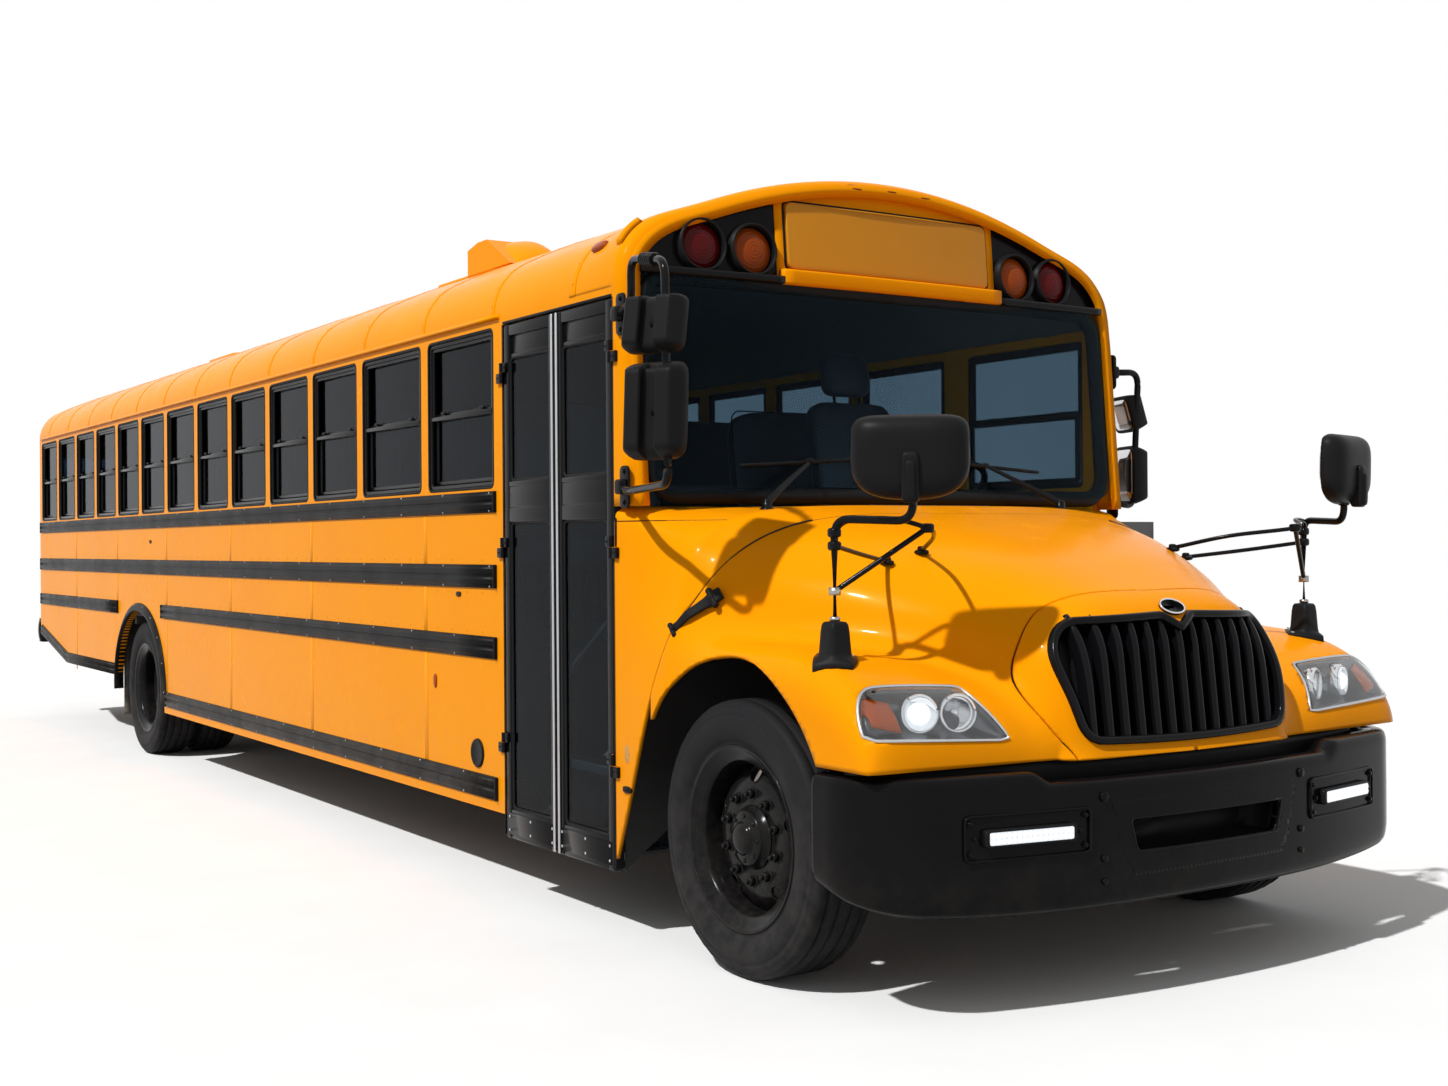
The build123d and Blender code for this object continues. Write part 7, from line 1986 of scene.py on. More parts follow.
def buildRails():
    # rub rails with caps and screws, the skirt rail that rises behind the wheel, and the lip round the arch
    rails, screws = MeshStore(), MeshStore()
    s = sideShape
    archFront, archRear = s["archX"] + s["archRx"], s["archX"] - s["archRx"]
    for side, front in ((-1, 3.260), (1, 4.160)):
        runs = [(1.543, 1.630, s["railRear"], front), (1.235, 1.331, s["railRear"], front),
                (0.947, 1.037, archFront - 0.030, front), (0.947, 1.037, s["railRear"], archRear + 0.030),
                (0.374, 0.469, archFront + 0.055, front)]
        for low, high, rear, end in runs:
            x = np.linspace(rear, end, max(int((end - rear) / 0.35), 2) + 1)
            path = joined(x, side * halfWidth, (low + high) / 2)
            layRail(rails, side, path, high - low)
            # caps close the ends
            for cap in (rear, end):
                softBar(rails, (cap - 0.004, side * 1.2195, low + 0.001),
                        (cap + 0.004, side * (halfWidth + s["railDepth"] + 0.0012), high - 0.001), 0.003)
            for place in np.arange(rear + 0.05, end - 0.02, 0.46):
                for z in (low + 0.007, high - 0.007):
                    screws.box((place, side * (halfWidth + s["railDepth"] * 0.55), z),
                               (0.009, 0.006, 0.009), 2.2, 6, 8)
        corner = [(archRear - 0.055, 0.5425), (s["riseX"] + 0.10, 0.5425), (s["riseX"], 0.5435),
                  (s["riseX"] - 0.06, 0.555), (s["railRear"], 0.730)]
        path = np.array([(x, side * halfWidth, z) for x, z in corner])
        layRail(rails, side, path, 0.083)
        # arch trim: a flared rubber lip that follows the wheel opening
        turn = np.linspace(np.pi + 0.088, -0.088, 60)
        trim = joined(s["archX"] + (s["archRx"] + 0.024) * np.cos(turn), side * halfWidth,
                      axleHeight + (s["archRz"] + 0.024) * np.sin(turn))
        out = np.array([0, side, 0.0])
        radial = joined(np.cos(turn), 0.0, np.sin(turn))
        section = np.array([[0.026, -0.001], [0.026, 0.006], [0.020, 0.012], [0.006, 0.017], [-0.012, 0.024],
                            [-0.024, 0.026], [-0.027, 0.020], [-0.024, 0.000], [-0.024, -0.040], [-0.018, -0.040],
                            [-0.016, -0.001]])
        rails.stack(trim[:, None, :] + section[None, :, 0:1] * radial[:, None, :] + section[None, :, 1:2] * out)
        for k in range(3, 58, 6):
            screws.box(trim[k] + radial[k] * 0.013 + out * 0.014, (0.010, 0.007, 0.010), 2.2, 6, 8)
    made = rails.tidy("side_rails", "railBlack", "black_paint")
    screws.tidy("rail_screws", "zincBolt", "grab_steel")
    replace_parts(made, "rub_rails")


def buildSideTrim():
    # gutters, laps between the side sheets, rivet rows, and the small fittings of both sides
    yellow, rivets, dark, amber, gold = (MeshStore() for _ in range(5))
    s = sideShape
    gutter = np.array([[0.000, -0.010], [0.014, -0.007], [0.0165, 0.001], [0.013, 0.003], [0.009, -0.001],
                       [0.004, 0.001], [0.002, 0.012], [-0.001, 0.013]])
    for side, front in ((-1, 3.300), (1, 4.250)):
        x = np.linspace(-5.560, front, 40)
        path = joined(x, side * halfWidth, 2.331)
        out = np.array([0, side, 0.0])
        yellow.stack(path[:, None, :] + gutter[None, :, 0:1] * out + gutter[None, :, 1:2] * np.array([0, 0, 1.0]))
        # lap joints of the side sheets, none over the wheel arch or behind the skirt's rise
        edges = postPlaces()
        for place in edges[1:-1:2]:
            for low, high in ((1.331, 1.543), (1.037, 1.235), (0.470, 0.947)):
                if abs(place - s["archX"]) < s["archRx"] + 0.06 and low < 1.0:
                    continue
                if place < s["riseX"] and low < 0.6:
                    continue
                softBar(yellow, (place - 0.016, side * 1.2186, low), (place + 0.016, side * 1.2203, high), 0.0008)
        for z in (1.351, 1.216, 1.056):
            for place in np.arange(s["railRear"] + 0.04, front - 0.05, 0.152):
                rivets.box((place, side * 1.2193, z), (0.0085, 0.0040, 0.0085), 2.0, 5, 8)
        for place in edges[:-1]:
            for z in (1.70, 1.82, 2.08, 2.24):
                rivets.box((place, side * 1.2193, z), (0.0075, 0.0040, 0.0075), 2.0, 5, 8)
    # side markers and reflectors, then the right side's disc, door release and small plates
    for side in (-1, 1):
        amber.box((frontAxle - 2.278, side * 1.2215, 0.823), (0.030, 0.012, 0.062), 2.4, 10, 20)
        gold.box((frontAxle - 0.601, side * 1.2205, 0.672), (0.046, 0.010, 0.074), 2.4, 10, 24)
    disc = [(0, 0.006), (0.046, 0.006), (0.052, 0.009), (0.058, 0.007), (0.060, 0.0), (0, 0.0)]
    dark.turned(disc, (frontAxle - 1.849, -1.2192, 0.551), (0, -1, 0), 40)
    dark.box((frontAxle - 0.607, -1.2215, 0.545), (0.060, 0.014, 0.024), 3.4, 8, 18)
    dark.box((frontAxle - 0.607, -1.2290, 0.545), (0.034, 0.012, 0.012), 3.0, 8, 14)
    dark.box((frontAxle - 0.681, -1.2200, 1.452), (0.011, 0.006, 0.110), 3.4, 8, 14)
    for x, z in ((frontAxle - 7.0, 1.452), (frontAxle - 2.03, 1.205)):
        dark.box((x, -1.2205, z), (0.050, 0.008, 0.022), 3.0, 8, 14)
    yellow.tidy("side_laps_and_gutters", "busYellow", "yellow_paint")
    rivets.tidy("side_rivets", "busYellow", "yellow_paint")
    dark.tidy("side_fittings", "mouldedBlack", "black_plastic")
    amber.tidy("side_marker_lenses", "amberLens", "amber_lens")
    gold.tidy("side_reflectors", "amberReflector", "amber_lens")


buildWindows()
buildRails()
buildSideTrim()
print("side made")


# roof skin: seams over hoops, hatch lids with pressed tops, the scoop vent, and the lining inside
roofShape = {"rearX": -5.575, "frontX": 3.920, "seams": 13, "hatches": {"hatch_front": 1.020, "hatch_rear": -3.380},
             "hatchHalf": 0.340, "lidHalf": 0.352, "lidTop": 2.874, "lidLow": 2.8506, "lining": 0.045,
             "firstSeam": 3.230, "pitch": 0.710, "hinge": (0.366, 0.150, 2.862)}


def roofOutline(inset=0.0):
    # the cap's outline above the eaves, moved inward along its own normal
    outline = capOutline(capShape["low"])
    outline = outline[outline[:, 1] >= capShape["eave"] - 1e-6]
    return outline + inwardOf(outline) * inset


def roofHeight(y):
    # the crown's arc
    return capShape["crownCentre"] + np.sqrt(capShape["crownRadius"] ** 2 - np.asarray(y, float) ** 2)


def buildRoofSeams():
    # lapped sheet edges: a low step carried over the roof at each hoop, with rivets beside it
    laps, rivets = MeshStore(), MeshStore()
    skin = roofOutline(-0.0004)
    for k in range(-1, roofShape["seams"]):
        x = roofShape["frontX"] + 0.003 if k < 0 else roofShape["firstSeam"] - roofShape["pitch"] * k
        nearHatch = any(abs(x - place) < roofShape["hatchHalf"] + 0.05 for place in roofShape["hatches"].values())
        parts = [skin]
        if nearHatch:
            parts = [skin[skin[:, 0] < -0.40], skin[skin[:, 0] > 0.40]]
        for part in parts:
            path = np.column_stack([np.full(len(part), x), part])
            laps.sweep(path, np.array([[-0.024, -0.0015], [0.022, -0.0015], [0.024, 0.0004], [0.022, 0.0016],
                                       [-0.016, 0.0014], [-0.024, 0.0002]]), up=(0, 0, 1))
            length = lengthAlong(part)
            for s in np.arange(0.05, length[-1] - 0.03, 0.085):
                y, z = np.interp(s, length, part[:, 0]), np.interp(s, length, part[:, 1])
                normal = np.array([0, y, z - capShape["crownCentre"]])
                rivets.rivet((x, y, z), normal, 0.0032, 0.004, 0.0026, 0.0062, 6)
    laps.tidy("roof_laps", "busYellow", "yellow_paint")
    rivets.tidy("roof_rivets", "busYellow", "yellow_paint")


def buildHatches():
    # lid, hinge barrels, seal and rivets that move with the hatch, and the curb that stays on the roof
    for body, x in roofShape["hatches"].items():
        lid, seal, kerb = MeshStore(), MeshStore(), MeshStore()
        half, low, top = roofShape["lidHalf"], roofShape["lidLow"], roofShape["lidTop"]
        # rounded square rings: skirt, rolled edge, flat rim, step up to a crowned pressed middle
        rings = []
        for reach, corner, z in ((0.340, 0.050, low), (half - 0.002, 0.060, low), (half, 0.061, low + 0.003),
                                 (half, 0.061, top - 0.010), (half - 0.003, 0.060, top - 0.005),
                                 (half - 0.010, 0.056, top - 0.004), (half - 0.060, 0.050, top - 0.004),
                                 (half - 0.072, 0.046, top - 0.001), (half - 0.090, 0.040, top + 0.001),
                                 (half - 0.200, 0.030, top + 0.004), (0.030, 0.010, top + 0.005)):
            flat = boxProfile(2 * reach, 2 * reach, corner, 7)
            rings.append(joined(x + flat[:, 0], flat[:, 1], z))
        lid.stack(rings)
        # barrels on the hinge side
        for side in (-1, 1):
            pinX, pinY, pinZ = x + roofShape["hinge"][0], side * roofShape["hinge"][1], roofShape["hinge"][2]
            lid.turned([(0, 0.020), (0.009, 0.0198), (0.0092, -0.0198), (0, -0.020)], (pinX, pinY, pinZ), (0, 1, 0), 20)
            softBar(lid, (x + 0.344, pinY - 0.0195, 2.8535), (pinX, pinY + 0.0195, 2.866), 0.002)
        flat = boxProfile(2 * (half - 0.025), 2 * (half - 0.025), 0.055, 7)
        seal.sweep(joined(x + flat[:, 0] * 0.93, flat[:, 1] * 0.93, low - 0.0005),
                   boxProfile(0.014, 0.003, 0.001, 2), closed=True)
        flat = boxProfile(2 * (half - 0.030), 2 * (half - 0.030), 0.050, 7)
        loop = np.vstack([flat, flat[:1]])
        length = lengthAlong(loop)
        rivetCount = 28
        for k in range(rivetCount):
            place = k / rivetCount * length[-1]
            px, py = np.interp(place, length, loop[:, 0]), np.interp(place, length, loop[:, 1])
            kerb.rivet((x + px, py, top - 0.0042), (0, 0, 1), 0.0032, 0.005, 0.0026, 0.0072, 10)
        name = body.replace("hatch_", "")
        made = lid.tidy("hatch_lid_" + name, "busYellow", "yellow_paint", body)
        seal.tidy("hatch_seal_" + name, "sealRubber", "black_plastic", body)
        kerb.tidy("hatch_rivets_" + name, "zincBolt", "cast_metal", body)
        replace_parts(made, "roof_hatch_" + name)
        # curb flange on the roof round the opening
        flange = MeshStore()
        rows = []
        for reach, corner, lift in ((0.3405, 0.004, 0.014), (0.3415, 0.006, 0.004), (0.352, 0.014, 0.0016),
                                    (0.372, 0.026, 0.0012)):
            flat = densified(boxProfile(2 * reach, 2 * reach, corner, 6), 8)
            rows.append(joined(x + flat[:, 0], flat[:, 1], roofHeight(flat[:, 1]) + lift))
        flange.stack(rows, capStart=False, capEnd=False)
        thicken(flange.tidy("hatch_curb_" + name, "busYellow", "yellow_paint"), 0.0012)


def buildVent():
    # scoop: section rises as a smooth hump from nothing at the front and is cut off square at the rear mouth
    x0, x1, y0, half = 2.243, 1.757, -0.500, 0.152
    rows, columns = 40, 34
    u = np.linspace(0, 1, rows)[:, None]
    v = np.linspace(-1, 1, columns)[None, :]
    climb = np.clip(1.55 * u, 0, 1) ** 0.9
    rise = 0.131 * climb * (2 - climb)
    rise = rise * (1 - 0.10 * np.clip((u - 0.75) / 0.25, 0, 1) ** 2)
    arch = (1 - np.abs(v) ** 3.4) ** 0.55
    y = y0 + half * v * (0.80 + 0.20 * np.clip(2.5 * u, 0, 1))
    z = roofHeight(y) + 0.003 + rise * arch
    hood, flange = MeshStore(), MeshStore()
    hood.add(joined(x0 + (x1 - x0) * u, y, z), gridFaces(rows, columns))
    thicken(hood.tidy("roof_vent", "busYellow", "yellow_paint"), 0.004)
    outline = densified(rectPath(x1 - 0.010, x0 + 0.030, y0 - half - 0.024, y0 + half + 0.024, 0.030), 6)
    rows = [np.column_stack([outline, roofHeight(outline[:, 1]) + lift]) for lift in (0.0, 0.003)]
    middle = outline.mean(axis=0)
    inner = middle + (outline - middle) * 0.55
    rows.append(np.column_stack([inner, roofHeight(inner[:, 1]) + 0.003]))
    flange.add(np.concatenate(rows), gridFaces(3, len(outline), wrapColumns=True))
    for px in np.linspace(x1 + 0.02, x0, 6):
        for side in (-1, 1):
            py = y0 + side * (half + 0.013)
            flange.rivet((px, py, roofHeight(py) + 0.003), (0, py, 2.3), 0.004, 0.005, 0.003, 0.007, 8)
    flange.tidy("roof_vent_flange", "busYellow", "yellow_paint")


def buildLining():
    # headlining: the roof's outline drawn inward, pressed into shallow panels between the hoops
    outline = roofOutline(roofShape["lining"])
    x = np.linspace(roofShape["rearX"] + 0.03, 4.180, 200)
    pressed = 0.006 * np.clip(8 * np.abs(((x - roofShape["firstSeam"]) / roofShape["pitch"]) % 1 - 0.5) - 3.2, 0, 1)
    grid = np.empty((len(x), len(outline), 3))
    grid[..., 0] = x[:, None]
    grid[..., 1] = outline[None, :, 0] * (1 - 0.3 * pressed[:, None])
    grid[..., 2] = outline[None, :, 1] - pressed[:, None]
    triangles = splitTriangles(gridFaces(*grid.shape[:2]))
    points = grid.reshape(-1, 3)

    def clearOfHatch(p):
        return np.maximum(np.abs(p[:, 0] - place), np.abs(p[:, 1])) - 0.305

    for place in roofShape["hatches"].values():
        points, triangles = clipTriangles(points, triangles, clearOfHatch)
    thicken(tidyMesh(addMesh("headlining", points, triangles, "headLining")), 0.004)


buildRoofSeams()
buildHatches()
buildVent()
buildLining()
print("roof made")


# cabin: padded benches, driver's seat, dash, steering wheel and wipers
cabinShape = {"floor": 0.990, "firstBench": 2.980, "pitch": 0.710, "benches": 12, "aisle": 0.201, "wall": 1.171,
              "lean": math.radians(7.3), "driverX": 3.690, "driverY": 0.480}


def padForm(centre, size, axes, crown=0.012, pull=0.010, channels=(), rows=16, columns=36, power=5.0):
    # superellipsoid whose faces bulge by the crown, whose sides draw in between corners, cut by sewn channels
    points, faces = softBox((0, 0, 0), (2, 2, 2), power, rows, columns)
    x, y, z = points.T
    bulge = (1 - np.abs(x) ** 2) * (1 - np.abs(y) ** 2)
    height = z * (size[2] / 2 + crown * bulge)
    for place, depth, width in channels:
        height = height - np.sign(z) * depth * np.exp(-((y - place) / width) ** 2) * (np.abs(z) > 0.3)
    seam = 1 - 0.035 * np.exp(-(z / 0.10) ** 2)
    local = joined(x * seam * (size[0] / 2 - pull * (1 - y ** 2)), y * seam * (size[1] / 2 - pull * (1 - x ** 2)),
                   height)
    return local @ np.asarray(axes, float) + np.asarray(centre, float), faces


def leanAxes(angle):
    # up, across and forward of a back that leans to the rear
    return np.array([[-math.sin(angle), 0, math.cos(angle)], [0, 1, 0], [math.cos(angle), 0, math.sin(angle)]])


def benchForms(store, backs, piping, frames, x, side):
    # cushion, leaning back with piping round it, a bent leg at the aisle and a rail at the wall
    floor, lean = cabinShape["floor"], cabinShape["lean"]
    y = side * (cabinShape["aisle"] + cabinShape["wall"]) / 2
    wide = cabinShape["wall"] - cabinShape["aisle"]
    store.add(*padForm((x + 0.150, y, floor + 0.398), (0.400, wide - 0.010, 0.142), np.eye(3), 0.016, 0.008,
                       ((-0.33, 0.006, 0.02), (0.33, 0.006, 0.02)), 14, 32))
    axes = leanAxes(lean)
    up, _, ahead = axes
    centre = np.array([x - 0.150, y, floor + 0.755])
    backs.add(*padForm(centre, (0.600, wide, 0.078), axes, 0.012, 0.006, ((-0.33, 0.005, 0.02), (0.33, 0.005, 0.02)),
                       14, 32, 6.0))
    flat = boxProfile(0.585, wide - 0.016, 0.050, 5)
    path = centre + flat[:, 0:1] * up + flat[:, 1:2] * np.array([0, 1.0, 0]) + ahead * 0.033
    piping.sweep(path, circleProfile(0.0035, 5), closed=True, up=ahead)
    leg = side * (cabinShape["aisle"] + 0.040)
    loop = bentPath([(x + 0.300, leg, floor), (x + 0.300, leg, floor + 0.315), (x - 0.060, leg, floor + 0.315),
                     (x - 0.060, leg, floor)], 0.05, 5)
    frames.sweep(loop, circleProfile(0.014, 8), up=(0, 1, 0))
    for foot in (x + 0.300, x - 0.060):
        frames.box((foot, leg, floor + 0.004), (0.070, 0.060, 0.009), 4.0, 5, 10)
    softBar(frames, (x - 0.070, side * 1.165, floor + 0.290), (x + 0.330, side * 1.178, floor + 0.325), 0.004)


def buildBenches():
    # twelve rows on each side of the aisle
    cushions, backs, piping, frames = MeshStore(), MeshStore(), MeshStore(), MeshStore()
    for k in range(cabinShape["benches"]):
        for side in (-1, 1):
            benchForms(cushions, backs, piping, frames, cabinShape["firstBench"] - k * cabinShape["pitch"], side)
    seatPads = cushions.tidy("bench_cushions", "seatVinyl", "seat_vinyl")
    backPads = backs.tidy("bench_backs", "seatVinyl", "seat_vinyl")
    piping.tidy("bench_piping", "sealRubber", "seat_vinyl")
    frames.tidy("bench_frames", "chassisBlack", "chassis_black")
    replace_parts(backPads, "seats")


def buildDriverSeat():
    # cushion, leaning back and head pad with its posts, armrest bars, bellows and base
    pads, frame = MeshStore(), MeshStore()
    x, y, floor = cabinShape["driverX"], cabinShape["driverY"], cabinShape["floor"]
    lean = math.radians(11)
    pads.add(*padForm((x + 0.010, y, floor + 0.385), (0.480, 0.500, 0.115), np.eye(3), 0.022, 0.012,
                      ((-0.52, 0.014, 0.05), (0.52, 0.014, 0.05)), 20, 44))
    axes = leanAxes(lean)
    pads.add(*padForm((x - 0.255, y, floor + 0.740), (0.660, 0.490, 0.100), axes, 0.020, 0.016,
                      ((-0.55, 0.015, 0.05), (0.55, 0.015, 0.05)), 20, 44))
    pads.add(*padForm((x - 0.333, y, floor + 1.180), (0.215, 0.275, 0.085), axes, 0.016, 0.010, (), 14, 28, 3.6))
    for side in (-1, 1):
        post = np.array([[x - 0.310, y + side * 0.070, floor + 1.02], [x - 0.333, y + side * 0.070, floor + 1.16]])
        frame.sweep(post, circleProfile(0.007, 10))
        softBar(frame, (x - 0.20, y + side * 0.262, floor + 0.335), (x + 0.16, y + side * 0.248, floor + 0.400),
                0.008)
    # folding skirt of the suspension, then the base plate
    rings = []
    outline = boxProfile(0.300, 0.270, 0.040, 6)
    for k in range(13):
        grow = 1.0 if k % 2 else 0.90
        rings.append(joined(x + outline[:, 0] * grow, y + outline[:, 1] * grow, floor + 0.055 + k * 0.022))
    frame.stack(rings)
    softBar(frame, (x - 0.180, y - 0.150, floor + 0.002), (x + 0.180, y + 0.150, floor + 0.056), 0.010)
    softBar(frame, (x - 0.215, y - 0.230, floor + 0.312), (x + 0.225, y + 0.230, floor + 0.336), 0.008)
    seat = pads.tidy("driver_pads", "seatVinyl", "seat_vinyl")
    frame.tidy("driver_seat_base", "mouldedBlack", "black_plastic")
    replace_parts(seat, "driver_seat")


def buildDash():
    # dash section swept across: top shelf, rounded brow, sloping face and knee panel; then the wheel and dials
    body, wheel, dials = MeshStore(), MeshStore(), MeshStore()
    table = np.array([(4.570, 1.488), (4.300, 1.492), (4.150, 1.490), (4.112, 1.478), (4.080, 1.448), (4.012, 1.412),
                      (4.006, 1.396), (4.020, 1.300), (4.046, 1.262), (4.080, 1.232), (4.150, 1.214), (4.570, 1.212)])
    y = np.linspace(-0.325, 1.168, 60)
    brow = np.exp(-((y - cabinShape["driverY"]) / 0.22) ** 4)
    rows = []
    for place, rise in zip(y, brow):
        ring = joined(table[:, 0], place, table[:, 1])
        lift = np.exp(-((table[:, 0] - 4.10) / 0.07) ** 2) * (table[:, 1] > 1.43)
        ring[:, 2] += 0.045 * rise * lift
        rows.append(ring)
    body.stack(rows)
    tilt = math.radians(35)
    axis = np.array([-math.sin(tilt), 0, math.cos(tilt)])
    across = np.array([0, 1.0, 0])
    down = np.cross(axis, across)
    centre = np.array([3.990, cabinShape["driverY"], 1.610])
    turn = np.linspace(0, 2 * np.pi, 64, endpoint=False)
    rim = centre + 0.220 * (np.cos(turn)[:, None] * across + np.sin(turn)[:, None] * down)
    grip = circleProfile(0.0145, 14) * (1, 1.12)
    wheel.sweep(rim, grip, closed=True, up=axis)
    hub = [(0, 0.012), (0.048, 0.010), (0.062, 0.0), (0.066, -0.020), (0.050, -0.044), (0, -0.046)]
    wheel.turned(hub, centre - axis * 0.010, axis, 32)
    for angle in (0.0, math.pi, math.pi / 2):
        ray = math.cos(angle) * across + math.sin(angle) * down
        spoke = np.array([centre - axis * 0.020 + ray * r for r in (0.045, 0.100, 0.160, 0.216)])
        spoke[-1] += axis * 0.018
        spoke[-2] += axis * 0.006
        wheel.sweep(spoke, boxProfile(0.030, 0.012, 0.005, 3), up=axis, scale=[1.25, 1.0, 0.85, 0.8])
    column = np.array([centre - axis * s for s in (0.045, 0.10, 0.20, 0.30)])
    wheel.sweep(column, circleProfile(0.036, 20), scale=[0.8, 1.0, 1.15, 1.2])
    for offset, radius in ((-0.115, 0.050), (0.0, 0.058), (0.115, 0.050), (-0.19, 0.026), (0.19, 0.026)):
        place = np.array([4.005, cabinShape["driverY"] + offset, 1.352])
        dials.turned([(0, 0.002), (radius - 0.008, 0.002), (radius - 0.004, 0.010), (radius, 0.008), (radius, 0),
                      (0, 0)], place, (-1, 0, 0.14), 32)
    for k in range(10):
        softBar(dials, (4.005, 0.760 + k * 0.034, 1.330), (4.020, 0.782 + k * 0.034, 1.362), 0.004)
    for k in range(14):
        low = -0.28 + k * 0.026
        softBar(dials, (4.20, low, 1.4915), (4.45, low + 0.012, 1.497), 0.002)
    dash = body.tidy("dash_moulding", "dashPlastic", "dash_plastic")
    wheel.tidy("steering_wheel", "mouldedBlack", "dash_plastic")
    dials.tidy("dash_dials", "glossBlack", "dash_plastic")
    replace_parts(dash, "dashboard")


def glassPlace(y, z, lift):
    # a place in front of the leaning windscreen
    return joined(capShape["faceX"] + (capShape["screenTop"] - z) * capShape["lean"] - 0.022 + lift, y, z)


def buildWipers():
    # pivot, arm and blade in its bow; the blade lies almost level along the windscreen's foot
    arms, blades = MeshStore(), MeshStore()
    for pivotY, midY, side in ((-0.759, -0.470, -1), (0.682, 0.400, 1)):
        pivot = onCowlTop(np.array([4.520]), np.array([pivotY]))[0]
        arms.turned([(0, 0.034), (0.014, 0.032), (0.019, 0.024), (0.021, 0.0), (0.027, -0.002), (0.027, -0.010),
                     (0, -0.010)], pivot + (0, 0, 0.004), (0, 0, 1), 24)
        tip = glassPlace(np.array([midY]), np.array([1.715]), 0.030)[0]
        knee = pivot + (tip - pivot) * 0.38 + (0, 0, 0.018)
        path = smoothPath([pivot + (0, 0, 0.024), knee, tip], 8)
        arms.sweep(path, boxProfile(0.020, 0.010, 0.003, 3), up=(1, 0, 0.3), scale=np.linspace(1.5, 0.7, len(path)))
        half = 0.300
        t = np.linspace(-1, 1, 24)
        y = midY + half * t
        z = 1.712 + 0.018 * t * -side
        blade = glassPlace(y, z, 0.009)
        blades.sweep(blade, np.array([[-0.004, -0.010], [0.004, -0.010], [0.0065, 0.001], [0.003, 0.010],
                                      [-0.003, 0.010], [-0.0065, 0.001]]), up=(1, 0, 0))
        bow = glassPlace(y[3:-3], z[3:-3], 0.022) + np.array([1.0, 0, 0]) * (0.008 * (1 - t[3:-3] ** 2))[:, None]
        blades.sweep(bow, boxProfile(0.011, 0.005, 0.002, 3), up=(1, 0, 0))
        for k in (3, 8, 15, 20):
            blades.box((blade[k] + bow[min(max(k - 3, 0), len(bow) - 1)]) / 2, (0.020, 0.012, 0.014), 4.0, 6, 10)
        blades.box(tip - (0.006, 0, 0), (0.024, 0.034, 0.022), 4.0, 8, 12)
    made = arms.tidy("wiper_arms", "glossBlack", "black_paint")
    blades.tidy("wiper_blades", "sealRubber", "black_plastic")
    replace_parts(made, "wipers")


buildBenches()
buildDriverSeat()
buildDash()
buildWipers()
print("cabin made")


# rear end: windows in rubber, emergency door, lamps, bumper, and the sign, flaps and rails on the body
rearShape = {"x": -5.720, "windowY": 0.830, "windowZ": (1.640, 2.200), "windowWidth": 0.520,
             "door": (0.422, 0.948, 2.242), "lights": ((1.700, 2.160), (1.080, 1.480)), "lightHalf": 0.310,
             "warningZ": 2.420, "stopZ": 1.330, "backUpZ": 1.130}


def rearLoop(store, lowY, highY, lowZ, highZ, x, corner, profile):
    # a profile swept round a rounded rectangle that stands in the rear wall's plane
    flat = rectPath(lowY, highY, lowZ, highZ, corner)
    path = joined(x, flat[:, 0], flat[:, 1])
    store.sweep(path, profile, closed=True, up=(-1, 0, 0))


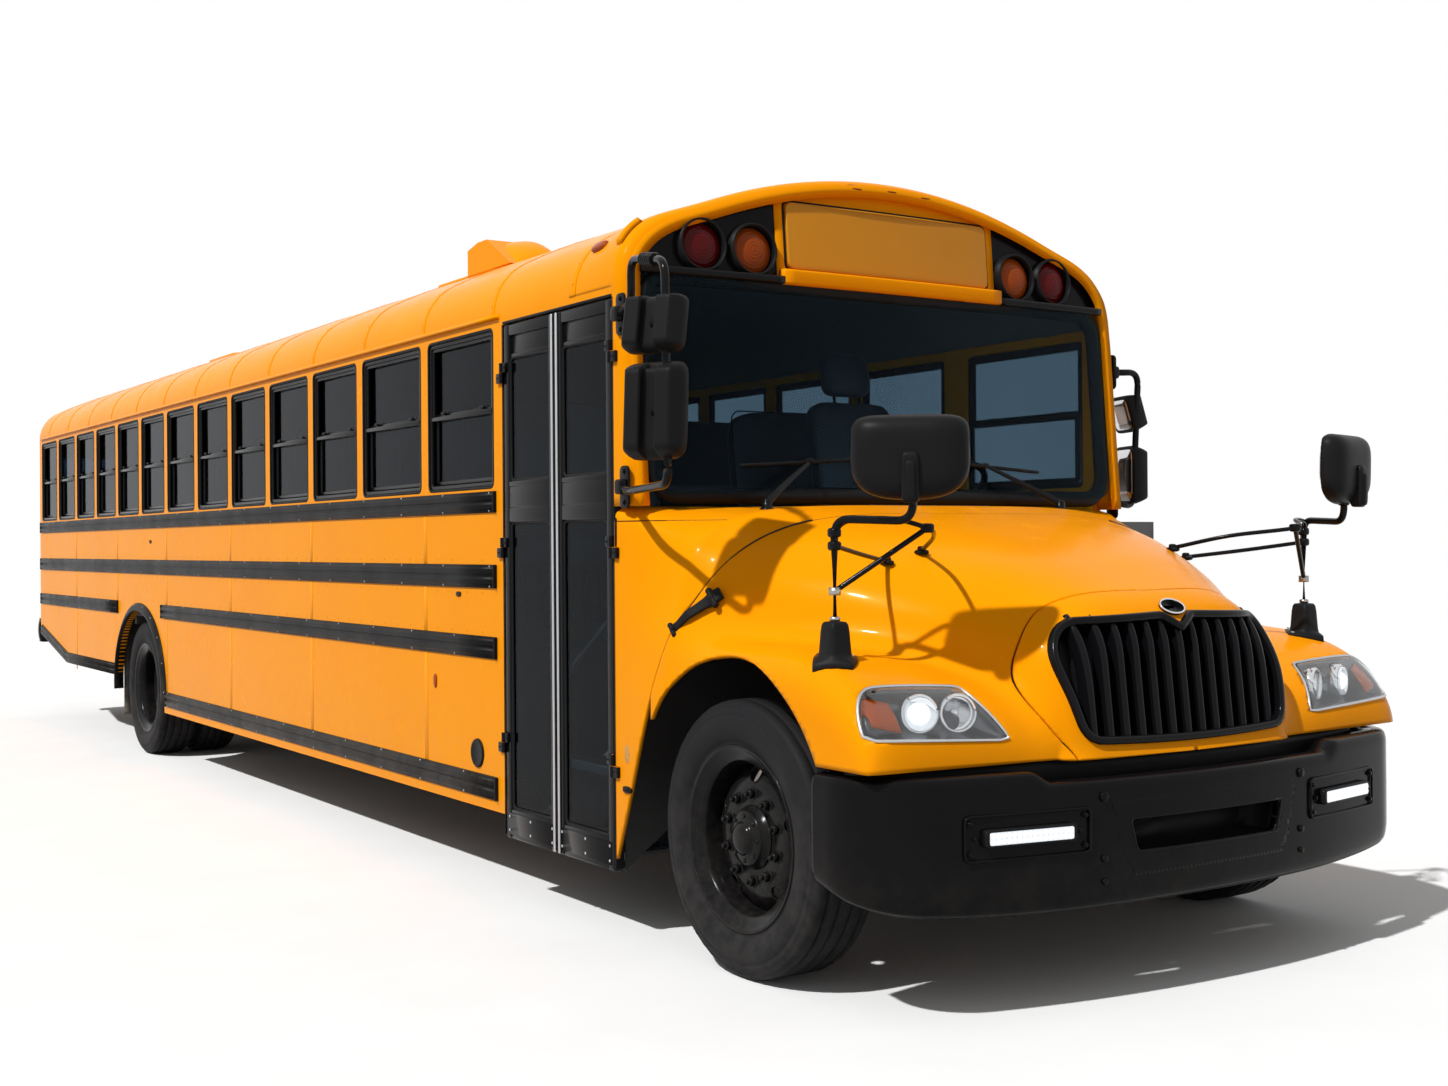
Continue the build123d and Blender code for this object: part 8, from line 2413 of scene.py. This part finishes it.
def buildRear():
    # rubber round windows and door, the door's pressings, handle and hinges, and the wall's rivets
    r = rearShape
    rubber, leafRubber, leafTrim, hinges = (MeshStore() for _ in range(4))
    lipped = np.array([[-0.016, -0.003], [0.016, -0.003], [0.016, 0.004], [0.009, 0.009], [0.002, 0.006],
                       [-0.009, 0.009], [-0.016, 0.004]])
    half = r["windowWidth"] / 2
    for side in (-1, 1):
        rearLoop(rubber, side * r["windowY"] - half, side * r["windowY"] + half, *r["windowZ"], r["x"], 0.040, lipped)
    for low, high in r["lights"]:
        rearLoop(leafRubber, -r["lightHalf"], r["lightHalf"], low, high, r["x"], 0.035, lipped * 0.9)
    doorHalf, doorLow, doorHigh = r["door"]
    rearLoop(rubber, -doorHalf - 0.012, doorHalf + 0.012, doorLow - 0.012, doorHigh + 0.012, r["x"] - 0.001, 0.020,
             np.array([[-0.010, -0.002], [0.010, -0.002], [0.010, 0.003], [0.0, 0.007], [-0.010, 0.003]]))
    # raised panel pressed in the door's middle, then the handle on its rose
    for low, high in ((0.985, 1.045), (1.535, 1.645)):
        flat = rectPath(-0.300, 0.300, low, high, 0.020)
        leafTrim.stack(plateRings(flat, (r["x"], 0, 0), (0, -1, 0), (0, 0, 1), 0.005, 0.004))
    handle = MeshStore()
    handle.turned([(0, 0.012), (0.030, 0.011), (0.036, 0.006), (0.037, 0), (0, 0)], (r["x"], 0.340, 1.590),
                  (-1, 0, 0), 32)
    handle.turned([(0, 0.028), (0.012, 0.027), (0.014, 0.020), (0.014, 0.0), (0, 0)], (r["x"], 0.340, 1.590),
                  (-1, 0, 0), 20)
    grip = smoothPath([(r["x"] - 0.024, 0.340, 1.590), (r["x"] - 0.026, 0.300, 1.588), (r["x"] - 0.024, 0.235, 1.580),
                       (r["x"] - 0.021, 0.200, 1.574)], 8)
    handle.sweep(grip, boxProfile(0.022, 0.011, 0.005, 4), up=(-1, 0, 0), scale=np.linspace(1, 0.8, len(grip)))
    for z in (1.15, 1.60, 2.05):
        hinges.turned([(0, 0.060), (0.009, 0.059), (0.011, 0.055), (0.011, -0.055), (0.009, -0.059), (0, -0.060)],
                      (r["x"] - 0.014, -0.434, z), (0, 0, 1), 20)
        leaf = rectPath(-0.500, -0.438, z - 0.055, z + 0.055, 0.008)
        hinges.stack(plateRings(leaf, (r["x"], 0, 0), (0, 1, 0), (0, 0, 1), -0.005, 0.001))
        for dy in (-0.480, -0.458):
            for dz in (-0.034, 0.034):
                hinges.rivet((r["x"] - 0.005, dy, z + dz), (-1, 0, 0), 0.0035, 0.004, 0.003, 0.006, 10)
    # rivet rows along the wall's seams
    rivets = MeshStore()
    rows = [(y, z) for z in (0.86, 1.56) for y in np.arange(-1.10, 1.11, 0.076) if abs(y) > 0.50 or z < 0.9]
    rows += [(side * y, z) for side in (-1, 1) for y in (0.515, 1.135) for z in np.arange(0.92, 2.28, 0.076)
             if not (y < 1 and 1.58 < z < 1.60)]
    for y, z in rows:
        rivets.rivet((r["x"], y, z), (-1, 0, 0), 0.0028, 0.004, 0.0022, 0.0062, 8)
    rubber.tidy("rear_rubber", "sealRubber", "black_plastic")
    leafRubber.tidy("rear_door_rubber", "sealRubber", "black_plastic", "emergency_door")
    leafTrim.tidy("rear_door_panels", "busYellow", "yellow_paint", "emergency_door")
    handle.tidy("rear_door_handle", "chromeTrim", "grab_steel", "emergency_door")
    hinges.tidy("rear_door_hinges", "busYellow", "yellow_paint")
    rivets.tidy("rear_rivets", "busYellow", "yellow_paint")


def fluted(centre, radius, height, axis):
    # domed lens: height falls with the square of the radius, and small rings stand on it
    r = np.linspace(0, radius * 0.94, 22)
    dome = height * (1 - 0.45 * (r / radius) ** 2) + 0.0007 * np.cos(r / radius * 2 * np.pi * 7)
    profile = np.concatenate([joined(r, dome), [(radius * 0.985, height * 0.42), (radius, 0), (0, 0)]])
    return lathe(profile, centre, axis, 40)


def buildRearLamps():
    # two warning lamps a side on a black panel, the stop, back-up and turn lamps below, and three marker lamps
    r = rearShape
    reds, ambers, whites, bezels, panels = (MeshStore() for _ in range(5))
    behind = (-1, 0, 0)
    ring = [(0.096, 0), (0.112, 0), (0.114, 0.004), (0.112, 0.034), (0.107, 0.038), (0.101, 0.034), (0.096, 0.010)]
    small = [(0.87, 0), (1.07, 0), (1.08, 0.04), (1.02, 0.16), (0.93, 0.13), (0.87, 0.04)]
    for side in (-1, 1):
        outline = rectPath(side * 0.765 - 0.235, side * 0.765 + 0.235,
                           r["warningZ"] - 0.128, r["warningZ"] + 0.128, 0.030)
        panels.stack(plateRings(outline, (r["x"], 0, 0), (0, -1, 0), (0, 0, 1), 0.004, 0.003))
        for y, store in ((0.655, ambers), (0.875, reds)):
            place = np.array([r["x"] - 0.003, side * y, r["warningZ"]])
            store.add(*fluted(place, 0.096, 0.026, behind))
            bezels.turned(ring, place, behind, 48)
        for store, y, z, lens, rimSize, segments in (
                (reds, 0.830, r["stopZ"], (0.088, 0.024), (0.088, 0.100), 40),
                (whites, 0.830, r["backUpZ"], (0.048, 0.018), (0.050, 0.080), 32),
                (ambers, 0.700, r["backUpZ"], (0.048, 0.018), (0.050, 0.080), 32)):
            place = np.array([r["x"], side * y, z])
            store.add(*fluted(place, *lens, behind))
            bezels.turned(np.array(small) * rimSize, place, behind, segments)
        bar = rectPath(side * 0.62 - 0.045, side * 0.62 + 0.045, 0.905, 0.940, 0.008)
        reds.stack(plateRings(bar, (r["x"], 0, 0), (0, -1, 0), (0, 0, 1), 0.006, 0.003))
    for y in (-0.16, 0.0, 0.16):
        reds.box((r["x"] - 0.002, y, 2.565), (0.045, 0.090, 0.034), 3.2, 10, 20)
    reds.tidy("rear_red_lenses", "redLens", "red_lens")
    ambers.tidy("rear_amber_lenses", "amberLens", "amber_lens")
    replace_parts(whites.tidy("rear_white_lenses", "whiteLens", "white_lens"), "lamps_white")
    bezels.tidy("rear_lamp_rings", "mouldedBlack", "black_plastic")
    panels.tidy("rear_lamp_panels", "headerBlack", "black_plastic")


rearBumperShape = {"x": -5.800, "endX": -5.640, "half": 1.155, "z": 0.720, "bend": 0.10, "boltX": -5.867}


def buildRearBumper():
    # channel section carried round the corners: face bowed a little, both edges rolled
    r = rearBumperShape
    bow = np.linspace(-1, 1, 9)
    face = joined(0.012 * (1 - bow ** 2) + 0.058, bow * 0.092)
    section = np.concatenate([[(-0.052, -0.100), (0.046, -0.100), (0.062, -0.097)], face,
                              [(0.062, 0.097), (0.046, 0.100), (-0.052, 0.100), (-0.054, 0.096), (-0.054, -0.096)]])
    corners = ((r["endX"], -1), (r["x"], -1), (r["x"], 1), (r["endX"], 1))
    route = bentPath([(x, way * r["half"], r["z"]) for x, way in corners], r["bend"], 12)
    bumper, bolts = MeshStore(), MeshStore()
    side, _ = frameAlong(route)
    flip = 1.0 if side[len(route) // 2][0] < 0 else -1.0
    bumper.sweep(route, section * (flip, 1.0))
    for y in (-0.48, -0.40, 0.40, 0.48):
        for z in (0.675, 0.765):
            bolts.bolt((r["boltX"], y, z), (-1, 0, 0), 0.011, 0.007)
    made = bumper.tidy("rear_bumper_channel", "bumperBlack", "black_paint")
    bolts.tidy("rear_bumper_bolts", "mouldedBlack", "black_paint")
    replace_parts(made, "rear_bumper")


signShape = {"hingeX": 3.160, "centreX": 2.8915, "z": 1.440, "y": 1.257, "across": 0.457, "border": 0.016}


def octagon(across):
    # eight corners with two sides level, from the width between flat sides
    turn = np.radians(22.5 + 45 * np.arange(8))
    return across / 2 / math.cos(math.radians(22.5)) * joined(np.cos(turn), np.sin(turn))


def buildStopSign():
    # bevelled plate, raised border and two lamps on both faces, hinge tab; then the bracket on the body
    s = signShape
    plate, border, lamps, hood = MeshStore(), MeshStore(), MeshStore(), MeshStore()
    centre = np.array([s["centreX"], s["y"], s["z"]])
    rim = octagon(s["across"])

    def raised(ring, lift):
        return centre + joined(ring[:, 0], lift, ring[:, 1])

    plate.stack([raised(rim * k, lift) for k, lift in
                 ((0.975, -0.0030), (1.0, -0.0045), (1.0, 0.0045), (0.975, 0.0030))])
    inner, outer = octagon(s["across"] - 2 * s["border"] - 0.028), octagon(s["across"] - 0.020)
    for face in (-1, 1):
        rows = [raised(ring, face * lift) for ring, lift in
                ((outer, 0.0032), (outer, 0.0042), (inner, 0.0042), (inner, 0.0032))]
        border.add(np.concatenate(rows), gridFaces(4, 8, wrapRows=True, wrapColumns=True))
    for z in (0.165, -0.165):
        for face in (-1, 1):
            place = centre + (0, face * 0.0035, z)
            lamps.turned([(0, 0.0070), (0.030, 0.0065), (0.041, 0.0045), (0.044, 0), (0, 0)], place, (0, face, 0), 36)
            hood.turned([(0.044, 0), (0.052, 0), (0.052, 0.0035), (0.048, 0.0060), (0.044, 0.0040)], place,
                        (0, face, 0), 36)
    tab = np.array([[3.140, -0.052], [3.140, 0.052], [3.060, 0.060], [3.052, 0.056], [3.052, -0.056], [3.060, -0.060]])
    hood.stack([joined(tab[:, 0], s["y"] + lift, s["z"] + tab[:, 1]) for lift in (0.0035, 0.0075)])
    for z in (-0.045, 0.045):
        hood.turned([(0, 0.015), (0.010, 0.0149), (0.0118, 0.013), (0.0118, -0.013), (0.010, -0.0149), (0, -0.015)],
                    (s["hingeX"], s["y"], s["z"] + z), (0, 0, 1), 24)
        softBar(hood, (3.128, s["y"] - 0.007, s["z"] + z - 0.012), (3.162, s["y"] + 0.007, s["z"] + z + 0.012), 0.003)
        for x in (3.070, 3.110):
            hood.rivet((x, s["y"] + 0.0075, s["z"] + z * 0.7), (0, 1, 0), 0.004, 0.005, 0.0034, 0.007, 12)
    made = plate.tidy("stop_plate", "stopRed", "stop_red", "stop_sign")
    border.tidy("stop_border", "whiteLens", "white_lens", "stop_sign")
    lamps.tidy("stop_lamps", "redLens", "red_lens", "stop_sign")
    hood.tidy("stop_fittings", "mouldedBlack", "black_plastic", "stop_sign")
    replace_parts(made, "stop_arm")
    # bracket box: rounded casing with knuckles round the pin
    casing, knuckles = MeshStore(), MeshStore()
    rings = []
    for y, grow in ((1.2192, 1.0), (1.2560, 1.0), (1.2620, 0.985), (1.2655, 0.95), (1.2665, 0.90)):
        flat = rectPath(3.179, 3.219, 1.351, 1.529, 0.010)
        middle = flat.mean(axis=0)
        flat = middle + (flat - middle) * np.array([0.25 * grow + 0.75 if grow == 1 else grow, 1 - (1 - grow) * 0.25])
        rings.append(joined(flat[:, 0], y, flat[:, 1]))
    casing.stack(rings)
    for low, high in ((1.351, 1.379), (1.501, 1.529)):
        top, foot = high - s["z"], low - s["z"]
        knuckles.turned([(0, top), (0.010, top), (0.012, top - 0.002), (0.012, foot + 0.002), (0.010, foot),
                         (0, foot)], (s["hingeX"], s["y"], s["z"]), (0, 0, 1), 24)
        softBar(knuckles, (s["hingeX"], 1.2475, low), (3.182, 1.2665, high), 0.003)
    for z in (1.375, 1.505):
        knuckles.rivet((3.199, 1.2660, z), (0, 1, 0), 0.003, 0.005, 0.0026, 0.0068, 12)
    box = casing.tidy("stop_casing", "mouldedBlack", "black_plastic")
    knuckles.tidy("stop_knuckles", "mouldedBlack", "black_plastic")
    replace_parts(box, "stop_bracket")


flapShape = {"x": -3.0245, "barX": -3.036, "inner": 0.602, "width": 0.566, "top": 0.912, "length": 0.700,
             "thick": 0.007}


def buildFlaps():
    # two faces and a skirt between their edges: x drifts with a slow wave across and down
    flaps, bars = MeshStore(), MeshStore()
    across, down = 16, 22
    for side in (-1, 1):
        u, v = np.meshgrid(np.linspace(0, 1, across), np.linspace(0, 1, down), indexing="ij")
        rows = []
        for face in (0, 1):
            y = side * (flapShape["inner"] + flapShape["width"] * u)
            z = flapShape["top"] - flapShape["length"] * v
            drift = 0.010 * np.sin(2.2 * u * np.pi + 0.6 * side) * v ** 1.5
            x = flapShape["x"] + drift - 0.006 * v ** 2 + (face - 0.5) * flapShape["thick"]
            rows.append(joined(x, y, z).reshape(-1, 3))
        second = across * down
        front, back = gridFaces(across, down), gridFaces(across, down, start=second)
        edge = np.concatenate([np.arange(down), np.arange(1, across) * down + down - 1,
                               (across - 1) * down + np.arange(down - 2, -1, -1), np.arange(across - 2, 0, -1) * down])
        skirt = joined(edge, np.roll(edge, -1), np.roll(edge, -1) + second, edge + second)
        flaps.add(np.concatenate(rows), np.concatenate([front, back, skirt]))
        softBar(bars, (flapShape["barX"], side * 0.60, 0.872), (-3.029, side * 1.168, 0.906), 0.003)
        for y in np.linspace(0.66, 1.11, 5):
            bars.bolt((flapShape["barX"], side * y, 0.889), (-1, 0, 0), 0.008, 0.006)
    made = flaps.tidy("flap_sheets", "flapRubber", "flap_rubber")
    bars.tidy("flap_bars", "zincBolt", "cast_metal")
    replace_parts(made, "mud_flaps")


def buildHandrails():
    # a bent tube on each side of the steps, with a flange at both feet
    tubes = MeshStore()
    profile = circleProfile(0.0155, 18)
    routes = (((3.400, -1.036, 0.302), (3.400, -1.036, 0.820), (3.400, -0.470, 1.425), (3.400, -0.470, 0.992)),
              ((4.148, -1.076, 0.302), (4.148, -1.076, 0.900), (4.148, -0.520, 1.430), (4.148, -0.520, 0.992)))
    for route in routes:
        path = bentPath(route, 0.13, 12)
        tubes.sweep(path, profile, up=(1, 0, 0))
        for end in (route[0], route[-1]):
            tubes.turned([(0, 0.007), (0.030, 0.006), (0.034, 0.002), (0.034, 0), (0, 0)],
                         np.array(end) - (0, 0, 0.001), (0, 0, 1), 28)
    made = tubes.tidy("entry_handrails", "grabSteel", "grab_steel")
    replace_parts(made, "handrails")


buildRear()
buildRearLamps()
buildRearBumper()
buildStopSign()
buildFlaps()
buildHandrails()
print("rear end and body fittings made")


# solids that stay as they are take this object's own finishes
slotFinish = {
    "yellow_paint": "busYellow", "black_paint": "glossBlack", "black_plastic": "mouldedBlack",
    "chassis_black": "chassisBlack", "cast_metal": "castMetal", "pipe_steel": "pipeSteel",
    "grab_steel": "grabSteel", "floor_rubber": "floorRubber", "flap_rubber": "flapRubber", "tyre": "tyreRubber",
    "wheel_paint": "wheelBlack", "clear_glass": "windowGlass", "lamp_glass": "lampGlass", "red_lens": "redLens",
    "amber_lens": "amberLens", "white_lens": "whiteLens", "seat_vinyl": "seatVinyl", "dash_plastic": "dashPlastic",
    "stop_red": "stopRed",
}
nodeFinish = {
    "windshield": "screenGlass", "rub_rails": "railBlack", "front_bumper": "bumperBlack",
    "rear_bumper": "bumperBlack", "door_leaf_rear": "glossBlack", "door_leaf_front": "glossBlack",
    "door_leaf_rear_glass": "doorGlass", "door_leaf_front_glass": "doorGlass", "stop_bracket": "mouldedBlack",
}
for name, thing in nodes.items():
    slotName = next(part["material_slot"] for part in frame["record"]["subparts"] if part["node"] == name)
    finish = nodeFinish.get(name, slotFinish[slotName])
    thing.data.materials.clear()
    thing.data.materials.append(paint[finish])
print("finishes set on the solids")
